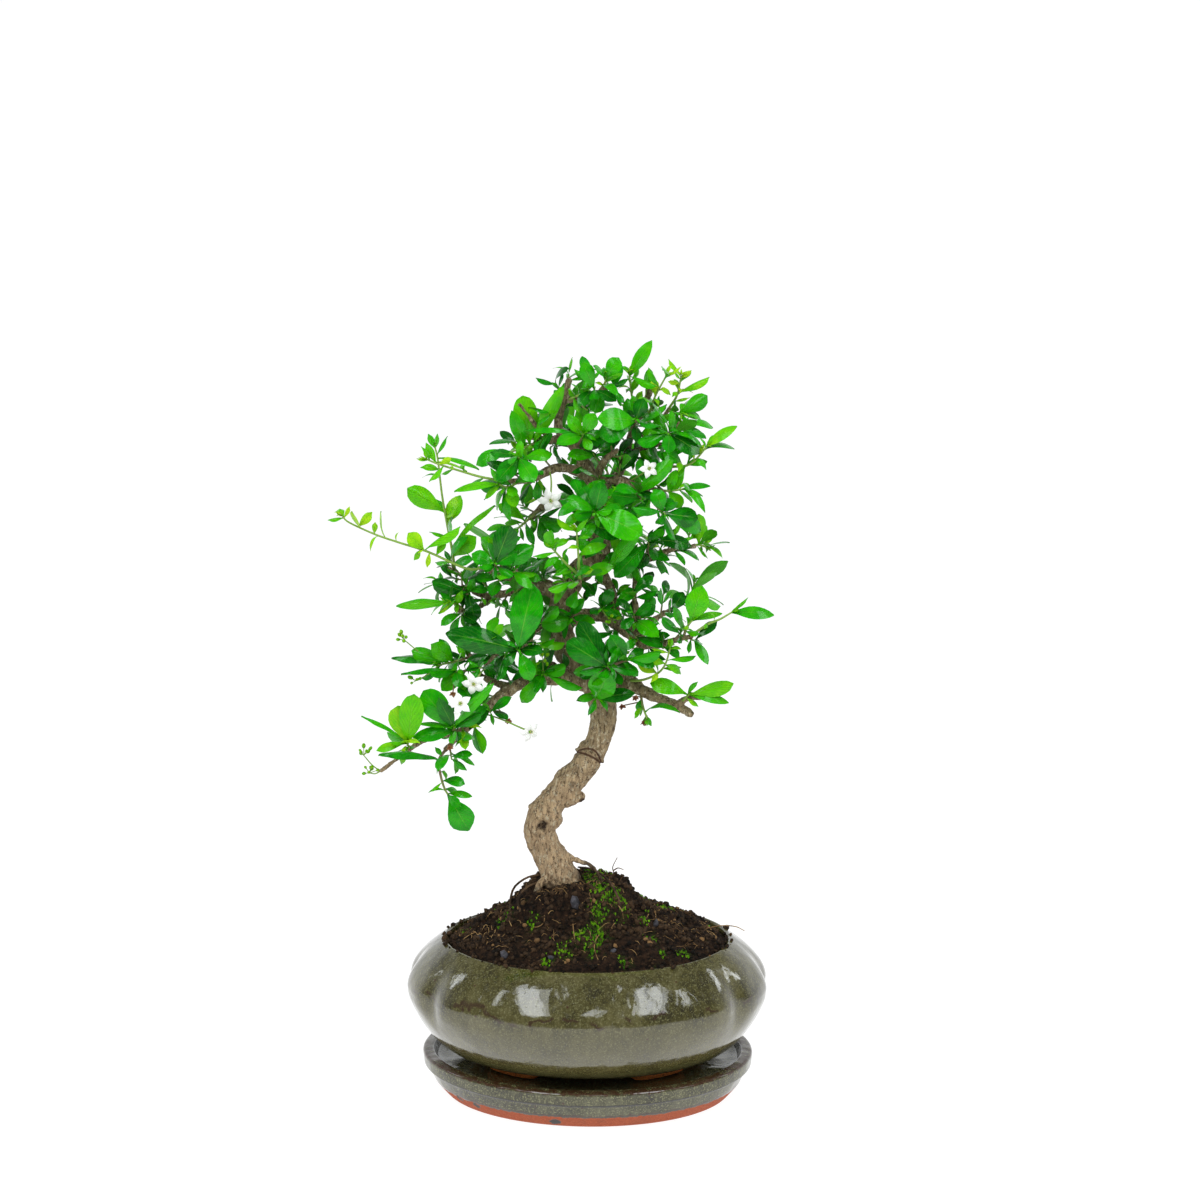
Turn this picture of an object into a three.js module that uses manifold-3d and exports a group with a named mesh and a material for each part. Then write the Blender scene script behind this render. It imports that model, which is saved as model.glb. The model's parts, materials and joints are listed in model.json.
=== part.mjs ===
// Fukien tea bonsai in a glazed oval pot on its saucer.
// Millimetres, +Z up, origin at the centre of the saucer's underside, front of the tree towards -Y.
import * as THREE from 'three';
import { mergeVertices } from 'three/addons/utils/BufferGeometryUtils.js';
import Module from 'manifold-3d';

// Saucer: a shallow oval dish, turned a little under the pot
const SAUCER_HALF_LENGTH = 92;
const SAUCER_HEIGHT = 24.5;
const SAUCER_FLOOR = 18;
const SAUCER_RIM = 6.5;
const SAUCER_BAND = 7.5;
const SAUCER_FOOT = 79;
const SAUCER_TURN = THREE.MathUtils.degToRad(-3.5);
const SAUCER_NARROWER = 22;

// Pot: an oval bowl with a rolled-in shoulder, pinched ends and four feet
const POT_HALF_LENGTH = 100;
const POT_BELLY = 63;
const POT_RIM = 89;
const POT_MOUTH = 77;
const POT_WALL = 7;
const POT_NARROWER = 20.5;
const POT_SEAT = SAUCER_FLOOR + 0.3;
const POT_FOOT = 63;
const POT_FOOT_HEIGHT = 5;
const POT_PINCH = 2.6;
const POT_SHOULDER = 1.9;
const POT_TURN = THREE.MathUtils.degToRad(-2);
const DRAIN_RADIUS = 6.5;
const DRAIN_SPACING = 56;

// Soil: a mound on the root ball
const SOIL_EDGE = 87;
const SOIL_SKIRT = 20;
const SOIL_KNOB = 15.5;
const KNOB = { x: -7, y: 0, length: 34, width: 26 };

// Gap between solids that touch, and the thickness of a leaf blade
const GAP = 0.35;
const BLADE = 0.95;

// Points are laid out as seen from this eye on the plane y = 0, then moved along the sight line
const EYE = new THREE.Vector3(7, -1575, 649.5);

const COLOURS = {
  saucer: { color: 0x6f7460, roughness: 0.25 },
  pot: { color: 0x74775a, roughness: 0.2 },
  drain_net: { color: 0x2c2f2c, roughness: 0.8 },
  soil: { color: 0x37291f, roughness: 1 },
  trunk: { color: 0x8b7a5e, roughness: 0.9 },
  mature: { color: 0x1f7d14, roughness: 0.35 },
  young: { color: 0x74b020, roughness: 0.45 },
  flower: { color: 0xf4f4ea, roughness: 0.7 },
};

const wasm = await Module();
wasm.setup();

function toSolid(geometry) {
  const bare = geometry.clone();
  bare.deleteAttribute('normal');
  bare.deleteAttribute('uv');
  const merged = mergeVertices(bare, 1e-4);
  return new wasm.Manifold(new wasm.Mesh({
    numProp: 3,
    vertProperties: new Float32Array(merged.attributes.position.array),
    triVerts: new Uint32Array(merged.index.array),
  }));
}

function toGeometry(solid) {
  const mesh = solid.getMesh();
  const geometry = new THREE.BufferGeometry();
  geometry.setAttribute('position', new THREE.BufferAttribute(mesh.vertProperties, mesh.numProp));
  geometry.setIndex(new THREE.BufferAttribute(mesh.triVerts, 1));
  geometry.computeVertexNormals();
  return geometry;
}

function joined(solids) {
  return solids.reduce((whole, solid) => whole.add(solid));
}

// The largest body of a cut solid, so that no loose scrap stays
function largestBody(solid) {
  const bodies = solid.decompose();
  return bodies.reduce((best, body) => (body.volume() > best.volume() ? body : best));
}

// The same draws in the same order each time, from 0 to 1
function makeRandom(seed) {
  let state = seed >>> 0;
  return () => {
    state = (Math.imul(state, 1664525) + 1013904223) >>> 0;
    return state / 4294967296;
  };
}

function seen(x, z, y) {
  const along = (y - EYE.y) / -EYE.y;
  return new THREE.Vector3(
    EYE.x + (x - EYE.x) * along,
    y,
    EYE.z + (z - EYE.z) * along,
  );
}

// A lathe profile of [half length, height] turned into ovals that are narrower across Y
function ovalLathe(profile, segments, narrower, shape = (angle) => angle) {
  const points = profile.map(([r, z]) => new THREE.Vector2(r, z));
  const lathe = new THREE.LatheGeometry(points, segments);
  lathe.rotateX(Math.PI / 2);
  const position = lathe.attributes.position;
  for (let i = 0; i < position.count; i += 1) {
    const radius = Math.hypot(position.getX(i), position.getY(i));
    const angle = shape(Math.atan2(position.getY(i), position.getX(i)));
    const full = narrower * 3;
    const across = radius > full ? radius - narrower : radius * (1 - narrower / full);
    position.setX(i, radius * Math.cos(angle));
    position.setY(i, across * Math.sin(angle));
  }
  return lathe;
}

// A tube with its own radius at each point of a smooth curve
function tube(points, radii, sides, steps, grow = 0) {
  const curve = new THREE.CatmullRomCurve3(points, false, 'catmullrom', 0.5);
  const geometry = new THREE.CylinderGeometry(1, 1, 1, sides, steps);
  const rows = [];
  let side = new THREE.Vector3(0, 1, 0);
  for (let row = 0; row <= steps; row += 1) {
    const t = row / steps;
    const tangent = curve.getTangent(t);
    side = side.clone().addScaledVector(tangent, -side.dot(tangent));
    if (side.length() < 0.05) {
      side.set(1, 0, 0).addScaledVector(tangent, -tangent.x);
    }
    side.normalize();
    const index = Math.min(Math.floor(t * (radii.length - 1)), radii.length - 2);
    const part = t * (radii.length - 1) - index;
    const radius = radii[index] * (1 - part) + radii[index + 1] * part + grow;
    rows.push({ centre: curve.getPoint(t), side, over: tangent.clone().cross(side), radius });
  }
  const position = geometry.attributes.position;
  for (let i = 0; i < position.count; i += 1) {
    const row = rows[Math.round((0.5 - position.getY(i)) * steps)];
    const out = row.centre.clone()
      .addScaledVector(row.side, -position.getX(i) * row.radius)
      .addScaledVector(row.over, -position.getZ(i) * row.radius);
    position.setXYZ(i, out.x, out.y, out.z);
  }
  return geometry;
}

// Woody parts: each point is [x seen, z seen, y, radius]
const TRUNK = [
  [-12, 98, -1, 8], [-13.5, 112, -1, 11.5], [-14.5, 120, -1, 10.8], [-17, 127, -1, 9.8], [-20, 134, -1, 9.2],
  [-24, 142, -1, 8.7], [-26.2, 150, -1, 8.6], [-24.5, 158, -1, 8.8], [-20, 166, -1, 8], [-11.5, 176, -1, 7.8],
  [-3, 186, -2, 7.4], [1.3, 193.5, -2, 8], [4.5, 198.5, -2, 7], [8, 209, -2, 6.8], [8.5, 220, -2, 7.2],
  [6, 231, -2, 8], [-3, 243, -2, 7.8], [-12, 254, -1, 7.2], [-14, 266, 0, 6.8], [-13, 280, 1, 6.6],
  [-6, 293, 2, 6.2], [3, 304, 3, 6], [6, 317, 3, 5.2], [5, 331, 2, 4.8], [3, 345, 1, 4.2],
  [-2, 356, 0, 3.4], [-8, 366, 0, 2.8], [-15, 373, 0, 2.2], [-14, 383, 0, 2], [-11, 392, -1, 1.9],
  [-9.5, 400, -2, 1.7],
];

const BRANCHES = {
  root_right: [[-12, 136, -2, 3], [-5, 132.6, -3, 1.9], [1, 130.4, -3, 1.7], [6, 125, -3, 1.7], [9, 115, -3, 1.6]],
  root_left: [[-20, 124, -5, 4], [-26, 119, -9, 2.6], [-31, 108, -12, 1.8]],
  stub_low: [[-12, 167, -3, 4.4], [-6, 168.5, -5, 3], [-2.6, 169.8, -6, 2.3]],
  fork_right: [[8, 232, -3, 5.2], [16, 236, -5, 5.6], [23, 234, -7, 4.6], [30, 229.5, -11, 3.2], [40, 225, -15, 2.7],
    [49, 221, -19, 2.5], [57, 216, -22, 1.8]],
  low_left: [[4, 233, -3, 6], [-8, 236.5, -6, 4.6], [-21, 237, -10, 4.2], [-33, 235, -15, 3.9], [-42, 230.5, -20, 3.5],
    [-52, 221.5, -26, 2.7], [-60, 213.5, -30, 2], [-70, 203.5, -35, 1.7], [-77.5, 196, -38, 1.3]],
  low_left_far: [[-64, 209, -33, 1.5], [-76, 205, -36, 1.5], [-86, 202.3, -38, 1.5], [-95, 198, -40, 1.4],
    [-104, 191, -41, 1.3], [-113, 184, -42, 1.2]],
  low_left_up: [[-40, 231, -19, 2.4], [-50, 234, -16, 2], [-57, 238, -12, 1.5], [-62, 243, -9, 1.3], [-63.5, 250, -7, 1.2]],
  drop: [[-14, 270, 0, 3.4], [-24, 267.5, -9, 2.4], [-31, 259, -18, 1.8], [-36, 251, -26, 1.5]],
  drop_left: [[-34, 254, -23, 1.4], [-44, 253, -28, 1.3], [-50, 249.5, -31, 1.2], [-56, 241.5, -33, 1.1]],
  right: [[-12, 268, 0, 4.4], [2, 272, -2, 3.8], [10, 270.5, -4, 3.4], [17, 265.5, -7, 3.2], [24, 261, -10, 3.3],
    [30, 256.5, -13, 3.9], [37, 255.5, -17, 2.1], [44, 256.5, -21, 1.8], [50, 258.5, -25, 1.7], [57, 260, -28, 1.4]],
  right_riser: [[15, 267, -6, 2.6], [15, 277, -3, 2.5], [12, 288, 0, 2.6], [6, 299, 2, 3]],
  right_link: [[29.5, 257, -13, 2.4], [28, 268, -9, 1.7], [25.6, 281, -3, 1.5], [26, 291, 2, 1.6], [27, 301, 5, 1.8]],
  level_right: [[5, 304, 2, 3.6], [15, 302, 3, 2.4], [26, 301, 5, 2], [35, 303, 8, 1.9], [41, 306, 10, 1.7],
    [48, 308.5, 13, 1.5], [58, 310, 15, 1.4]],
  mid_left: [[-13, 283, 1, 4.4], [-22, 286, -1, 3.4], [-33, 286.5, 1, 3], [-43, 284, 4, 2.3], [-52, 282.5, 7, 1.8],
    [-61, 285, 10, 1.5], [-67, 293, 12, 1.3], [-76, 298.5, 13, 1.1]],
  mid_left_stub: [[-58, 284, 9, 1.4], [-67, 287, 8, 1.3], [-78.5, 288.5, 6, 1.3]],
  mid_left_upper: [[-26, 286.5, -1, 2.6], [-38, 291, -10, 2.4], [-47, 294.5, -16, 2.2], [-56, 298.5, -20, 1.7]],
  mid_left_low: [[-50, 283, 6, 1.6], [-57, 277, 2, 1.5], [-62, 275, -2, 1.3], [-70, 273.5, -6, 1.2]],
  inner_left: [[5, 323, 3, 3.8], [-7, 331, 8, 2.6], [-17, 334, 13, 2.4], [-24, 330.5, 17, 2.3], [-30, 325, 20, 1.9]],
  high_left: [[1, 348, 0, 3.2], [-9, 352, -4, 2.7], [-18, 352, -8, 2.4], [-27, 347.5, -12, 2.3], [-36, 345.5, -15, 1.7],
    [-45, 345, -18, 1.3]],
  top_left_stub: [[-12, 370, 0, 2.4], [-20, 367.5, 5, 2], [-28, 369, 9, 1.8], [-37.5, 371.5, 12, 1.4]],
  top_twig: [[-11.5, 388, 0, 1.6], [-1, 391.5, -6, 1.1], [14, 397, -12, 0.9]],
  high_right: [[4, 341, 1, 3.8], [12, 346, -4, 3], [20, 345, -9, 2.8], [28, 342, -13, 2.3], [33, 341, -16, 1.9]],
  high_stub: [[4.5, 345, 0, 2.4], [7, 352, -6, 2.1], [11, 358, -10, 1.9], [16, 362, -13, 1.7]],
  top_right: [[15, 345.5, -6, 2.4], [20, 356, 0, 2.1], [23, 369, 4, 1.9], [27.5, 381, 7, 1.8], [34, 395, 9, 1.8]],
  top_right_stub: [[21, 360, 1, 1.6], [31, 363.5, -5, 1.3], [42, 366, -9, 1.2]],
  top_right_far: [[23, 370, 4, 1.7], [32, 371.5, 9, 1.5], [38, 377, 13, 1.4], [44, 384.5, 16, 1.3]],
  shoulder_right: [[28, 342, -13, 1.8], [37, 345, -14, 1.5], [44, 353, -12, 1.3], [47, 363, -8, 1.2], [49, 377, -4, 1.2]],
  front_high: [[5, 334, 2, 3.2], [4, 333, -14, 2], [3.5, 331, -34, 1.4]],
  front_mid: [[-11, 285, 1, 3.4], [-8, 288, -14, 2], [-4, 290, -30, 1.4]],
  front_low: [[6, 236, -2, 4], [9, 240, -14, 2.1], [11, 241.5, -28, 1.4]],
  front_left: [[-24, 286.5, -1, 2.6], [-38, 291, -20, 1.7], [-48, 298, -36, 1.3]],
  back_high: [[5, 334, 3, 3.4], [10, 338, 16, 2.2], [12, 341, 28, 1.5]],
  back_left: [[-12, 284, 2, 3.8], [-24, 290, 16, 2.4], [-35, 295, 30, 1.5]],
  back_mid: [[5, 308, 4, 3.6], [12, 311, 17, 2.3], [17, 315, 30, 1.5]],
  back_low: [[-11, 256, 1, 3.6], [-17, 259, 16, 2.2], [-25, 262, 30, 1.5]],
  back_right: [[22, 262.5, -8, 2.6], [34, 268, 6, 1.9], [45, 275, 20, 1.3]],
  back_top: [[-1, 354, 1, 2.8], [-3, 361, 14, 1.8], [-5, 367, 24, 1.4]],
};

// Leafy sprays. Stem points are [x seen, z seen, y]. A placed leaf is
// [place along the stem, tip x seen, tip z seen, tip depth from its root, width, how far it faces the front].
// rule adds leaves in a spiral round the stem: how many, and how long they are.
const SPRAYS = [
  { name: 'top_left', tone: 0.5, stem: [[-24, 368, 7], [-31, 364.5, 2], [-41, 361, -4]], rule: [2, 19],
    leaves: [[0.3, -12, 397, -3, 8, 0.8], [0.45, -34, 391.5, 2, 13, 0.9], [0.6, -40, 383.5, -3, 8, 0.9],
      [1, -60, 355, -4, 9, 0.6]] },
  { name: 'top_stub', tone: 0.6, stem: [[-10, 389, -1], [-6, 391, -6], [-1, 393, -9]], rule: [2, 13],
    leaves: [[0.8, 3.5, 401.5, -2, 8, 0.8], [0.5, -10, 395, -3, 7, 0.7]] },
  { name: 'top_twig', tone: 0.5, stem: [[7, 394.5, -9], [9.5, 398, -12], [10.5, 402, -13]], rule: [1, 13],
    leaves: [[0.8, 17, 412, -2, 14, 0.95], [0.1, 4.5, 382, -5, 8, 0.9], [0.3, 16.5, 393.5, -2, 5, 0.5]] },
  { name: 'top_mid', tone: 0.35, stem: [[-6, 363, 0], [-3, 368, -10], [-2, 371, -18]], rule: [2, 20],
    leaves: [[1, 4.5, 382, -3, 9, 0.8], [0.8, -10, 381, 2, 7, 0.8], [0.7, -33, 372.5, -6, 5, 0.25],
      [0.8, -16, 365, -8, 9, 0.5], [0.9, 6, 369, -7, 6, 0.4]] },
  { name: 'top_dark', tone: 0.1, stem: [[23, 371, 4], [25, 375, -8], [26, 378, -17]], rule: [3, 22],
    leaves: [[1, 5.5, 379, -4, 13, 0.75], [0.9, 7, 369.5, -8, 13, 0.8], [0.7, 7.5, 363.5, -10, 8, 0.5],
      [0.9, 30, 390, 0, 10, 0.8], [0.5, 21.5, 390, 3, 7, 0.7]] },
  { name: 'top_high', tone: 0.7, stem: [[27, 381, 6], [24, 391, 6], [22.5, 403, 5]], rule: [1, 13],
    leaves: [[1, 34.5, 421, -2, 7.5, 0.85], [0.6, 27, 401, -2, 7, 0.8], [0.3, 29.5, 394, -1, 7, 0.7],
      [0.95, 37, 396.5, -4, 5, 0.4], [0.9, 15, 397.5, -3, 5, 0.5]] },
  { name: 'top_right', tone: 0.8, stem: [[31, 371.4, 8], [35, 388, 2], [42, 402, -1]], rule: [2, 13],
    leaves: [[1, 44.5, 409, 0, 3, 0.6], [1, 50, 407, 2, 3, 0.5], [0.75, 45, 393, -3, 8, 0.6],
      [0.6, 35.5, 402, 2, 9, 0.8], [0.2, 40.5, 383.5, -6, 9, 0.7]] },
  { name: 'top_far', tone: 0.8, stem: [[43.5, 384.5, 16], [48, 392, 15], [50, 402, 13]], rule: [2, 12],
    leaves: [[1, 55.5, 405, 0, 5, 0.6], [0.5, 65, 401.5, -2, 5, 0.3], [0.9, 46, 404.5, -2, 4, 0.5],
      [0.8, 43, 399, -2, 6, 0.7]] },
  { name: 'right_high', tone: 0.55, stem: [[43.5, 383.5, 15], [47, 382, 8], [50, 381.5, 3]], rule: [2, 16],
    leaves: [[1, 64, 391.5, -2, 9, 0.85], [0.9, 53, 389.5, 2, 8, 0.8], [1, 63.5, 378, -2, 4, 0.4],
      [0.6, 38, 376.5, -6, 6, 0.4], [0.9, 57.5, 374.5, -4, 5, 0.4]] },
  { name: 'right_shoulder', tone: 0.25, stem: [[47.5, 367, -7], [45, 370.5, -16], [43, 371, -22]], rule: [3, 21],
    leaves: [[0.8, 63.5, 366, 2, 5, 0.35], [0.6, 60, 360, -4, 10, 0.75], [0.9, 27, 366, -6, 8, 0.6]] },
  { name: 'right_tip', tone: 0.6, stem: [[44.5, 353, -12], [55, 354.5, -16], [64, 364, -18]], rule: [3, 18],
    leaves: [[1, 80, 375, 0, 7, 0.5], [0.97, 72, 372, 2, 4, 0.5], [0.4, 44, 340, -4, 8, 0.8],
      [0.3, 41, 361, -6, 8, 0.6]] },
  { name: 'right_a', tone: 0.45, stem: [[32, 341.6, -15], [43, 340, -22], [52, 341, -26]], rule: [2, 17],
    leaves: [[1, 66, 342.5, 0, 6, 0.35], [0.9, 62, 337, -2, 4, 0.3], [0.95, 64, 331, -4, 5, 0.4],
      [0.5, 51, 331, -6, 8, 0.6]] },
  { name: 'right_b', tone: 0.25, stem: [[30.5, 341.4, -15], [36, 333, -26], [42, 327, -34]], rule: [2, 19],
    leaves: [[0.9, 36.5, 341, -2, 14, 0.95], [1, 59.5, 325, -3, 14, 0.85], [0.95, 24, 331, -4, 5, 0.35],
      [0.9, 63, 318, 3, 9, 0.8]] },
  { name: 'right_c', tone: 0.6, stem: [[56, 309.8, 15], [60, 310.5, 16], [64.5, 309, 17]], rule: [2, 9],
    leaves: [[0.5, 60, 327.5, -2, 8, 0.8], [1, 75.5, 305, 0, 5, 0.5]] },
  { name: 'right_d', tone: 0.2, stem: [[33, 302.5, 7], [33, 307, -1], [33, 312, -8]], rule: [3, 15],
    leaves: [[0.95, 57, 311, -3, 9, 0.6], [1, 14.5, 292.5, -8, 10, 0.85], [0.4, 44.5, 302, -3, 5, 0.7]] },
  { name: 'right_e', tone: 0.15, stem: [[28, 266, -10], [26, 269, -15], [25, 272, -18]], rule: [1, 14],
    leaves: [[0.9, 37, 277, 1, 10, 0.95], [1, 16.5, 281, -2, 5, 0.5], [0.6, 39, 267, 0, 4, 0.4],
      [0.4, 39, 259.5, -4, 9, 0.85]] },
  { name: 'right_f', tone: 0.45, stem: [[52, 259, -26], [54, 265, -28], [57, 269, -29]], rule: [1, 12],
    leaves: [[1, 62, 288, 0, 16, 1], [0.95, 73, 272.5, 0, 5, 0.5], [0.3, 61, 261, -3, 5, 0.7]] },
  { name: 'right_shoot', tone: 0.65, stem: [[56, 260, -28], [65, 266.5, -29], [72, 269.5, -30], [78.5, 273.5, -31]],
    rule: [1, 8],
    leaves: [[1, 101, 271.5, 0, 8, 0.6], [1, 87, 281.5, 1, 3, 0.5]] },
  { name: 'right_g', tone: 0.75, stem: [[21, 235, -7], [30, 235.5, -20], [38, 239, -27], [42.5, 244.5, -31], [45, 253.5, -33]],
    rule: [1, 10],
    leaves: [[0.72, 52.5, 240, -2, 7, 0.6], [0.8, 59, 249, 0, 4, 0.3], [0.75, 32, 247, -2, 8, 0.75],
      [1, 51.5, 254.5, 0, 4, 0.4], [1, 46, 259, 0, 3, 0.6], [0.92, 35, 253, 0, 4, 0.5], [0.5, 27, 244.5, -5, 7, 0.6]] },
  { name: 'right_h', tone: 0.55, stem: [[51, 223, -20], [53.5, 225.5, -25], [55.5, 227.5, -28]], rule: [0, 10],
    leaves: [[0.9, 34, 234.5, -2, 9, 0.75], [1, 79.5, 233.5, 0, 8.5, 0.75], [0.9, 77, 222.5, -1, 6, 0.6],
      [0.8, 66, 227.5, 0, 5, 0.5], [0.6, 60.5, 220.5, -3, 4, 0.6]] },
  { name: 'right_i', tone: 0.4, stem: [[29, 230, -11], [30, 222, -16], [32.5, 214, -18]], rule: [1, 9],
    leaves: [[0.3, 27, 217, -3, 7, 0.8], [0.9, 35, 209.5, 0, 5, 0.6], [0.8, 50, 221, -2, 5, 0.3]] },
  { name: 'mid_top', tone: 0.2, stem: [[3.5, 331.5, -29], [4, 329, -37], [4.5, 328, -41]], rule: [2, 20],
    leaves: [[1, 8, 345.5, -2, 10, 0.95], [0.9, -3, 343.5, -1, 7, 0.9], [0.6, -7, 326, -3, 7, 0.7],
      [0.9, 19, 329, -5, 8, 0.75], [1, 30, 316, -5, 15, 0.9]] },
  { name: 'mid_right', tone: 0.15, stem: [[24, 344, -11], [27, 338.5, -22], [29, 335, -28]], rule: [2, 20],
    leaves: [[1, 13, 338, -3, 12, 0.95], [0.5, 46, 357, -3, 9, 0.8]] },
  { name: 'mid_shoots', tone: 0.8, stem: [[-4, 290, -27], [-4.5, 303, -36], [-5.5, 318, -40]], rule: [1, 11],
    side: [[-4, 293.5, -29], [-11, 300, -37], [-19, 309, -41]],
    leaves: [[1, -9, 323.5, 0, 4, 0.8], [1, -1.5, 323.5, 0, 4, 0.8], [0.55, 10.5, 311.5, -3, 6, 0.75],
      [0.7, 4, 323, -1, 6, 0.7], [0.2, 3.5, 297, -3, 8, 0.8]],
    side_leaves: [[1, -23.5, 313, 0, 5, 0.7], [0.95, -10, 315, -1, 6, 0.6], [0.95, -21, 318, 0, 6, 0.7],
      [0.85, -29, 304, -2, 5, 0.35]] },
  { name: 'mid_low', tone: 0.15, stem: [[10, 241, -22], [11, 242, -30], [11, 243, -35]], rule: [1, 17],
    side: [[10.5, 241.5, -26], [17, 245, -29], [22, 246.5, -31]],
    leaves: [[1, -11, 257, -4, 13, 0.9], [0.9, 28, 240, -4, 5, 0.3], [0.8, -4, 240, -3, 5, 0.6],
      [0.7, -4.5, 268, 2, 12, 0.85]],
    side_leaves: [[1, 12.5, 261, -3, 10, 0.9], [1, 40, 251, -2, 7, 0.6], [0.9, 37, 244, -6, 7, 0.5]] },
  { name: 'mid_trunk', tone: 0.3, stem: [[6, 228, -8], [5, 226, -14], [5, 225, -18]], rule: [1, 12],
    leaves: [[0.9, 11.5, 239.5, -2, 15, 0.95], [1, 26, 228, -3, 8, 0.85]] },
  { name: 'mid_left', tone: 0.2, stem: [[-13, 274, -2], [-8, 271, -10], [-8, 269, -14]], rule: [2, 14],
    leaves: [[1, -24.5, 265.5, -2, 11, 0.9], [0.5, -20, 274.5, -4, 4, 0.6], [0.4, -1.5, 281, -6, 6, 0.8]] },
  { name: 'mid_bud', tone: 0.3, stem: [[4, 272, -3], [7, 275.5, -10], [8, 275, -14]], rule: [2, 13],
    leaves: [[0.7, 8.5, 284.5, 1, 8, 0.8], [1, 17, 271, -1, 8, 0.8]] },
  { name: 'left_big', tone: 0.2, stem: [[-35, 252, -25], [-37, 252, -33], [-37.5, 252.5, -38]], rule: [1, 16],
    leaves: [[1, -29, 289, -2, 17, 0.95], [0.8, -76.5, 261.5, -4, 14, 0.85], [0.6, -30, 235, -8, 9, 0.7]] },
  { name: 'left_hang', tone: 0.3, stem: [[-25, 236.5, -12], [-24, 239, -19], [-23.5, 238.5, -24]], rule: [2, 14],
    leaves: [[0.9, -36.5, 222, -2, 8, 0.9], [0.7, -11.5, 243, -3, 8, 0.6], [0.9, -2.5, 231, -2, 6, 0.4],
      [0.4, -36, 245.5, -2, 8, 0.6]] },
  { name: 'left_front', tone: 0.15, stem: [[-48, 297.5, -33], [-49, 299, -40], [-49.5, 300, -44]], rule: [1, 17],
    leaves: [[1, -41, 321, -3, 13, 0.95], [0.9, -37.5, 306.5, -2, 11, 0.9], [0.8, -62, 305.5, 0, 8, 0.8],
      [0.7, -28.5, 309.5, -4, 11, 0.9]] },
  { name: 'left_inner', tone: 0.5, stem: [[-24, 330.5, 17], [-33, 323, 9], [-42, 315, 3]], rule: [4, 17],
    leaves: [[0.8, -54, 320, -2, 6, 0.35], [1, -55.5, 315, -3, 5, 0.3], [0.5, -47.5, 333.5, -2, 8, 0.6]] },
  { name: 'left_slim', tone: 0.55, stem: [[-36, 345.5, -15], [-42, 342, -21], [-47, 343.5, -24]], rule: [2, 20],
    leaves: [[1, -71, 339.5, -2, 6, 0.45], [0.9, -54.5, 335.5, 0, 4, 0.5], [0.5, -38, 331, -5, 9, 0.8],
      [0.2, -27, 353, -4, 9, 0.8]] },
  { name: 'left_upper', tone: 0.35, stem: [[-27, 347.5, -12], [-32, 354, -18], [-37, 358.5, -21]], rule: [3, 20],
    leaves: [[0.9, -48, 345, -5, 10, 0.75], [1, -28, 344.5, -6, 10, 0.8], [0.8, -18.5, 360, -3, 8, 0.6]] },
  { name: 'left_tip', tone: 0.75, stem: [[-43, 345.2, -17], [-56, 347.5, -19], [-68, 351, -20], [-79, 354.5, -21],
    [-85, 357, -21]], rule: [1, 9],
    leaves: [[1, -91, 357.5, 0, 3, 0.4], [0.98, -87, 364, 0, 3, 0.6], [0.75, -72, 358, -2, 6, 0.85],
      [0.85, -64, 350.5, -2, 4, 0.3]] },
  { name: 'left_upright', tone: 0.65, stem: [[-71, 296.2, 12.5], [-72.5, 308, 11], [-75, 322, 10], [-77.5, 338, 9],
    [-79.5, 357, 8], [-81, 364, 8]], rule: [2, 12],
    leaves: [[0.48, -96, 341.5, -3, 11, 0.95], [0.4, -67.5, 337.5, 3, 9, 0.6], [0.2, -49, 332, 4, 5, 0.2],
      [0.13, -59.5, 315, -2, 10, 0.85], [1, -84.5, 371, 0, 5, 0.8], [1, -79.5, 371, 1, 4, 0.7],
      [0.82, -57.5, 351.5, -3, 5, 0.3]] },
  { name: 'left_long', tone: 0.85, stem: [[-55, 298, -20], [-65, 297.5, -25], [-85, 306.5, -30], [-100, 311.5, -32],
    [-113, 316, -33], [-127, 322.5, -34], [-131, 326, -34]], rule: [1, 13],
    leaves: [[1, -139, 324, 0, 4, 0.5], [0.97, -127, 331.5, 0, 3.5, 0.6],
      [0.78, -115, 328.5, -2, 8, 0.8], [0.68, -113.5, 323, -2, 7, 0.9], [0.36, -96, 317, -2, 10, 0.8],
      [0.38, -93, 302, -2, 8, 0.7], [0.36, -68, 320.5, -3, 6, 0.4], [0.33, -86, 298, -4, 4, 0.4],
      [0.3, -76, 313.5, 2, 10, 0.8]] },
  { name: 'left_dark', tone: 0.1, stem: [[-66, 286.7, 8], [-65, 284, 0], [-64, 283.5, -5]], rule: [2, 14],
    leaves: [[1, -83.5, 290.5, -2, 10, 0.65], [0.9, -60, 268, -2, 9, 0.95], [0.6, -60.5, 292, -3, 7, 0.8]] },
  { name: 'left_pod', tone: 0.5, stem: [[-66, 274.2, -4], [-70, 277.5, -9], [-74, 278.5, -12]], rule: [2, 13],
    leaves: [[1, -103, 276.5, 0, 6, 0.7], [0.9, -80.5, 272.5, 0, 4, 0.5], [0.5, -68, 284.5, -4, 8, 0.8]] },
  { name: 'left_low', tone: 0.4, stem: [[-63.5, 248.5, -7], [-71, 246, -14], [-80, 244, -18]], rule: [3, 16],
    leaves: [[1, -106, 247.5, 0, 6, 0.45], [0.7, -95, 252, -2, 9, 0.75], [0.55, -84.5, 255.5, -4, 10, 0.85],
      [0.2, -69, 254.5, -4, 7, 0.5]] },
  { name: 'left_star', tone: 0.35, stem: [[-61, 242, -9], [-67, 240.5, -17], [-71, 240, -22]], rule: [3, 13],
    leaves: [[1, -101, 238.5, 0, 4, 0.4], [0.9, -86, 240, -3, 6, 0.5], [0.7, -79, 229.5, -4, 9, 0.85],
      [0.4, -55, 246, -4, 7, 0.6]] },
  { name: 'low_rosette', tone: 0.25, stem: [[-70, 203.5, -35], [-72.5, 206, -42], [-72.5, 209, -46]], rule: [1, 13],
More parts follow.
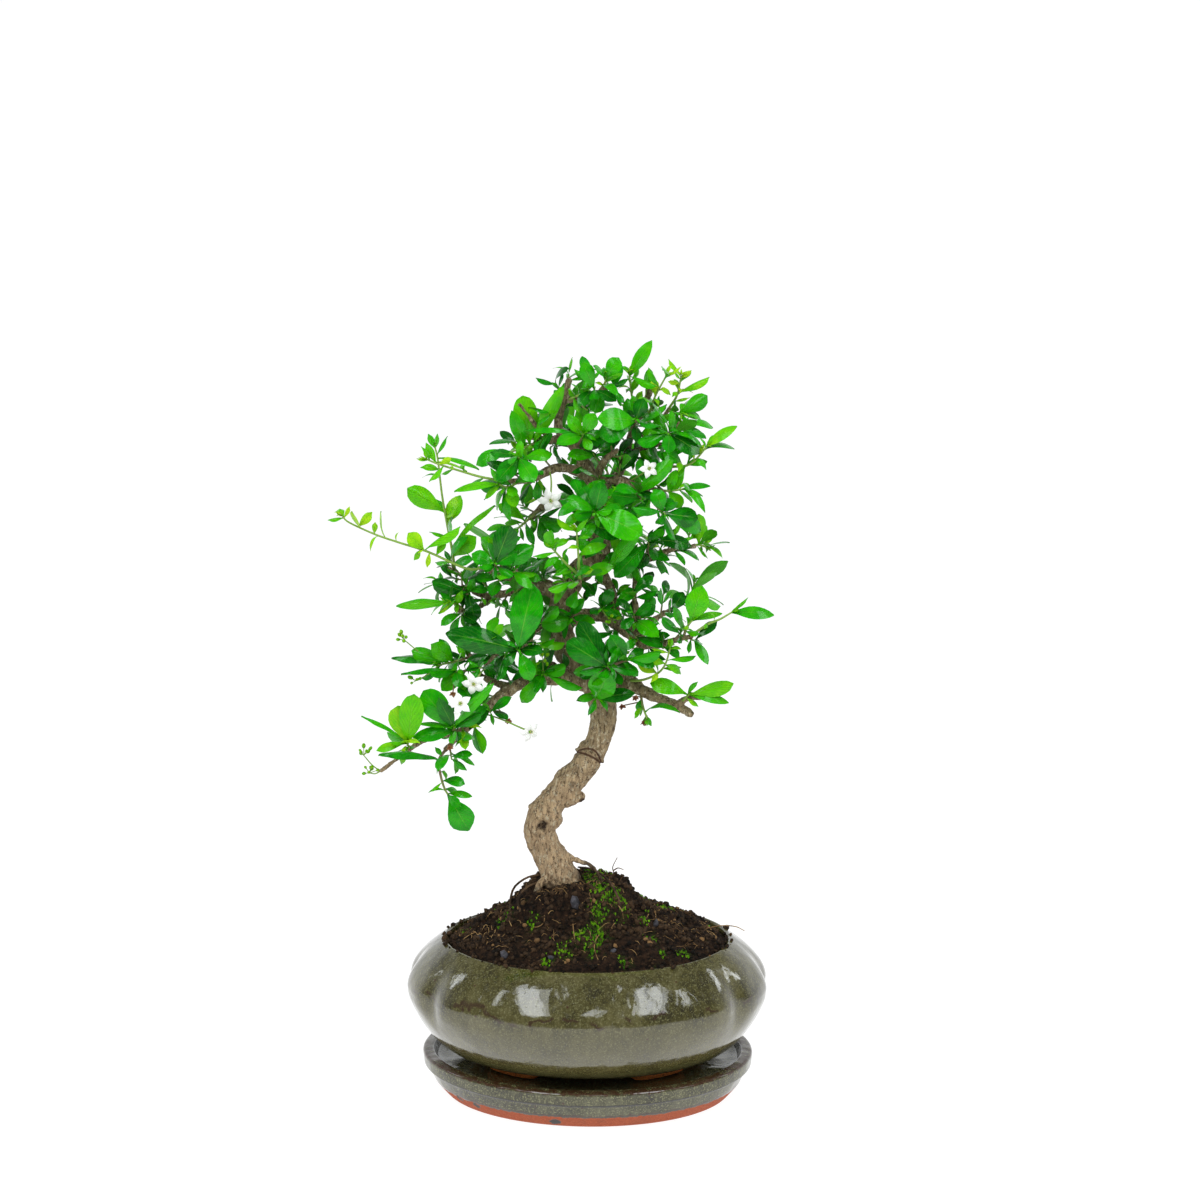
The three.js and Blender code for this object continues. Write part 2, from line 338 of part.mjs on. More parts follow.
    leaves: [[1, -89, 229.5, 0, 14, 0.95], [0.9, -81, 225.5, -4, 8, 0.85], [1, -50.5, 233.5, -3, 6, 0.6],
      [0.8, -57.5, 217, -3, 6, 0.6], [0.9, -53, 222.5, -1, 7, 0.75], [0.6, -95, 203, -3, 8, 0.8],
      [0.8, -92, 210.5, -5, 4, 0.4]] },
  { name: 'low_yellow', tone: 0.7, stem: [[-95, 198, -40], [-97, 198, -46], [-98.5, 200, -50]], rule: [1, 12],
    leaves: [[1, -103, 221, -3, 17, 1], [0.8, -94, 227.5, 3, 13, 1], [1, -115, 195.5, -2, 6, 0.5],
      [0.9, -123, 215, 0, 3, 0.3], [0.6, -103, 186, -2, 5, 0.8], [0.9, -109, 206, 2, 5, 0.7]] },
  { name: 'low_hanging', tone: 0.3, stem: [[-77, 196.5, -38], [-81, 190, -42], [-80, 181, -43], [-78, 174, -43],
    [-75.8, 170, -43]], rule: [0, 9],
    leaves: [[0.25, -114, 193, -3, 6, 0.5], [1, -65, 150, -2, 17.5, 1], [1, -63, 169.5, 2, 5, 0.5],
      [0.85, -88, 174.5, 0, 3, 0.4], [0.15, -82.5, 197.5, -2, 6, 0.7]] },
  { name: 'back_high', tone: 0.25, stem: [[12, 341, 26], [13, 344, 40], [11, 350, 52], [9, 356, 58]], rule: [8, 23], leaves: [] },
  { name: 'back_left', tone: 0.3, stem: [[-34, 294.8, 28], [-40, 298, 40], [-44, 303, 50], [-46, 309, 56]], rule: [8, 23],
    leaves: [] },
  { name: 'back_mid', tone: 0.2, stem: [[17, 315, 28], [20, 317, 42], [23, 322, 54], [24, 328, 60]], rule: [8, 23], leaves: [] },
  { name: 'back_low', tone: 0.3, stem: [[-24, 261.8, 28], [-29, 264, 42], [-32, 268, 52], [-34, 274, 57]], rule: [8, 22],
    leaves: [] },
  { name: 'back_right', tone: 0.35, stem: [[44, 274.5, 18], [51, 278, 28], [56, 283, 38], [58, 290, 44]], rule: [8, 22],
    leaves: [] },
  { name: 'back_top', tone: 0.4, stem: [[-5, 367, 23], [-7, 372, 34], [-8, 379, 43], [-9, 386, 47]], rule: [8, 20], leaves: [] },
];

// Flowers: pedicel points are [x seen, z seen, y], the last one is the flower's heart
const FLOWERS = [
  { name: 'inner', pedicel: [[-20, 351.5, -9], [-19, 345, -19], [-19.5, 335, -25]], width: 9.5 },
  { name: 'left', pedicel: [[-55, 242.5, -33], [-58, 239, -42], [-61.5, 233.5, -47]], width: 9 },
  { name: 'low', pedicel: [[-65, 208.8, -33], [-66, 216, -44], [-69, 222, -53]], width: 8.5 },
  { name: 'hanging', pedicel: [[-57, 217, -28], [-47, 213.5, -35], [-37, 209, -38], [-31.5, 206.5, -39]], width: 8 },
];

// Leaf outline: place along the leaf and half width there, as shares of its length and width
const OUTLINES = {
  large: [[0.1, 0.18], [0.36, 0.72], [0.66, 1], [0.84, 0.86], [0.88, 0.64], [0.94, 0.56]],
  middle: [[0.12, 0.24], [0.46, 0.88], [0.78, 0.92]],
  small: [[0.18, 0.36], [0.68, 1]],
};
const LARGE_LEAF = 27;
const SMALL_LEAF = 15;
const LEAF_BOW = 0.1;
const LEAF_FOLD = 0.12;
const SIDE_START = 0.3;
const ROOT_DEPTH = 1.2;
const GOLDEN_ANGLE = THREE.MathUtils.degToRad(137.5);

// Samples of a leaf used to keep leaves of different sprays apart
const SAMPLES_ALONG = [0.25, 0.45, 0.65, 0.85, 1];
const CLEAR_OF_LEAVES = 3.4;
const CLEAR_OF_OWN = 1.8;
const CLEAR_OF_WOOD = 1.6;
const CLEAR_OF_STEMS = 2.6;
const DEPTH_TRIES = [0, -4, 4, -8, 8, -12, 12, -17, 17];
const TURN_TRIES = [0, 0.35, -0.35, 0.7, -0.7];

function curvePoints(stem) {
  return new THREE.CatmullRomCurve3(stem.map(([x, z, y]) => seen(x, z, y)), false, 'catmullrom', 0.5);
}

// A point of the stem as its solid runs, straight from each stem point to the next, and short of its end
function stemPoint(stem, place) {
  const along = Math.min(Math.max(place, 0), 1) * (stem.length - 1);
  const index = Math.min(Math.floor(along), stem.length - 2);
  const [from, to] = [stem[index], stem[index + 1]].map(([x, z, y]) => seen(x, z, y));
  const last = index === stem.length - 2 ? 1 - ROOT_DEPTH / from.distanceTo(to) : 1;
  return from.lerp(to, Math.min(along - index, last));
}

function makeLeaf(root, tip, width, facing) {
  const along = tip.clone().sub(root);
  const length = along.length();
  along.normalize();
  const up = facing.clone().addScaledVector(along, -facing.dot(along)).normalize();
  return { root, along, up, side: up.clone().cross(along), length, width: Math.min(width, length * 0.62) };
}

function leafPoint(leaf, u, across, lift) {
  const bow = leaf.length * LEAF_BOW * 4 * u * (1 - u);
  return leaf.root.clone()
    .addScaledVector(leaf.along, leaf.length * u)
    .addScaledVector(leaf.side, across)
    .addScaledVector(leaf.up, bow - LEAF_FOLD * Math.abs(across) + lift);
}

function outlineAt(u) {
  return Math.sin(Math.PI * u ** 1.25) ** 0.8;
}

function leafSamples(leaf) {
  const samples = [];
  SAMPLES_ALONG.forEach((u) => {
    const half = u < 1 ? (leaf.width / 2) * outlineAt(u) : 0;
    (half > 1 ? [-0.8, 0, 0.8] : [0]).forEach((v) => samples.push(leafPoint(leaf, u, v * half, 0)));
  });
  return samples;
}

const woodSamples = [];
[TRUNK, ...Object.values(BRANCHES)].forEach((rows) => {
  const curve = curvePoints(rows);
  const steps = rows.length * 4;
  for (let i = 0; i <= steps; i += 1) {
    const place = (i / steps) * (rows.length - 1);
    const index = Math.min(Math.floor(place), rows.length - 2);
    const radius = rows[index][3] * (1 - place + index) + rows[index + 1][3] * (place - index);
    woodSamples.push({ point: curve.getPoint(i / steps), radius });
  }
});
const leafCloud = [];
const stemCloud = [];
SPRAYS.forEach((spray, owner) => {
  [spray.stem, spray.side ?? []].forEach((rows) => {
    const steps = rows.length * 4;
    for (let i = rows.length; i <= steps && rows.length > 0; i += 1) {
      stemCloud.push({ point: curvePoints(rows).getPoint(i / steps), owner });
    }
  });
});

function isClear(leaf, owner) {
  return leafSamples(leaf).every((sample) => {
    const wood = woodSamples.every((knot) => sample.distanceTo(knot.point) > knot.radius + CLEAR_OF_WOOD);
    const stems = stemCloud.every((other) => {
      return other.owner === owner || sample.distanceTo(other.point) > CLEAR_OF_STEMS;
    });
    return wood && stems && leafCloud.every((other) => {
      const room = other.owner === owner ? CLEAR_OF_OWN : CLEAR_OF_LEAVES;
      return sample.distanceTo(other.point) > room;
    });
  });
}

function keep(leaf, owner, list) {
  leafSamples(leaf).forEach((point) => leafCloud.push({ point, owner }));
  list.push(leaf);
}

// Placed leaves keep their place in the picture: one that meets another is moved along the sight line
function placeLeaves(owner, stem, rows, list) {
  rows.forEach(([place, x, z, depth, width, front]) => {
    const root = stemPoint(stem, place);
    const facing = new THREE.Vector3(0, -0.97 * front, 1 - 0.77 * front);
    const choices = DEPTH_TRIES.map((more) => makeLeaf(root, seen(x, z, root.y + depth + more), width, facing));
    keep(choices.find((leaf) => isClear(leaf, owner)) ?? choices[0], owner, list);
  });
}

// Ruled leaves spiral round the stem: one that meets another is turned, made smaller or left out
function ruleLeaves(owner, stem, [count, length], list) {
  const random = makeRandom(owner * 7919 + 11);
  const curve = curvePoints(stem);
  for (let i = 0; i < count; i += 1) {
    const place = 0.3 + 0.7 * ((i + random() * 0.6) / count);
    const turn = GOLDEN_ANGLE * i + random() * 0.9 + owner;
    const spread = 1.25 - 0.55 * place + random() * 0.25;
    const size = length * (0.78 + 0.4 * random());
    const width = size * (0.36 + 0.12 * random());
    const tilt = new THREE.Vector3(random() - 0.5, random() - 0.5, random() - 0.5);
    const root = stemPoint(stem, place);
    const axis = curve.getTangent(Math.min(place, 1));
    const first = axis.clone().cross(new THREE.Vector3(0.1, 0.2, 1)).normalize();
    const second = axis.clone().cross(first);
    const outward = new THREE.Vector3(root.x, root.y, 0).normalize();
    for (const share of [1, 0.72]) {
      const options = TURN_TRIES.map((more) => {
        const way = axis.clone().multiplyScalar(Math.cos(spread))
          .addScaledVector(first, Math.cos(turn + more) * Math.sin(spread))
          .addScaledVector(second, Math.sin(turn + more) * Math.sin(spread));
        way.z += 0.12;
        const tip = root.clone().addScaledVector(way.normalize(), size * share);
        const facing = new THREE.Vector3(0, 0, 0.75).addScaledVector(outward, 0.6).addScaledVector(tilt, 0.7);
        return makeLeaf(root, tip, width * share, facing);
      });
      const leaf = options.find((option) => isClear(option, owner));
      if (leaf) {
        keep(leaf, owner, list);
        break;
      }
    }
  }
}

// A closed blade: a sphere of three or four sides drawn out along the leaf, split alike on both halves.
// A three-sided blade is flat below, and a four-sided one has a rib on both faces.
function bladeGeometry(leaf, outline, grow = 0) {
  const sides = outline === OUTLINES.large ? 4 : 3;
  const bands = outline.length + 1;
  const ring = sides + 1;
  const geometry = new THREE.SphereGeometry(1, sides, bands);
  const index = [];
  for (let band = 0; band < bands; band += 1) {
    for (let side = 0; side < sides; side += 1) {
      const a = band * ring + side + 1;
      const b = band * ring + side;
      const c = b + ring;
      const d = a + ring;
      if (band === 0) {
        index.push(b, c, d);
      } else if (band === bands - 1) {
        index.push(a, b, c);
      } else if (side % 2) {
        index.push(a, b, c, a, c, d);
      } else {
        index.push(a, b, d, b, c, d);
      }
    }
  }
  geometry.setIndex(index);
  const rows = [[0, 0], ...outline, [1, 0]];
  const position = geometry.attributes.position;
  for (let i = 0; i < position.count; i += 1) {
    const [u, share] = rows[Math.floor(i / ring)];
    const half = (leaf.width / 2) * share + (share > 0 ? grow : 0);
    const rib = share > 0 ? BLADE / 2 + grow : 0;
    const below = share > 0 && sides === 3 ? -BLADE / 3 - grow : 0;
    const across = sides === 4 ? [-half, 0, half, 0, -half] : [-half, 0, half, -half];
    const lift = sides === 4 ? [0, rib, 0, -rib, 0] : [below, rib, below, below];
    const point = leafPoint(leaf, u, across[i % ring], lift[i % ring]);
    position.setXYZ(i, point.x, point.y, point.z);
  }
  return geometry;
}

function outlineFor(leaf) {
  if (leaf.length > LARGE_LEAF) {
    return OUTLINES.large;
  }
  return leaf.length > SMALL_LEAF ? OUTLINES.middle : OUTLINES.small;
}

function branchSolid(rows, sides, steps, grow) {
  const points = rows.map(([x, z, y]) => seen(x, z, y));
  return toSolid(tube(points, rows.map((row) => row[3]), sides, steps, grow));
}

function trunkSolid(grow = 0) {
  const parts = [branchSolid(TRUNK, 8, TRUNK.length - 1, grow)];
  Object.values(BRANCHES).forEach((rows) => {
    const thin = rows[0][3] > 1.9 ? 4 : 3;
    const sides = rows[0][3] > 3 ? 5 : thin;
    parts.push(branchSolid(rows, sides, rows.length - 1, grow));
  });
  return joined(parts);
}

function stemSolid(rows, grow, start = seen(rows[0][0], rows[0][1], rows[0][2])) {
  const points = [start, ...rows.slice(1).map(([x, z, y]) => seen(x, z, y))];
  const radii = rows.map((row, i) => 1.25 - (0.35 * i) / (rows.length - 1));
  return toSolid(tube(points, radii, 3, rows.length - 1, grow));
}

function spraySolid(spray, leaves, grow = 0) {
  const parts = [stemSolid(spray.stem, grow)];
  if (spray.side) {
    parts.push(stemSolid(spray.side, grow, stemPoint(spray.stem, SIDE_START)));
  }
  leaves.forEach((leaf) => parts.push(toSolid(bladeGeometry(leaf, outlineFor(leaf), grow))));
  return joined(parts);
}

function flowerLeaves(flower) {
  const heart = seen(...flower.pedicel[flower.pedicel.length - 1]);
  const before = seen(...flower.pedicel[flower.pedicel.length - 2]);
  const axis = heart.clone().sub(before).normalize().add(new THREE.Vector3(0, -1.4, 0.2)).normalize();
  const first = axis.clone().cross(new THREE.Vector3(0, 0, 1)).normalize();
  const second = axis.clone().cross(first);
  return [0, 1, 2, 3, 4].map((petal) => {
    const turn = (petal / 5) * Math.PI * 2;
    const way = first.clone().multiplyScalar(Math.cos(turn))
      .addScaledVector(second, Math.sin(turn)).addScaledVector(axis, 0.25).normalize();
    const tip = heart.clone().addScaledVector(way, flower.width / 2);
    return makeLeaf(heart, tip, flower.width * 0.3, axis);
  });
}

function flowerSolid(flower, grow = 0) {
  const points = flower.pedicel.map(([x, z, y]) => seen(x, z, y));
  const heart = new THREE.SphereGeometry(1.3 + grow, 5, 3);
  heart.translate(...points[points.length - 1].toArray());
  const pedicel = toSolid(tube(points, points.map(() => 0.5), 3, points.length - 1, grow));
  const petals = flowerLeaves(flower).map((leaf) => toSolid(bladeGeometry(leaf, OUTLINES.small, grow)));
  return joined([toSolid(heart), pedicel, ...petals]);
}

// Saucer: rim flat on top, a step down to the floor, a band under the rim and a drawn-in lower wall
function saucerSolid() {
  const a = SAUCER_HALF_LENGTH;
  const profile = [
    [0, SAUCER_FLOOR], [a - SAUCER_RIM - 5, SAUCER_FLOOR], [a - SAUCER_RIM - 1.6, SAUCER_FLOOR + 1.2],
    [a - SAUCER_RIM, SAUCER_HEIGHT - 0.8], [a - SAUCER_RIM + 0.8, SAUCER_HEIGHT], [a - 1, SAUCER_HEIGHT - 0.3],
    [a, SAUCER_HEIGHT - 1.4], [a - 0.4, SAUCER_HEIGHT - SAUCER_BAND], [a - 3, SAUCER_HEIGHT - SAUCER_BAND - 1.2],
    [a - 6, SAUCER_HEIGHT * 0.34], [SAUCER_FOOT + 2.2, 2.5], [SAUCER_FOOT, 0], [0, 0],
  ].reverse();
  const lathe = ovalLathe(profile, 28, SAUCER_NARROWER);
  lathe.rotateZ(SAUCER_TURN);
  return toSolid(lathe);
}

// Angles of the pinches at the pot's two ends; the lathe's next points are drawn in beside each
const PINCHES = [0, 30, -30, 180, 150, -150].map(THREE.MathUtils.degToRad);
const PINCH_REACH = THREE.MathUtils.degToRad(4.5);
const POT_SEGMENTS = 36;
const LATHE_START = Math.PI * 1.5;

function angleBetween(one, two) {
  return Math.atan2(Math.sin(one - two), Math.cos(one - two));
}

function besidePinch(angle) {
  const step = (Math.PI * 2) / POT_SEGMENTS;
  const pinch = PINCHES.find((place) => Math.abs(Math.abs(angleBetween(angle, place)) - step) < 0.01);
  return pinch === undefined ? angle : pinch + Math.sign(angleBetween(angle, pinch)) * PINCH_REACH;
}

// Half length of the pot's outside at each height, from the seat to the rim
function potProfile() {
  const under = POT_SEAT + POT_FOOT_HEIGHT;
  const shoulder = [0.35, 0.7, 1].map((share) => {
    const inward = (POT_HALF_LENGTH - POT_MOUTH - 2) * share ** POT_SHOULDER;
    return [POT_HALF_LENGTH - inward, POT_BELLY + (POT_RIM - POT_BELLY) * share];
  });
  return [
    [0, under], [POT_FOOT + 1, under], [POT_HALF_LENGTH * 0.765, under + 4], [POT_HALF_LENGTH * 0.845, under + 9.5],
    [POT_HALF_LENGTH * 0.9, under + 16], [POT_HALF_LENGTH * 0.955, under + 25],
    [POT_HALF_LENGTH * 0.992, under + 34], [POT_HALF_LENGTH, POT_BELLY + 1], ...shoulder,
    [POT_MOUTH + 0.4, POT_RIM - 0.6], [POT_MOUTH, POT_RIM - 3],
  ];
}

function potInside(gap = 0) {
  const floor = POT_SEAT + POT_FOOT_HEIGHT + POT_WALL * 0.7;
  return [
    [POT_MOUTH - gap, POT_RIM - 3], [POT_MOUTH + 2 - gap, POT_RIM - 8], [POT_HALF_LENGTH - POT_WALL - gap, POT_BELLY],
    [POT_HALF_LENGTH * 0.9 - POT_WALL - gap, POT_BELLY - 22 + gap],
    [POT_HALF_LENGTH * 0.765 - POT_WALL - gap, floor + 6 + gap], [POT_FOOT - POT_WALL, floor + gap], [0, floor + gap],
  ];
}

function potSolid() {
  const outside = potProfile();
  const profile = [...outside, ...potInside().slice(1)];
  const lathe = ovalLathe(profile, POT_SEGMENTS, POT_NARROWER, besidePinch);
  const position = lathe.attributes.position;
  for (let i = 0; i < position.count; i += 1) {
    const x = position.getX(i);
    const y = position.getY(i);
    const angle = (Math.PI * 2 * Math.floor(i / profile.length)) / POT_SEGMENTS;
    const near = PINCHES.some((place) => Math.abs(angleBetween(LATHE_START - angle, place)) < 0.02);
    if (near && i % profile.length < outside.length - 2 && Math.hypot(x, y) > 1) {
      const fade = Math.exp(-(((position.getZ(i) - POT_BELLY) / 17) ** 2));
      const shrink = 1 - (POT_PINCH * fade) / Math.hypot(x, y);
      position.setXY(i, x * shrink, y * shrink);
    }
  }
  lathe.rotateZ(POT_TURN);
  let pot = toSolid(lathe);
  const foot = potFoot();
  [0, 1, 2, 3].forEach((corner) => {
    const turned = foot.clone();
    const mirror = [corner % 2 ? -1 : 1, corner > 1 ? -1 : 1];
    turned.scale(mirror[0], mirror[1], 1);
    if (mirror[0] * mirror[1] < 0) {
      flipFaces(turned);
    }
    turned.rotateZ(POT_TURN);
    pot = pot.add(toSolid(turned));
  });
  [-1, 1].forEach((side) => {
    const drain = new THREE.CylinderGeometry(DRAIN_RADIUS, DRAIN_RADIUS, POT_WALL * 3, 10);
    drain.rotateX(Math.PI / 2);
    pot = pot.subtract(toSolid(overDrain(drain, side, POT_SEAT + POT_FOOT_HEIGHT)));
  });
  return pot;
}

function flipFaces(geometry) {
  const index = geometry.index.array;
  for (let i = 0; i < index.length; i += 3) {
    [index[i], index[i + 1]] = [index[i + 1], index[i]];
  }
}

// One foot: a block bent along the oval between two angles
function potFoot() {
  const box = new THREE.BoxGeometry(1, 1, 1, 4, 1, 1);
  const position = box.attributes.position;
  for (let i = 0; i < position.count; i += 1) {
    const angle = THREE.MathUtils.degToRad(46 - position.getX(i) * 38);
    const low = position.getZ(i) < 0;
    const a = POT_FOOT + (position.getY(i) > 0 ? 0 : -11) - (low ? 1.5 : 0) * Math.sign(position.getY(i));
    const z = low ? POT_SEAT : POT_SEAT + POT_FOOT_HEIGHT + 1;
    position.setXYZ(i, a * Math.cos(angle), (a - POT_NARROWER) * Math.sin(angle), z);
  }
  return box;
}

function soilHeight(x, y) {
  const edge = Math.min(1, Math.hypot(x / POT_MOUTH, y / (POT_MOUTH - POT_NARROWER)));
  const knob = Math.hypot((x - KNOB.x) / KNOB.length, (y - KNOB.y) / KNOB.width);
  const rise = 1 / (1 + Math.exp((knob - 1) * 11));
  return SOIL_EDGE + SOIL_SKIRT * (1 - edge ** 2.4) + SOIL_KNOB * rise;
}

function soilSolid() {
  const top = [0.84, 0.64, 0.5, 0.4, 0.26, 0].map((share) => [(POT_MOUTH - GAP) * share, POT_RIM]);
  const wall = potInside(GAP).reverse();
  const lathe = ovalLathe([...wall, ...top], POT_SEGMENTS, POT_NARROWER, besidePinch);
  const position = lathe.attributes.position;
  for (let i = 0; i < position.count; i += 1) {
    if (position.getZ(i) > POT_RIM - 1) {
      const inward = 1 - Math.hypot(position.getX(i), position.getY(i)) / POT_MOUTH;
      const x = position.getX(i) + KNOB.x * Math.min(1, inward * 1.6);
      const y = position.getY(i);
      const angle = Math.atan2(y, x);
      const ring = Math.hypot(x, y * 1.4);
      const bumps = 0.9 * Math.sin(5 * angle + ring * 0.21) + 0.8 * Math.sin(11 * angle - ring * 0.13);
      position.setX(i, x);
      position.setZ(i, soilHeight(x, y) + bumps * Math.min(1, ring / 25));
    }
  }
  lathe.rotateZ(POT_TURN);
  return toSolid(lathe);
}

function overDrain(geometry, side, z) {
  geometry.translate((side * DRAIN_SPACING) / 2, 0, z);
  geometry.rotateZ(POT_TURN);
  return geometry;
}

function netSolid(side) {
  const height = POT_SEAT + POT_FOOT_HEIGHT + POT_WALL * 0.7 + GAP + 0.5;
  let net = toSolid(overDrain(new THREE.BoxGeometry(20, 20, 1), side, height));
  [-3.5, 3.5].forEach((x) => [-3.5, 3.5].forEach((y) => {
    const hole = new THREE.BoxGeometry(5, 5, 3);
    hole.translate(x, y, 0);
    net = net.subtract(toSolid(overDrain(hole, side, height)));
  }));
  return net;
}

function netPocket(side) {
  const floor = POT_SEAT + POT_FOOT_HEIGHT + POT_WALL * 0.7;
  return toSolid(overDrain(new THREE.BoxGeometry(21, 21, 6), side, floor - 1.3));
}

const bonsai = new THREE.Group();
bonsai.name = 'fukien_tea_bonsai';

function addNode(name, solid, look) {
  const material = new THREE.MeshStandardMaterial({ ...look, metalness: 0 });
  const mesh = new THREE.Mesh(toGeometry(solid), material);
  mesh.name = name;
  bonsai.add(mesh);
}

const sprayLeaves = SPRAYS.map(() => []);
SPRAYS.forEach((spray, owner) => {
  placeLeaves(owner, spray.stem, spray.leaves, sprayLeaves[owner]);
  if (spray.side) {
    placeLeaves(owner, spray.side, spray.side_leaves, sprayLeaves[owner]);
  }
});
FLOWERS.forEach((flower, i) => {
  const owner = SPRAYS.length + i;
  flowerLeaves(flower).forEach((leaf) => leafSamples(leaf).forEach((point) => leafCloud.push({ point, owner })));
});
SPRAYS.forEach((spray, owner) => ruleLeaves(owner, spray.stem, spray.rule, sprayLeaves[owner]));

const wood = trunkSolid();
const woodRoom = trunkSolid(GAP);
const nets = [-1, 1].map(netSolid);
const pockets = [-1, 1].map(netPocket);

addNode('saucer', saucerSolid(), COLOURS.saucer);
addNode('pot', potSolid(), COLOURS.pot);
addNode('drain_net_left', nets[0], COLOURS.drain_net);
addNode('drain_net_right', nets[1], COLOURS.drain_net);
addNode('soil', largestBody(soilSolid().subtract(woodRoom).subtract(pockets[0]).subtract(pockets[1])), COLOURS.soil);
addNode('trunk', largestBody(wood), COLOURS.trunk);

const rooms = [];
function settle(solid, room) {
  let clear = solid.subtract(woodRoom);
  rooms.forEach((other) => {
    if (!clear.intersect(other).isEmpty()) {
      clear = clear.subtract(other);
    }
  });
  rooms.push(room);
  return largestBody(clear);
}

SPRAYS.forEach((spray, owner) => {
  const solid = settle(spraySolid(spray, sprayLeaves[owner]), spraySolid(spray, sprayLeaves[owner], GAP));
  addNode(`spray_${spray.name}`, solid, spray.tone > 0.5 ? COLOURS.young : COLOURS.mature);
});
FLOWERS.forEach((flower) => {
  addNode(`flower_${flower.name}`, settle(flowerSolid(flower), flowerSolid(flower, GAP)), COLOURS.flower);
});

export default bonsai;
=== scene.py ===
"""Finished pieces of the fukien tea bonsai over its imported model, with light and camera.

Lengths are millimetres until a mesh is made, and meshes are in metres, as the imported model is.
"""
import json
import logging
import math
from collections.abc import Callable, Iterable, Iterator, Sequence
from contextlib import contextmanager
from dataclasses import dataclass, field, replace
from enum import Enum

import bmesh
import bpy
import numpy as np
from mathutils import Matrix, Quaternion, Vector, noise

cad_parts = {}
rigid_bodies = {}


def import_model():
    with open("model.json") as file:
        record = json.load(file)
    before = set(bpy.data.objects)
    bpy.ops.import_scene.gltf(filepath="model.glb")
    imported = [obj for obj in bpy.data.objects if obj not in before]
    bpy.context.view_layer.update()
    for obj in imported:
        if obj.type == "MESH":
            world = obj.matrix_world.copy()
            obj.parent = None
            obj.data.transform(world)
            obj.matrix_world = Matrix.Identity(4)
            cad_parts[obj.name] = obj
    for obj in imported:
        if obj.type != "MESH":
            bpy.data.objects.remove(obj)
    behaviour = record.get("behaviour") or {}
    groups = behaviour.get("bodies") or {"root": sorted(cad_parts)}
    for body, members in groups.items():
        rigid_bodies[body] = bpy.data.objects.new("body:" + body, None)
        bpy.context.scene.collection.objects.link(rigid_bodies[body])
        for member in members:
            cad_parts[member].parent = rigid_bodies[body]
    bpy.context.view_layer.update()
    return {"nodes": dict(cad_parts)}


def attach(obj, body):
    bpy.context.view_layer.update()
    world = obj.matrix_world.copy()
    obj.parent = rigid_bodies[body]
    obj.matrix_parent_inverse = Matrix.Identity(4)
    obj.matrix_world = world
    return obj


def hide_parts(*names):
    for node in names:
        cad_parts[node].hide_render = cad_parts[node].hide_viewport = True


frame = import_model()

log = logging.getLogger("bonsai")

MM = 0.001
NEAR = 1e-6
BODY = "root"
Colour = tuple[float, float, float, float]
Row = tuple[float, ...]
Rows = tuple[Row, ...]
Faces = list[tuple[int, ...]]
Draw = Callable[[], float]

# The photograph's eye, which is also where the tree's points are laid out from
EYE = np.array([7.0, -1575.0, 649.5])
GOLDEN_ANGLE = math.radians(137.5)


def paint(red: float, green: float, blue: float) -> Colour:
    """Turn a colour as the eye reads it, each share from 0 to 255, into linear light."""
    linear = [((v / 255 + 0.055) / 1.055) ** 2.4 if v > 10 else v / 255 / 12.92 for v in (red, green, blue)]
    return (*linear, 1.0)


def seen(x: float, z: float, y: float) -> np.ndarray:
    """Return the point at depth y that the eye sees at x and z of the plane y = 0."""
    along = (y - EYE[1]) / -EYE[1]
    return np.array([EYE[0] + (x - EYE[0]) * along, y, EYE[2] + (z - EYE[2]) * along])


def sighted(point: np.ndarray) -> tuple[float, float]:
    """Return where the eye sees a point: its x and z in the plane y = 0."""
    share = EYE[1] / (EYE[1] - point[1])
    return EYE[0] + (point[0] - EYE[0]) * share, EYE[2] + (point[2] - EYE[2]) * share


def vector(x: float, y: float, z: float) -> np.ndarray:
    """Return a vector."""
    return np.array([x, y, z])


def unit(way: np.ndarray) -> np.ndarray:
    """Return the vector at length 1."""
    return way / max(float(np.linalg.norm(way)), 1e-9)


def turned(x: float, y: float, degrees: float) -> tuple[float, float]:
    """Return a place turned round the upright axis."""
    lean = math.radians(degrees)
    return x * math.cos(lean) - y * math.sin(lean), x * math.sin(lean) + y * math.cos(lean)


def draws(seed: int) -> Draw:
    """Make a source of draws from 0 to 1, the same each time for a seed.

    Args:
        seed: which row of draws.

    Returns:
        A function that gives the next draw.
    """
    state = [seed & 0xFFFFFFFF]

    def draw() -> float:
        """Return the next draw."""
        state[0] = (state[0] * 1664525 + 1013904223) & 0xFFFFFFFF
        return state[0] / 4294967296

    return draw


def wrinkle(point: Sequence[float], size: float, octaves: int = 1) -> float:
    """Give smooth noise from about -1 to 1.

    Args:
        point: where it is read.
        size: how wide its bumps are.
        octaves: how many layers it has, each half as wide and strong as the last.

    Returns:
        The noise there.
    """
    total, share = 0.0, 1.0
    for octave in range(octaves):
        scale = 2**octave / size
        total += share * noise.noise(Vector((point[0] * scale, point[1] * scale, point[2] * scale)))
        share *= 0.5
    return total


def between(values: Sequence[float], place: float) -> float:
    """Return the value at a place from 0 to 1 along a list, straight between its entries."""
    along = place * (len(values) - 1)
    k = min(int(along), len(values) - 2)
    return values[k] * (1 - along + k) + values[k + 1] * (along - k)


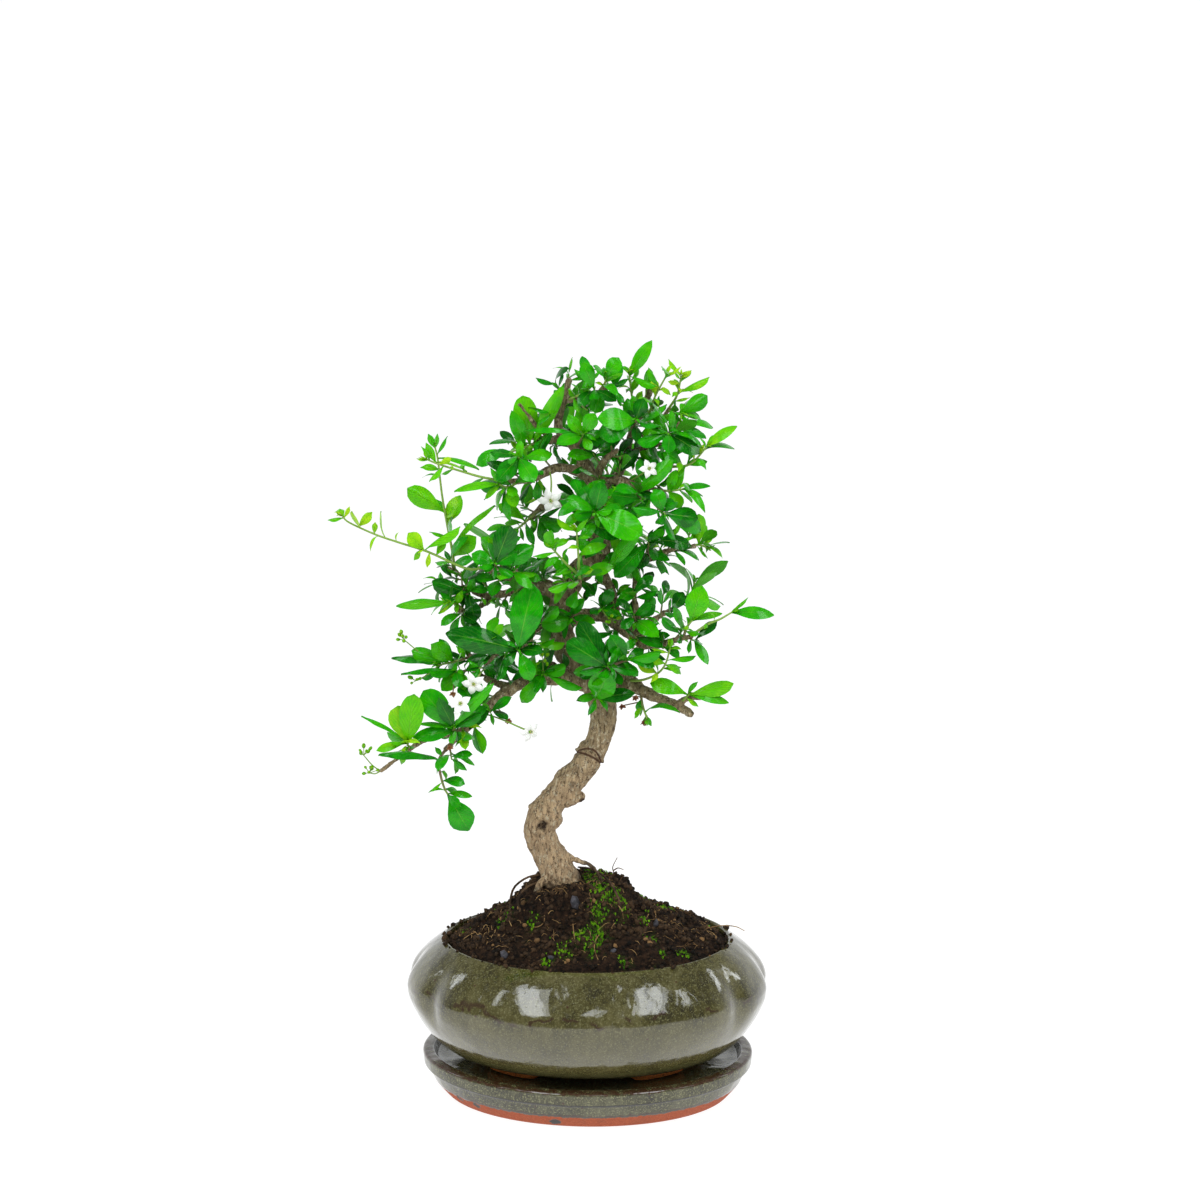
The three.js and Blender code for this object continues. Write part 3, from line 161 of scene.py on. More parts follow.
class Curve:
    """A smooth curve through points, run as the model's tubes run."""

    def __init__(self, points: Sequence[Sequence[float]]) -> None:
        self.points = np.array(points, float)

    def at(self, place: float) -> np.ndarray:
        """Return the point at a place from 0 to 1.

        Args:
            place: the place, held to that range.

        Returns:
            The point.
        """
        points = self.points
        last = len(points) - 1
        along = min(max(place, 0.0), 1.0) * last
        i = min(int(along), last - 1)
        t = along - i
        before = points[i - 1] if i > 0 else 2 * points[0] - points[1]
        after = points[i + 2] if i + 2 <= last else 2 * points[last] - points[last - 1]
        one, two = points[i], points[i + 1]
        start, end = 0.5 * (two - before), 0.5 * (after - one)
        return (
            one + start * t + (-3 * one + 3 * two - 2 * start - end) * t * t
            + (2 * one - 2 * two + start + end) * t**3
        )

    def tangent(self, place: float, step: float = 0.0001) -> np.ndarray:
        """Return the direction at a place from 0 to 1."""
        return unit(self.at(min(place + step, 1.0)) - self.at(max(place - step, 0.0)))

    def run(self, steps: int) -> np.ndarray:
        """Return the points at equal steps, both ends included."""
        return np.array([self.at(i / steps) for i in range(steps + 1)])

    def length(self) -> float:
        """Return the length from point to point."""
        return float(np.linalg.norm(np.diff(self.points, axis=0), axis=1).sum())


def curve_through(rows: Rows) -> Curve:
    """Return the smooth curve through rows of [x seen, z seen, y, ...]."""
    return Curve([seen(row[0], row[1], row[2]) for row in rows])


@contextmanager
def worked(mesh: bpy.types.Mesh) -> Iterator[bmesh.types.BMesh]:
    """Open a mesh for work, and write it back afterwards.

    Args:
        mesh: the mesh.

    Yields:
        The mesh while it is worked on.
    """
    work = bmesh.new()
    work.from_mesh(mesh)
    yield work
    work.to_mesh(mesh)
    work.free()


def outwards(mesh: bpy.types.Mesh) -> None:
    """Turn a closed mesh's faces outwards."""
    with worked(mesh) as work:
        bmesh.ops.recalc_face_normals(work, faces=work.faces)


def bare_object(name: str, points: Sequence[Sequence[float]], faces: Faces) -> bpy.types.Object:
    """Make an object from corners and faces, in no scene."""
    mesh = bpy.data.meshes.new(name)
    mesh.from_pydata([tuple(point) for point in points], [], faces)
    return bpy.data.objects.new(name, mesh)


def show(thing: bpy.types.Object) -> bpy.types.Object:
    """Put an object in the scene."""
    bpy.context.scene.collection.objects.link(thing)
    return thing


def drop(thing: bpy.types.Object) -> None:
    """Remove an object and its mesh."""
    mesh = thing.data
    bpy.data.objects.remove(thing)
    bpy.data.meshes.remove(mesh)


@dataclass
class Shape:
    """Corners and faces of one mesh while it is put together."""

    points: list[Sequence[float]] = field(default_factory=list)
    faces: Faces = field(default_factory=list)

    def ring(self, points: Iterable[Sequence[float]]) -> list[int]:
        """Add corners and return their numbers."""
        start = len(self.points)
        self.points.extend(points)
        return list(range(start, len(self.points)))

    def skin(self, rings: Sequence[Sequence[int]], ends: bool = False) -> None:
        """Add the faces that join rings of corners.

        Args:
            rings: the corner numbers of each ring; a ring of one corner is a pole.
            ends: whether the first and last ring are closed by a face of their own.
        """
        for low, high in zip(rings, rings[1:]):
            count = max(len(low), len(high))
            for j in range(count):
                k = (j + 1) % count
                if len(low) == 1:
                    self.faces.append((low[0], high[k], high[j]))
                elif len(high) == 1:
                    self.faces.append((low[j], low[k], high[0]))
                else:
                    self.faces.append((low[j], low[k], high[k], high[j]))
        if ends:
            self.faces += [tuple(reversed(rings[0])), tuple(rings[-1])]

    def build(self, name: str) -> bpy.types.Object:
        """Make the object, smooth, closed and with its faces outwards, its place in its mesh.

        Args:
            name: its name.

        Returns:
            The object, in the scene.
        """
        thing = bare_object(name, (np.array(self.points) * MM).tolist(), self.faces)
        outwards(thing.data)
        thing.data.shade_smooth()
        return show(thing)


def around(sides: int) -> list[float]:
    """Return the angles of equal steps round a circle."""
    return [2 * math.pi * j / sides for j in range(sides)]


def finished(thing: bpy.types.Object, finish: bpy.types.Material) -> None:
    """Give an object one finish."""
    thing.data.materials.clear()
    thing.data.materials.append(finish)


def sharpen(thing: bpy.types.Object, degrees: float) -> None:
    """Shade a mesh smooth except across its sharp corners."""
    thing.data.set_sharp_from_angle(angle=math.radians(degrees))


def swap_mesh(thing: bpy.types.Object) -> None:
    """Put the mesh that an object's modifiers make in place of its own, and drop the modifiers.

    Args:
        thing: the object.
    """
    seen_by = bpy.context.evaluated_depsgraph_get()
    made = bpy.data.meshes.new_from_object(
        thing.evaluated_get(seen_by), preserve_all_data_layers=True, depsgraph=seen_by
    )
    thing.modifiers.clear()
    old = thing.data
    thing.data = made
    made.name = thing.name
    bpy.data.meshes.remove(old)


def settle(piece: bpy.types.Object, nodes: Sequence[str] = ()) -> None:
    """Hand a finished piece to the frame.

    Args:
        piece: the piece.
        nodes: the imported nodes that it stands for.
    """
    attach(piece, BODY)
    if nodes:
        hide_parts(*nodes)
    triangles = sum(len(face.vertices) - 2 for face in piece.data.polygons)
    log.info("%s: %d triangles, stands for %s", piece.name, triangles, ", ".join(nodes) or "itself")


def lay_node(tree: bpy.types.NodeTree, kind: str, inputs: dict | None = None,
             **settings: object) -> bpy.types.Node:
    """Add a node to a tree.

    Args:
        tree: the tree.
        kind: the node's type.
        inputs: a value, a socket or a signal for each input, by its name or number.
        settings: the node's own settings.

    Returns:
        The node.
    """
    node = tree.nodes.new(kind)
    for key, value in settings.items():
        setattr(node, key, value)
    for key, value in (inputs or {}).items():
        source = value.socket if isinstance(value, Signal) else value
        if isinstance(source, bpy.types.NodeSocket):
            tree.links.new(source, node.inputs[key])
        else:
            node.inputs[key].default_value = value
    return node


@dataclass(frozen=True)
class Signal:
    """What one node gives, a number or a colour, to count with and to lay others over."""

    mix: "Mixer"
    socket: bpy.types.NodeSocket

    def __add__(self, other: object) -> "Signal":
        """Return the sum."""
        return self.mix.math("ADD", self, other)

    def __sub__(self, other: object) -> "Signal":
        """Return the difference."""
        return self.mix.math("SUBTRACT", self, other)

    def __rsub__(self, other: float) -> "Signal":
        """Return the difference from a number."""
        return self.mix.math("SUBTRACT", other, self)

    def __mul__(self, other: object) -> "Signal":
        """Return the product."""
        return self.mix.math("MULTIPLY", self, other)

    def __truediv__(self, other: object) -> "Signal":
        """Return the quotient."""
        return self.mix.math("DIVIDE", self, other)

    def __pow__(self, other: float) -> "Signal":
        """Return the power."""
        return self.mix.math("POWER", self, other)

    def __abs__(self) -> "Signal":
        """Return the size without its sign."""
        return self.mix.math("ABSOLUTE", self)

    def most(self, other: object) -> "Signal":
        """Return the larger of the two."""
        return self.mix.math("MAXIMUM", self, other)

    def level(self, low: float, high: float, start: float = 0.0, end: float = 1.0) -> "Signal":
        """Turn a value from low to high softly into one from start to end."""
        inputs = {"Value": self, "From Min": low, "From Max": high, "To Min": start, "To Max": end}
        return self.mix.give("ShaderNodeMapRange", inputs, interpolation_type="SMOOTHSTEP")

    def band(self, middle: float, half: float, soft: float) -> "Signal":
        """Return 1 within half of the middle, falling to 0 over soft."""
        return abs(self - middle).level(half, half + soft, 1.0, 0.0)

    def ramp(self, *stops: tuple[float, Colour]) -> "Signal":
        """Return a colour that runs through the stops as the value goes from 0 to 1.

        Args:
            stops: a place and a colour for each.

        Returns:
            The colour.
        """
        node = self.mix.add("ShaderNodeValToRGB", {0: self})
        band = node.color_ramp
        while len(band.elements) < len(stops):
            band.elements.new(1.0)
        for element, (place, colour) in zip(band.elements, stops):
            element.position = place
            element.color = colour
        return Signal(self.mix, node.outputs[0])

    def coat(self, share: object, colour: object) -> "Signal":
        """Return this colour with a share of another laid over it."""
        return self.mix.blend(share, self, colour)


class Mixer:
    """Short calls that lay out the nodes of one finish."""

    def __init__(self, name: str) -> None:
        self.material = bpy.data.materials.new(name)
        self.material.use_nodes = True
        self.tree = self.material.node_tree
        self.tree.nodes.clear()
        self.place = self.give("ShaderNodeTexCoord", socket="Object")
        self.height = self.axis("Z") * (1 / MM)

    def add(self, kind: str, inputs: dict | None = None, **settings: object) -> bpy.types.Node:
        """Add a node to the finish."""
        return lay_node(self.tree, kind, inputs, **settings)

    def give(self, kind: str, inputs: dict | None = None, socket: str | int = 0,
             **settings: object) -> Signal:
        """Add a node and return what one of its sockets gives."""
        return Signal(self, self.add(kind, inputs, **settings).outputs[socket])

    def axis(self, name: str) -> Signal:
        """Return one coordinate of the place on the piece, in metres."""
        return self.give("ShaderNodeSeparateXYZ", {0: self.place}, name)

    def math(self, operation: str, one: object, two: object = 0.0) -> Signal:
        """Return the result of one sum."""
        return self.give("ShaderNodeMath", {0: one, 1: two}, operation=operation)

    def stretched(self, x: float, y: float, z: float) -> Signal:
        """Return the place on the piece with each axis scaled."""
        return self.give("ShaderNodeMapping", {"Vector": self.place, "Scale": (x, y, z)})

    def noise(self, size: float, detail: float = 4.0, rough: float = 0.55,
              place: Signal | None = None) -> Signal:
        """Return soft noise.

        Args:
            size: how wide its clouds are, in millimetres.
            detail: how many finer layers lie on it.
            rough: how strong the finer layers are.
            place: where it is read, or None for the place on the piece.

        Returns:
            The noise, about 0.5 on average.
        """
        inputs = {"Vector": place or self.place, "Scale": 1 / (size * MM), "Detail": detail,
                  "Roughness": rough}
        return self.give("ShaderNodeTexNoise", inputs)

    def cells(self, size: float, feature: str = "F1", place: Signal | None = None) -> Signal:
        """Return the distance to the nearest of scattered dots, or to the edge between them."""
        inputs = {"Vector": place or self.place, "Scale": 1 / (size * MM)}
        return self.give("ShaderNodeTexVoronoi", inputs, "Distance", feature=feature)

    def spot(self, centre: Row, radius: float, soft: float, wander: float = 0.0) -> Signal:
        """Return 1 near a point of the piece, with an edge that wanders.

        Args:
            centre: the point, in millimetres.
            radius: how far it reaches.
            soft: how wide its edge is.
            wander: how far noise moves the edge.

        Returns:
            The spot's share.
        """
        inputs = {0: self.place, 1: tuple(v * MM for v in centre)}
        away = self.give("ShaderNodeVectorMath", inputs, "Value", operation="DISTANCE") / MM
        if wander:
            away = away + self.noise(3.0).level(0.3, 0.7, -wander, wander)
        return away.level(radius - soft / 2, radius + soft / 2, 1.0, 0.0)

    def blend(self, share: object, one: object, two: object) -> Signal:
        """Return the first colour with a share of the second laid over it."""
        return self.give("ShaderNodeMix", {0: share, 6: one, 7: two}, 2, data_type="RGBA")

    def attribute(self, name: str) -> Signal:
        """Return a number that the piece's corners carry."""
        return self.give("ShaderNodeAttribute", socket="Fac", attribute_name=name)

    def relief(self, height: Signal, depth: float, strength: float = 1.0,
               under: Signal | None = None) -> Signal:
        """Return normals that catch light as relief of this depth would.

        Args:
            height: the relief from 0 to 1.
            depth: how deep it is, in millimetres.
            strength: how much of it shows.
            under: the normals that it lies on.

        Returns:
            The normals.
        """
        inputs = {"Height": height, "Distance": depth * MM, "Strength": strength}
        if under:
            inputs["Normal"] = under
        return self.give("ShaderNodeBump", inputs)

    def finish(self, colour: Signal, rough: object, normal: Signal | None = None,
               **constants: object) -> bpy.types.Material:
        """Join colour, roughness and relief in one surface.

        Args:
            colour: its colour.
            rough: its roughness.
            normal: its relief.
            constants: the surface's other sockets, with _ for a space.

        Returns:
            The material.
        """
        inputs = {"Base Color": colour, "Roughness": rough}
        if normal:
            inputs["Normal"] = normal
        inputs.update({key.replace("_", " "): value for key, value in constants.items()})
        self.add("ShaderNodeOutputMaterial", {0: self.give("ShaderNodeBsdfPrincipled", inputs)})
        return self.material


@dataclass(frozen=True)
class Glaze:
    """Speckled olive stoneware glaze that stops short of a bare clay foot."""

    name: str
    bare_below: float
    # Top of the painted floor reflection on the glaze: ash is laid below this height
    line: float
    deep: Colour = paint(40, 36, 14)
    olive: Colour = paint(68, 63, 28)
    ash_and_reflection: Colour = paint(104, 98, 62)
    brown: Colour = paint(66, 32, 22)
    clay: Colour = paint(178, 86, 48)
    dark: Colour = paint(40, 32, 24)
    edges: tuple[float, ...] = ()
    coat: float = 0.8
    speckle: float = 0.4
    # Height of the groove, where a line of painted shade goes; 0 for none
    groove: float = 0.0
    drips: Rows = ()

    def clay_colour(self, mix: Mixer) -> Signal:
        """Return the colour of the bare clay, with grit and dirt."""
        grit = mix.noise(0.9, 5.0, 0.7)
        colour = grit.ramp((0.3, paint(146, 62, 32)), (0.55, self.clay), (0.75, paint(204, 120, 78)))
        return colour.coat(mix.noise(9.0).level(0.5, 0.8) * 0.35, paint(120, 66, 44))

    def glaze_colour(self, mix: Mixer) -> Signal:
        """Return the colour of the glaze, darker above its line, with ash laid below it as a painted
        reflection of the pale floor.

        Args:
            mix: the finish.

        Returns:
            The colour.
        """
        height = mix.height + mix.noise(16.0, 3.0).level(0.3, 0.7, -3.5, 3.5)
        runs = mix.noise(3.2, 5.0, 0.62, mix.stretched(1.0, 1.0, 0.3))
        clouds = mix.noise(22.0, 3.0) * 0.5 + runs * 0.5
        colour = clouds.ramp((0.36, self.deep), (0.5, self.olive), (0.74, self.ash_and_reflection))
        # Painted reflection: below the line, ash stands in for the pale floor mirrored in the lower belly
        colour = colour.coat(height.level(self.line - 4, self.line - 10) * 0.35, self.ash_and_reflection)
        colour = colour.coat(mix.cells(1.6).level(0.16, 0.28, 1.0, 0.0) * 0.55, self.deep)
        colour = colour.coat(mix.noise(1.0, 2.0, 0.8).level(0.54, 0.62) * self.speckle, paint(140, 138, 96))
        colour = colour.coat(mix.cells(9.0).level(0.05, 0.09, 1.0, 0.0) * 0.8, self.brown)
        streak = height.band(self.line - 2, 0.4, 1.2) * mix.noise(9.0).level(0.47, 0.56)
        return colour.coat(streak * 0.8, paint(54, 34, 20))

    def material(self) -> bpy.types.Material:
        """Build the finish and return its material."""
        mix = Mixer(self.name)
        colour = self.glaze_colour(mix)
        glossy = mix.height.level(-2.0, -1.0)
        if self.groove:
            # Painted shade in the groove: a near-black line, with its gloss taken off
            line = mix.height.band(self.groove, 0.8, 0.4)
            colour = colour.coat(line * 0.95, paint(16, 13, 9))
            glossy = glossy - line
        edge = mix.height + mix.noise(4.0, 3.0).level(0.3, 0.7, -0.5, 0.5)
        for height in self.edges:
            worn = edge.band(height, 0.35, 0.6) * mix.noise(2.0).level(0.3, 0.5)
            colour = colour.coat(worn * 0.8, self.brown)
        bare = edge.level(self.bare_below - 0.25, self.bare_below + 0.25, 1.0, 0.0)
        dull = 0.0
        for x, y, z, radius in self.drips:
            drip = mix.spot((x, y, z), radius, 0.8, 0.7)
            colour = colour.coat(drip, self.dark)
            dull = mix.math("MAXIMUM", dull, drip)
            bare = bare * (1.0 - drip)
        colour = colour.coat(edge.band(self.bare_below + 0.6, 0.3, 0.5) * 0.7, paint(52, 46, 36))
        colour = colour.coat(bare, self.clay_colour(mix))
        rough = mix.noise(5.0).level(0.3, 0.7, 0.06, 0.16).most(bare * 0.85)
        rough = rough.most(mix.math("MULTIPLY", dull, 0.5))
        waves = mix.relief(mix.noise(26.0, 2.0), 2.6, 0.75)
        waves = mix.relief(mix.noise(8.0, 2.0), 0.7, 0.5, waves)
        pits = mix.relief(mix.cells(2.6).level(0.04, 0.16), 0.25, 0.5, waves)
        grain = mix.relief(mix.noise(0.7, 4.0, 0.7) * bare, 0.4, 0.6, pits)
        shine = (glossy - bare) * self.coat * mix.math("SUBTRACT", 1.0, dull)
        return mix.finish(colour, rough, grain, Coat_Weight=shine, Coat_Roughness=0.04, Coat_IOR=1.5,
                          Specular_IOR_Level=0.6)


@dataclass(frozen=True)
class Scar:
    """The ring scar on the trunk, an arc over a flatter line: its middle as seen, its slope and its size."""

    x: float = 0.9
    z: float = 191.7
    rise: float = 0.29
    run: float = 0.898
    fall: float = 0.439
    half: float = 7.6
    lips: tuple[float, float] = (5.0, 1.1)


SCAR = Scar()


@dataclass(frozen=True)
class Bark:
    """Grey-brown bark with pale lichen, dark cracks, knots of [x, y, z, radius, depth] and the ring scar."""

    tan: Colour = paint(204, 174, 136)
    grey: Colour = paint(156, 140, 104)
    dark: Colour = paint(58, 40, 26)
    lichen: Colour = paint(214, 202, 172)
    knots: Rows = (
        (-24.4, -7.6, 155.2, 2.5, 0.95), (-2.6, -8.0, 169.8, 1.6, 0.9), (-8, -9, 179.6, 1.9, 0.5),
        (-14.3, -11, 136.1, 2.8, 0.45), (-21, -10, 160.5, 1.5, 0.3), (-4.6, -9, 187.6, 1.9, 0.25),
    )

    def material(self) -> bpy.types.Material:
        """Build the finish and return its material."""
        mix = Mixer("bark")
        along = mix.stretched(1.0, 1.0, 0.35)
        cloud = mix.noise(7.0, 5.0, 0.62)
        ground = mix.blend(mix.height.level(150.0, 250.0), self.tan, self.grey)
        colour = ground.coat(0.3, self.dark).coat(cloud.level(0.35, 0.7), ground)
        patch = mix.noise(2.2, 6.0, 0.72, mix.stretched(1.0, 1.0, 0.6)).level(0.53, 0.61)
        colour = colour.coat(patch * 0.7, self.lichen)
        crack = mix.cells(3.0, "DISTANCE_TO_EDGE", along).level(0.02, 0.1, 1.0, 0.0)
        torn = mix.noise(1.5, 6.0, 0.8, mix.stretched(1.0, 1.0, 0.42)).level(0.41, 0.48, 1.0, 0.0)
        fleck = mix.noise(4.5, 6.0, 0.8).level(0.38, 0.44, 0.75, 0.0)
        colour = colour.coat((crack * 0.15).most(torn * 0.78).most(fleck), self.dark)
        soiled = (mix.height + cloud.level(0.3, 0.7, -6.0, 6.0)).level(118.0, 126.0, 0.75, 0.0)
        soiled = soiled.most(mix.spot((6.0, -3.0, 124.0), 12.0, 4.0))
        colour = colour.coat(soiled * 0.8, paint(52, 40, 28))
        colour = colour.coat(self.scar(mix) * 0.85, paint(74, 42, 30))
        for x, y, z, radius, depth in self.knots:
            colour = colour.coat(mix.spot((x, y, z), radius, 2.0, 0.9) * depth, paint(44, 28, 22))
        normal = mix.relief(mix.noise(1.8, 6.0, 0.72, along) - crack * 0.4, 1.6, 0.9)
        return mix.finish(colour, cloud.level(0.3, 0.7, 0.95, 0.72), normal, Specular_IOR_Level=0.25)

    def scar(self, mix: Mixer) -> Signal:
        """Return how much of a spot lies on the ring scar.

        Args:
            mix: the finish.

        Returns:
            The share, from 0 to 1.
        """
        x = mix.axis("X") / MM - SCAR.x
        z = mix.height + mix.axis("Y") * (SCAR.rise / MM) - SCAR.z
        up = x * SCAR.fall + z * SCAR.run
        share = ((x * SCAR.run - z * SCAR.fall) / SCAR.half) ** 2.0
        arc, line = ((up - (1.0 - share) * lip).band(0.0, 0.3, 0.6) for lip in SCAR.lips)
        return arc.most(line) * share.level(1.1, 1.5, 1.0, 0.0)


@dataclass(frozen=True)
class LeafSkin:
    """Glossy leaf, from dark and mature to yellow-green and young, with a pale rib and side veins."""

    stages: tuple[tuple[float, Colour], ...] = (
        (0.0, paint(0, 88, 4)), (0.25, paint(22, 150, 0)), (0.5, paint(62, 180, 0)),
        (0.75, paint(100, 196, 0)), (1.0, paint(176, 224, 30)),
    )

    def material(self) -> bpy.types.Material:
        """Build the finish and return its material."""
        mix = Mixer("leaf")
        blade = {0: mix.give("ShaderNodeUVMap", uv_map="blade")}
        across = abs(mix.give("ShaderNodeSeparateXYZ", blade, "X") - 0.5)
        along = mix.give("ShaderNodeSeparateXYZ", blade, "Y")
        tone, under = mix.attribute("tone"), mix.attribute("under")
        colour = (tone + mix.noise(6.0, 3.0).level(0.3, 0.7, -0.08, 0.08)).ramp(*self.stages)
        bend = across * 0.8 + mix.noise(3.0) * 0.05
        ridge = mix.math("SINE", (along - bend) * 50.0).level(0.6, 1.0)
        rib = across.level(0.01, 0.035, 1.0, 0.0) * along.level(0.3, 1.0, 1.0, 0.2)
        speck = mix.cells(0.9).level(0.1, 0.2, 1.0, 0.0)
        for share, paler in ((ridge * 0.1, paint(100, 190, 40)), (rib * 0.35, paint(130, 205, 60)),
                             (under * 0.4, paint(96, 176, 44)), (speck * 0.1, paint(190, 220, 160))):
            colour = colour.coat(share, paler)
        rough = (tone + under * 0.6).level(0.0, 1.2, 0.15, 0.4)
        normal = mix.relief(rib * -1.0 + ridge * -0.6, 0.4, 0.8)
        normal = mix.relief(mix.noise(2.6, 2.0), 0.5, 0.5, normal)
        return mix.finish(colour, rough, normal, Specular_IOR_Level=0.22, Specular_Tint=(0.4, 1.0, 0.3, 1.0),
                          Coat_Weight=(tone + under).level(0.2, 1.0, 0.46, 0.06), Coat_Roughness=0.1)


@dataclass(frozen=True)
class StemSkin:
    """Young shoot, green at a fresh tip and brown where it has turned to wood."""

    greens: tuple[Colour, Colour] = (paint(92, 140, 44), paint(158, 188, 84))
    browns: tuple[Colour, Colour] = (paint(82, 62, 44), paint(142, 122, 92))

    def material(self) -> bpy.types.Material:
        """Build the finish and return its material."""
        mix = Mixer("shoot")
        streak = mix.noise(1.5, 4.0, 0.65)
        green, wood = mix.blend(streak, *self.greens), mix.blend(streak, *self.browns)
        colour = wood.coat(mix.attribute("tone").level(0.3, 0.7), green)
        return mix.finish(colour, 0.6, mix.relief(streak, 0.4, 0.6), Specular_IOR_Level=0.35)


@dataclass(frozen=True)
class PetalSkin:
    """White petal with faint veins; its attribute takes it to the yellow of an anther or a green calyx."""

    whites: tuple[Colour, Colour] = (paint(232, 234, 226), paint(252, 252, 248))
    yellow: Colour = paint(206, 190, 120)
    green: Colour = paint(112, 158, 58)

    def material(self) -> bpy.types.Material:
        """Build the finish and return its material."""
        mix = Mixer("petal")
        tone = mix.attribute("tone")
        vein = mix.noise(0.8, 3.0, 0.6, mix.stretched(1.0, 1.0, 0.4))
        colour = mix.blend(vein, *self.whites).coat(tone.level(0.2, 0.45), self.yellow)
        colour = colour.coat(tone.level(0.6, 0.9), self.green)
        return mix.finish(colour, 0.6, mix.relief(vein, 0.2, 0.4), Specular_IOR_Level=0.3)


@dataclass(frozen=True)
class Earth:
    """Dark moist soil, crumbly, with reddish fibres and a green film where moss grows."""

    dark: Colour = paint(16, 11, 8)
    brown: Colour = paint(58, 40, 27)
    fibre: Colour = paint(112, 78, 50)
    moss: Colour = paint(58, 88, 14)

    def material(self) -> bpy.types.Material:
        """Build the finish and return its material."""
        mix = Mixer("soil")
        colour = mix.blend(mix.noise(3.0, 7.0, 0.7).level(0.38, 0.66), self.dark, self.brown)
        fibre = mix.noise(1.2, 4.0, 0.7, mix.stretched(0.35, 1.0, 1.0)).level(0.6, 0.7)
        film = mix.attribute("moss") * mix.noise(2.4, 4.0).level(0.44, 0.6)
        colour = colour.coat(fibre * 0.45, self.fibre).coat(film * 0.75, self.moss)
        normal = mix.relief(mix.noise(1.5, 6.0, 0.75), 1.8, 1.0)
        return mix.finish(colour, 0.95, normal, Specular_IOR_Level=0.2)


@dataclass(frozen=True)
class Tinted:
    """A matt grainy finish between two colours, for crumbs, moss, straw and the nets."""

    name: str
    one: Colour
    two: Colour
    grain: float = 1.0
    rough: float = 0.85
    shine: float = 0.3
    pale: float = 0.0
    flake: Colour = paint(132, 100, 64)

    def material(self) -> bpy.types.Material:
        """Build the finish and return its material."""
        mix = Mixer(self.name)
        cloud = mix.noise(self.grain, 5.0, 0.7)
        broad = mix.noise(self.grain * 6, 3.0)
        colour = mix.blend((cloud + broad).level(0.8, 1.2), self.one, self.two)
        if self.pale:
            colour = colour.coat(mix.attribute("tone").level(1 - self.pale, 1 - self.pale * 0.6), self.flake)
        rough = cloud.level(0.3, 0.7, self.rough, min(1.0, self.rough + 0.1))
        normal = mix.relief(cloud, self.grain * 0.4, 0.7)
        return mix.finish(colour, rough, normal, Specular_IOR_Level=self.shine)


def eased(profile: Sequence[Row], radius: float, steps: int = 4) -> list[Row]:
    """Round the corners of an outline.

    Args:
        profile: its points.
        radius: how far along each side the rounding reaches.
        steps: how many points each rounding has.

    Returns:
        The outline with its two ends unchanged.
    """
    points = [np.array(point, float) for point in profile]
    out = [points[0]]
    for before, point, after in zip(points, points[1:], points[2:]):
        reach = [min(radius, np.linalg.norm(other - point) * 0.45) for other in (before, after)]
        start, end = (point + unit(other - point) * r for other, r in zip((before, after), reach))
        for i in range(steps + 1):
            t = i / steps
            out.append(start * (1 - t) ** 2 + 2 * point * t * (1 - t) + end * t**2)
    out.append(points[-1])
    return [tuple(point) for point in out]


def spread(profile: Sequence[Row], longest: float) -> list[Row]:
    """Split the long stretches of an outline so that none is longer than this.

    Args:
        profile: its points.
        longest: the longest stretch that stays whole.

    Returns:
        The outline with more points.
    """
    out = [profile[0]]
    for one, two in zip(profile, profile[1:]):
        parts = max(1, math.ceil(math.dist(one, two) / longest))
        out.extend(tuple(a + (b - a) * i / parts for a, b in zip(one, two)) for i in range(1, parts + 1))
    return out


def across_oval(half_length: float, narrower: float) -> float:
    """Return the half width of the oval of this half length."""
    full = narrower * 3
    return half_length - narrower if half_length > full else half_length * (1 - narrower / full)


@dataclass
class Ovalware:
    """A piece of oval pottery turned from an outline of half lengths and heights."""

    narrower: float
    turn: float
    segments: int = 192

    def place(self, half: float, angle: float) -> tuple[float, float]:
        """Return where the oval of this half length lies at an angle, before it is turned."""
        return half * math.cos(angle), across_oval(half, self.narrower) * math.sin(angle)

    def lathe(self, profile: Sequence[Row],
              dent: Callable[[float, float], float] = lambda angle, z: 0.0) -> Shape:
        """Turn a closed outline, which starts and ends on the axis.

        Args:
            profile: half length and height of each ring, from the underside's centre out and over.
            dent: how far the wall is pressed in at an angle and height.

        Returns:
            The turned shape.
        """
        shape = Shape()
        rings = []
        for half, z in profile:
            ring = []
            for angle in around(self.segments if half > NEAR else 1):
                x, y = self.place(half, angle)
                pressed = 1 - dent(angle, z) / math.hypot(x, y) if half > NEAR else 0.0
                ring.append((*turned(x * pressed, y * pressed, self.turn), z))
            rings.append(shape.ring(ring))
        shape.skin(rings)
        return shape


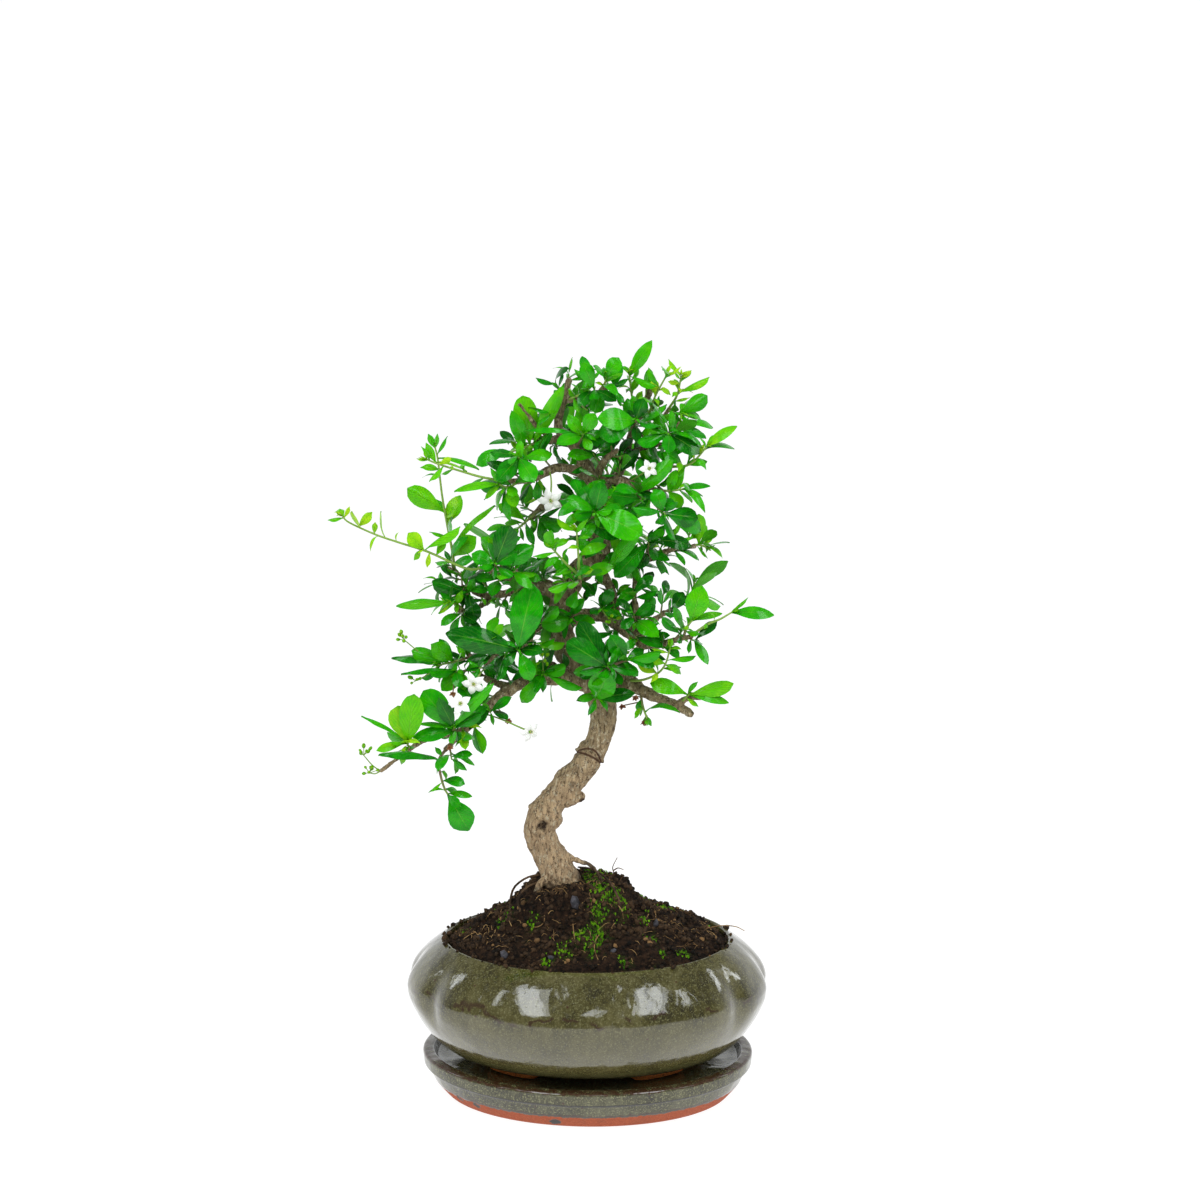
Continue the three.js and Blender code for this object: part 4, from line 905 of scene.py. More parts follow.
@dataclass
class Saucer:
    """The shallow dish: flat rim, a step down to its floor, a band with a groove, and a bare foot."""

    half_length: float = 92.0
    height: float = 24.5
    floor: float = 18.0
    rim: float = 6.5
    band: float = 7.5
    foot: float = 79.0
    ware: Ovalware = field(default_factory=lambda: Ovalware(narrower=22.0, turn=-3.5))

    def outline(self) -> list[Row]:
        """Return the outline from the underside's centre to the floor's centre.

        Returns:
            Rows of half length and height.
        """
        a, top = self.half_length, self.height
        groove = top - self.band
        corners = (
            (0, 0), (self.foot, 0), (self.foot + 2.2, 2.5), (a - 6, top * 0.34), (a - 3, groove - 1.2),
            (a - 1.4, groove - 0.6), (a - 0.5, groove + 0.1), (a, top - 1.4), (a - 1, top - 0.3),
            (a - self.rim + 0.8, top), (a - self.rim, top - 0.8), (a - self.rim - 1.6, self.floor + 1.2),
            (a - self.rim - 5, self.floor), (0, self.floor),
        )
        return spread(eased(corners, 1.1), 4.0)

    def build(self) -> None:
        """Make the saucer."""
        drips = ((-70.5, -33.5, 6.6, 2.2), (-60.0, -41.0, 6.4, 2.6), (-17.5, -58.5, 3.4, 3.0))
        glaze = Glaze(
            "saucer_glaze", bare_below=self.height * 0.32, line=5.0, deep=paint(38, 34, 18),
            olive=paint(70, 68, 42), ash_and_reflection=paint(110, 108, 80), edges=(self.height - 0.6, self.height * 0.36),
            coat=0.5, speckle=0.75, groove=self.height - self.band - 0.6, drips=drips,
        )
        piece = self.ware.lathe(self.outline()).build("saucer_finished")
        sharpen(piece, 50)
        finished(piece, glaze.material())
        settle(piece, ["saucer"])


@dataclass
class Pot:
    """The oval bowl: a rolled-in shoulder, thumb dents at both ends, four feet and two drain holes."""

    half_length: float = 100.0
    belly: float = 63.0
    rim: float = 89.0
    mouth: float = 77.0
    wall: float = 7.0
    seat: float = 18.3
    foot: float = 63.0
    foot_height: float = 5.0
    shoulder: float = 1.9
    dents: tuple[float, ...] = (0, 32, -32, 180, 148, -148)
    dent_depth: float = 3.0
    drain: float = 6.5
    drains_apart: float = 56.0
    foot_steps: int = 18
    ware: Ovalware = field(default_factory=lambda: Ovalware(narrower=20.5, turn=-2.0))

    def outside(self) -> list[Row]:
        """Return the outline from the underside's centre to the lip.

        Returns:
            Rows of half length and height.
        """
        a, under = self.half_length, self.seat + self.foot_height
        wall = (
            (self.foot + 1, under), (a * 0.765, under + 4), (a * 0.845, under + 9.5),
            (a * 0.9, under + 16), (a * 0.955, under + 25), (a * 0.992, under + 34), (a, self.belly + 1),
        )
        curve = Curve(wall)
        out = [(0.0, under), *(tuple(point) for point in curve.run(36))]
        for i in range(2, 25):
            share = i / 24
            inward = (a - self.mouth - 2) * share**self.shoulder
            out.append((a - inward, self.belly + (self.rim - self.belly) * share))
        return out

    def inside(self, gap: float = 0.0) -> list[Row]:
        """Return the outline from the lip to the inner floor's centre, drawn in by a gap.

        Args:
            gap: how far, in millimetres.

        Returns:
            Rows of half length and height.
        """
        a, floor = self.half_length, self.seat + self.foot_height + self.wall * 0.7
        return [
            (self.mouth - gap, self.rim - 3), (self.mouth + 2 - gap, self.rim - 8),
            (a - self.wall - gap, self.belly), (a * 0.9 - self.wall - gap, self.belly - 22 + gap),
            (a * 0.765 - self.wall - gap, floor + 6 + gap), (self.foot - self.wall, floor + gap),
            (0, floor + gap),
        ]

    def dent(self, angle: float, z: float) -> float:
        """Return how far the thumb dents press the wall in, with a slight swelling beside each.

        Args:
            angle: the place round the pot, in radians.
            z: its height.

        Returns:
            How far, in millimetres.
        """
        height = math.exp(-(((z - self.belly - 3) / 12.5) ** 2))
        total = 0.0
        for place in self.dents:
            away = math.degrees(math.remainder(angle - math.radians(place), 2 * math.pi))
            total += math.exp(-((away / 4.6) ** 2)) - 0.16 * math.exp(-(((abs(away) - 11) / 6) ** 2))
        return self.dent_depth * height * total

    def add_foot(self, shape: Shape, side: tuple[int, int]) -> None:
        """Add one foot, a block bent along the oval.

        Args:
            shape: the pot.
            side: 1 or -1 along X and along Y.
        """
        rings = []
        low, high = self.seat, self.seat + self.foot_height + 1
        for i in range(self.foot_steps + 1):
            share = 2 * i / self.foot_steps - 1
            full = max(1 - abs(share) ** 6, 0.0) ** (1 / 3)
            angle = math.radians(46 + share * 19)
            ring = []
            for turn in around(20):
                square = [math.copysign(abs(f(turn)) ** 0.45, f(turn)) for f in (math.cos, math.sin)]
                z = (low + high) / 2 + (high - low) / 2 * square[1] * max(full, 0.25)
                x, y = self.ware.place(self.foot - 5.5 + 5.2 * square[0] * full + 0.25 * (z - low), angle)
                ring.append((*turned(x * side[0], y * side[1], self.ware.turn), z))
            rings.append(shape.ring(ring))
        shape.skin(rings, ends=True)

    def build(self) -> None:
        """Make the pot, with its feet sunk in the underside and its drain holes cut."""
        lip = eased([*self.outside()[-2:], (self.mouth + 0.5, self.rim - 0.5), *self.inside()[:2]], 1.6)
        inside = [tuple(p) for p in Curve(self.inside()[1:]).run(40)]
        shape = self.ware.lathe(spread([*self.outside()[:-2], *lip[:-1], *inside], 5.0), self.dent)
        for side in ((1, 1), (-1, 1), (1, -1), (-1, -1)):
            self.add_foot(shape, side)
        piece = shape.build("pot_finished")
        for side in (-1, 1):
            self.cut_drain(piece, side)
        sharpen(piece, 45)
        # The pot's clay is brighter than the saucer's: painted light, standing in for light bounced onto its
        # shaded feet
        glaze = Glaze("pot_glaze", clay=paint(255, 150, 72), bare_below=self.seat + self.foot_height + 0.4,
                      line=self.belly + 7)
        finished(piece, glaze.material())
        settle(piece, ["pot"])

    def cut_drain(self, piece: bpy.types.Object, side: int) -> None:
        """Cut one drain hole through the pot's floor, on the left at side -1 and on the right at 1.

        Args:
            piece: the pot.
            side: -1 or 1.
        """
        cutter = show(bare_object("drain_cutter", [], []))
        place = (*turned(side * self.drains_apart / 2, 0.0, self.ware.turn), self.seat + self.foot_height)
        with worked(cutter.data) as work:
            bmesh.ops.create_cone(work, cap_ends=True, segments=36, radius1=self.drain * MM,
                                  radius2=self.drain * MM, depth=self.wall * 3 * MM)
            bmesh.ops.translate(work, verts=work.verts, vec=Vector(place) * MM)
        cut = piece.modifiers.new("drain", "BOOLEAN")
        cut.operation = "DIFFERENCE"
        cut.solver = "EXACT"
        cut.use_self = True
        cut.object = cutter
        swap_mesh(piece)
        drop(cutter)


@dataclass
class DrainNets:
    """The plastic nets over the drain holes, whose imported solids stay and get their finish."""

    nodes: tuple[str, str] = ("drain_net_left", "drain_net_right")
    one: Colour = paint(30, 34, 30)
    two: Colour = paint(58, 66, 56)

    def dress(self) -> None:
        """Give both nets their finish."""
        finish = Tinted("drain_net", self.one, self.two, grain=0.8, rough=0.6).material()
        for name in self.nodes:
            finished(frame["nodes"][name], finish)
            log.info("%s: dressed", name)


@dataclass
class Ground:
    """The mound of soil with its crumbs, moss, straw and rootlets."""

    pot: Pot
    edge: float = 87.0
    skirt: float = 20.0
    knob_height: float = 15.5
    knob: tuple[float, float, float, float] = (-7.0, 0.0, 34.0, 26.0)
    trunk: tuple[float, float, float] = (-12.0, -1.0, 9.0)
    gap: float = 0.35
    rings: int = 84
    segments: int = 240
    moss_seen: Rows = (
        (3, 123, 7), (10, 117, 8), (0, 128, 5), (16, 112, 6), (6, 101, 6), (5, 91, 7), (2, 83, 6),
        (-6, 88, 5),
        (29.6, 98.5, 4), (18, 109, 5), (-23, 73.5, 3.5), (53, 78, 3.5), (41, 78.6, 3), (-68, 91.7, 3.5),
        (-30, 97, 3.5), (-45, 100, 4.5), (34.6, 88, 3), (-14, 80, 4), (20, 74, 3.5),
    )
    moss_behind: Rows = (
        (8, 18, 9), (26, 22, 8), (-12, 28, 8), (-40, 22, 7), (44, 14, 6), (-22, 44, 7), (12, 48, 6),
    )
    moss_patches: list[Row] = field(default_factory=list)

    def __post_init__(self) -> None:
        """Find where the patches that the photograph shows lie on the mound."""
        self.moss_patches = list(self.moss_behind)
        for x, z, reach in self.moss_seen:
            self.moss_patches.append((*self.own(self.rest(x, z)), reach))

    def rest(self, x: float, z: float, lift: float = 0.2) -> np.ndarray:
        """Return the place over the mound, by a lift, that is seen at x and z.

        Args:
            x: where it is seen.
            z: where it is seen.
            lift: how far over the mound it lies.

        Returns:
            The place.
        """
        for step in range(600):
            place = seen(x, z, -76 + step * 0.25)
            if place[2] <= self.surface(*self.own(place)) + lift:
                break
        return place

    def own(self, place: Sequence[float]) -> tuple[float, float]:
        """Return a place in the oval's own directions."""
        return turned(place[0], place[1], -self.pot.ware.turn)

    def out(self, x: float, y: float) -> float:
        """Return how far out a place lies, from 0 to 1 at the pot's wall."""
        mouth = self.pot.mouth
        return min(1.0, math.hypot(x / mouth, y / (mouth - self.pot.ware.narrower)))

    def surface(self, x: float, y: float) -> float:
        """Return the height of the mound with its clods."""
        return self.height(x, y) + self.rough(x, y)

    def height(self, x: float, y: float) -> float:
        """Return the height of the mound, in the oval's own directions.

        Args:
            x: the place along the oval.
            y: the place across it.

        Returns:
            The height in millimetres, without clods.
        """
        knob = math.hypot((x - self.knob[0]) / self.knob[2], (y - self.knob[1]) / self.knob[3])
        rise = 1 / (1 + math.exp((knob - 1) * 11))
        angle = math.atan2(y, x)
        ring = math.hypot(x, y * 1.4)
        bumps = 0.9 * math.sin(5 * angle + ring * 0.21) + 0.8 * math.sin(11 * angle - ring * 0.13)
        skirt = self.skirt * (1 - self.out(x, y) ** 2.4)
        return self.edge + skirt + self.knob_height * rise + bumps * min(1.0, ring / 25)

    def rough(self, x: float, y: float) -> float:
        """Return how far clods and crumbs lift the mound, nothing at the pot's wall."""
        clods = 1.5 * wrinkle((x, y, 3.0), 9.0, 2) + 0.9 * wrinkle((x, y, 9.0), 2.6, 2)
        return clods * min(1.0, (1 - self.out(x, y)) * 7 + 0.12)

    def mossy(self, x: float, y: float) -> float:
        """Return how much moss grows at a place, from 0 to 1."""
        patches = self.moss_patches
        best = max(math.exp(-((x - px) ** 2 + (y - py) ** 2) / reach**2) for px, py, reach in patches)
        return min(1.0, max(0.0, best * 1.5 + 0.6 * wrinkle((x, y, 5.0), 5.0) - 0.25))

    def ring(self, half: float, z: float | None) -> list[Row]:
        """Make one ring of the soil's body.

        Args:
            half: the half length of its oval.
            z: its height where it lies on the pot's wall, None where it lies on the mound.

        Returns:
            Its corners.
        """
        if half < NEAR:
            x = self.knob[0] if z is None else 0.0
            return [(x, 0.0, self.surface(x, 0) if z is None else z)]
        ring = []
        for angle in around(self.segments):
            x, y = self.pot.ware.place(half, angle)
            if z is None:
                x += self.knob[0] * min(1.0, (1 - half / (self.pot.mouth - self.gap)) * 1.6)
                ring.append((*turned(x, y, self.pot.ware.turn), self.surface(x, y)))
            else:
                pressed = 1 - max(0.0, self.pot.dent(angle, z) * 0.9) / math.hypot(x, y)
                ring.append((*turned(x * pressed, y * pressed, self.pot.ware.turn), z))
        return ring

    def mound(self) -> None:
        """Make the closed body of soil."""
        shape = Shape()
        mouth = self.pot.mouth - self.gap
        shares = [0.992 - 0.992 * (i / self.rings) ** 0.9 for i in range(self.rings)]
        wall = reversed(self.pot.inside(self.gap))
        levels = (*wall, *((mouth * share, None) for share in shares), (0.0, None))
        shape.skin([shape.ring(self.ring(half, z)) for half, z in levels])
        piece = shape.build("soil_finished")
        moss = piece.data.attributes.new("moss", "FLOAT", "POINT")
        grown = [self.mossy(x, y) if z > self.edge - 1 else 0.0 for x, y, z in shape.points]
        moss.data.foreach_set("value", grown)
        finished(piece, Earth().material())
        settle(piece, ["soil"])

    def surface_rows(self, count: int, seed: int,
                     wanted: Callable[[float, float, float], float]) -> list[Row]:
        """Scatter places over the mound.

        Args:
            count: how many places are tried.
            seed: which row of draws.
            wanted: the chance from 0 to 1 that a try stays, from its place and its share of the way out.

        Returns:
            Rows of [x, y, height, draw].
        """
        draw = draws(seed)
        rows = []
        for _ in range(count):
            share, angle, keep, extra = math.sqrt(draw()) * 0.975, draw() * 2 * math.pi, draw(), draw()
            x, y = self.pot.ware.place((self.pot.mouth - self.gap) * share, angle)
            from_trunk = math.hypot(x - self.trunk[0], y - self.trunk[1])
            if keep < wanted(x, y, share) and from_trunk >= self.trunk[2]:
                rows.append((*turned(x, y, self.pot.ware.turn), self.surface(x, y), extra))
        return rows


@dataclass(frozen=True)
class Spray:
    """A leafy spray of the model: how its stem runs, and the leaves laid out and ruled on it.

    Stem points are [x seen, z seen, y]. A laid-out leaf is [place along the stem, tip x seen, tip z seen,
    tip depth from its root, width, how far it faces the front]. A rule is how many leaves, and how long.
    """

    name: str
    tone: float
    stem: Rows
    rule: tuple[int, float]
    leaves: Rows = ()
    side: Rows = ()
    side_leaves: Rows = ()

    def stems(self) -> list[Rows]:
        """Return its stem, and its side shoot if it has one."""
        return [rows for rows in (self.stem, self.side) if rows]


@dataclass(frozen=True)
class Bloom:
    """A flower of the model: its stalk's points, the last one its heart, and its width."""

    name: str
    stalk: Rows
    width: float


# Points of the wood: [x seen, z seen, y, radius]
TRUNK: Rows = (
    (-12, 98, -1, 8), (-13.5, 112, -1, 11.5), (-14.5, 120, -1, 10.8), (-17, 127, -1, 9.8),
    (-20, 134, -1, 9.2), (-24, 142, -1, 8.7), (-26.2, 150, -1, 8.6), (-24.5, 158, -1, 8.8),
    (-20, 166, -1, 8), (-11.5, 176, -1, 7.8), (-3, 186, -2, 7.4), (1.3, 193.5, -2, 8), (4.5, 198.5, -2, 7),
    (8, 209, -2, 6.8), (8.5, 220, -2, 7.2), (6, 231, -2, 8), (-3, 243, -2, 7.8), (-12, 254, -1, 7.2),
    (-14, 266, 0, 6.8), (-13, 280, 1, 6.6), (-6, 293, 2, 6.2), (3, 304, 3, 6), (6, 317, 3, 5.2),
    (5, 331, 2, 4.8), (3, 345, 1, 4.2), (-2, 356, 0, 3.4), (-8, 366, 0, 2.8), (-15, 373, 0, 2.2),
    (-14, 383, 0, 2), (-11, 392, -1, 1.9), (-9.5, 400, -2, 1.7),
)

BRANCHES: dict[str, Rows] = {
    "root_right": (
        (-12, 136, -2, 3), (-5, 132.6, -3, 1.9), (1, 130.4, -3, 1.7), (6, 125, -3, 1.7), (9, 115, -3, 1.6),
    ),
    "root_left": ((-20, 124, -5, 4), (-26, 119, -9, 2.6), (-31, 108, -12, 1.8)),
    "stub_low": ((-12, 167, -3, 4.4), (-6, 168.5, -5, 3), (-2.6, 169.8, -6, 2.3)),
    "fork_right": (
        (8, 232, -3, 5.2), (16, 236, -5, 5.6), (23, 234, -7, 4.6), (30, 229.5, -11, 3.2),
        (40, 225, -15, 2.7), (49, 221, -19, 2.5), (57, 216, -22, 1.8),
    ),
    "low_left": (
        (4, 233, -3, 6), (-8, 236.5, -6, 4.6), (-21, 237, -10, 4.2), (-33, 235, -15, 3.9),
        (-42, 230.5, -20, 3.5), (-52, 221.5, -26, 2.7), (-60, 213.5, -30, 2), (-70, 203.5, -35, 1.7),
        (-77.5, 196, -38, 1.3),
    ),
    "low_left_far": (
        (-64, 209, -33, 1.5), (-76, 205, -36, 1.5), (-86, 202.3, -38, 1.5), (-95, 198, -40, 1.4),
        (-104, 191, -41, 1.3), (-113, 184, -42, 1.2),
    ),
    "low_left_up": (
        (-40, 231, -19, 2.4), (-50, 234, -16, 2), (-57, 238, -12, 1.5), (-62, 243, -9, 1.3),
        (-63.5, 250, -7, 1.2),
    ),
    "drop": ((-14, 270, 0, 3.4), (-24, 267.5, -9, 2.4), (-31, 259, -18, 1.8), (-36, 251, -26, 1.5)),
    "drop_left": (
        (-34, 254, -23, 1.4), (-44, 253, -28, 1.3), (-50, 249.5, -31, 1.2), (-56, 241.5, -33, 1.1),
    ),
    "right": (
        (-12, 268, 0, 4.4), (2, 272, -2, 3.8), (10, 270.5, -4, 3.4), (17, 265.5, -7, 3.2),
        (24, 261, -10, 3.3), (30, 256.5, -13, 3.9), (37, 255.5, -17, 2.1), (44, 256.5, -21, 1.8),
        (50, 258.5, -25, 1.7), (57, 260, -28, 1.4),
    ),
    "right_riser": ((15, 267, -6, 2.6), (15, 277, -3, 2.5), (12, 288, 0, 2.6), (6, 299, 2, 3)),
    "right_link": (
        (29.5, 257, -13, 2.4), (28, 268, -9, 1.7), (25.6, 281, -3, 1.5), (26, 291, 2, 1.6),
        (27, 301, 5, 1.8),
    ),
    "level_right": (
        (5, 304, 2, 3.6), (15, 302, 3, 2.4), (26, 301, 5, 2), (35, 303, 8, 1.9), (41, 306, 10, 1.7),
        (48, 308.5, 13, 1.5), (58, 310, 15, 1.4),
    ),
    "mid_left": (
        (-13, 283, 1, 4.4), (-22, 286, -1, 3.4), (-33, 286.5, 1, 3), (-43, 284, 4, 2.3),
        (-52, 282.5, 7, 1.8), (-61, 285, 10, 1.5), (-67, 293, 12, 1.3), (-76, 298.5, 13, 1.1),
    ),
    "mid_left_stub": ((-58, 284, 9, 1.4), (-67, 287, 8, 1.3), (-78.5, 288.5, 6, 1.3)),
    "mid_left_upper": (
        (-26, 286.5, -1, 2.6), (-38, 291, -10, 2.4), (-47, 294.5, -16, 2.2), (-56, 298.5, -20, 1.7),
    ),
    "mid_left_low": ((-50, 283, 6, 1.6), (-57, 277, 2, 1.5), (-62, 275, -2, 1.3), (-70, 273.5, -6, 1.2)),
    "inner_left": (
        (5, 323, 3, 3.8), (-7, 331, 8, 2.6), (-17, 334, 13, 2.4), (-24, 330.5, 17, 2.3),
        (-30, 325, 20, 1.9),
    ),
    "high_left": (
        (1, 348, 0, 3.2), (-9, 352, -4, 2.7), (-18, 352, -8, 2.4), (-27, 347.5, -12, 2.3),
        (-36, 345.5, -15, 1.7), (-45, 345, -18, 1.3),
    ),
    "top_left_stub": ((-12, 370, 0, 2.4), (-20, 367.5, 5, 2), (-28, 369, 9, 1.8), (-37.5, 371.5, 12, 1.4)),
    "top_twig": ((-11.5, 388, 0, 1.6), (-1, 391.5, -6, 1.1), (14, 397, -12, 0.9)),
    "high_right": (
        (4, 341, 1, 3.8), (12, 346, -4, 3), (20, 345, -9, 2.8), (28, 342, -13, 2.3), (33, 341, -16, 1.9),
    ),
    "high_stub": ((4.5, 345, 0, 2.4), (7, 352, -6, 2.1), (11, 358, -10, 1.9), (16, 362, -13, 1.7)),
    "top_right": (
        (15, 345.5, -6, 2.4), (20, 356, 0, 2.1), (23, 369, 4, 1.9), (27.5, 381, 7, 1.8), (34, 395, 9, 1.8),
    ),
    "top_right_stub": ((21, 360, 1, 1.6), (31, 363.5, -5, 1.3), (42, 366, -9, 1.2)),
    "top_right_far": ((23, 370, 4, 1.7), (32, 371.5, 9, 1.5), (38, 377, 13, 1.4), (44, 384.5, 16, 1.3)),
    "shoulder_right": (
        (28, 342, -13, 1.8), (37, 345, -14, 1.5), (44, 353, -12, 1.3), (47, 363, -8, 1.2),
        (49, 377, -4, 1.2),
    ),
    "front_high": ((5, 334, 2, 3.2), (4, 333, -14, 2), (3.5, 331, -34, 1.4)),
    "front_mid": ((-11, 285, 1, 3.4), (-8, 288, -14, 2), (-4, 290, -30, 1.4)),
    "front_low": ((6, 236, -2, 4), (9, 240, -14, 2.1), (11, 241.5, -28, 1.4)),
    "front_left": ((-24, 286.5, -1, 2.6), (-38, 291, -20, 1.7), (-48, 298, -36, 1.3)),
    "back_high": ((5, 334, 3, 3.4), (10, 338, 16, 2.2), (12, 341, 28, 1.5)),
    "back_left": ((-12, 284, 2, 3.8), (-24, 290, 16, 2.4), (-35, 295, 30, 1.5)),
    "back_mid": ((5, 308, 4, 3.6), (12, 311, 17, 2.3), (17, 315, 30, 1.5)),
    "back_low": ((-11, 256, 1, 3.6), (-17, 259, 16, 2.2), (-25, 262, 30, 1.5)),
    "back_right": ((22, 262.5, -8, 2.6), (34, 268, 6, 1.9), (45, 275, 20, 1.3)),
    "back_top": ((-1, 354, 1, 2.8), (-3, 361, 14, 1.8), (-5, 367, 24, 1.4)),
}

TWIGS: dict[str, Rows] = {
    "knot_low": ((-20, 156, -3, 6), (-15.5, 156.5, -4, 3.4)),
    "fork_knob": ((15, 236, -5, 4), (17.5, 242.5, -7, 3)),
    "fork_bud": ((48, 221.5, -19, 2), (55, 225.5, -22, 1.7), (62, 225.5, -24, 1.3)),
    "top_left_twig": ((-20, 368, 5, 1.4), (-27, 375.5, 1, 1.1), (-36, 387, -3, 1)),
}
BARE_BRANCHES = ("root_right", "root_left", "stub_low", "low_left_far", "fork_right", "top_right_stub")

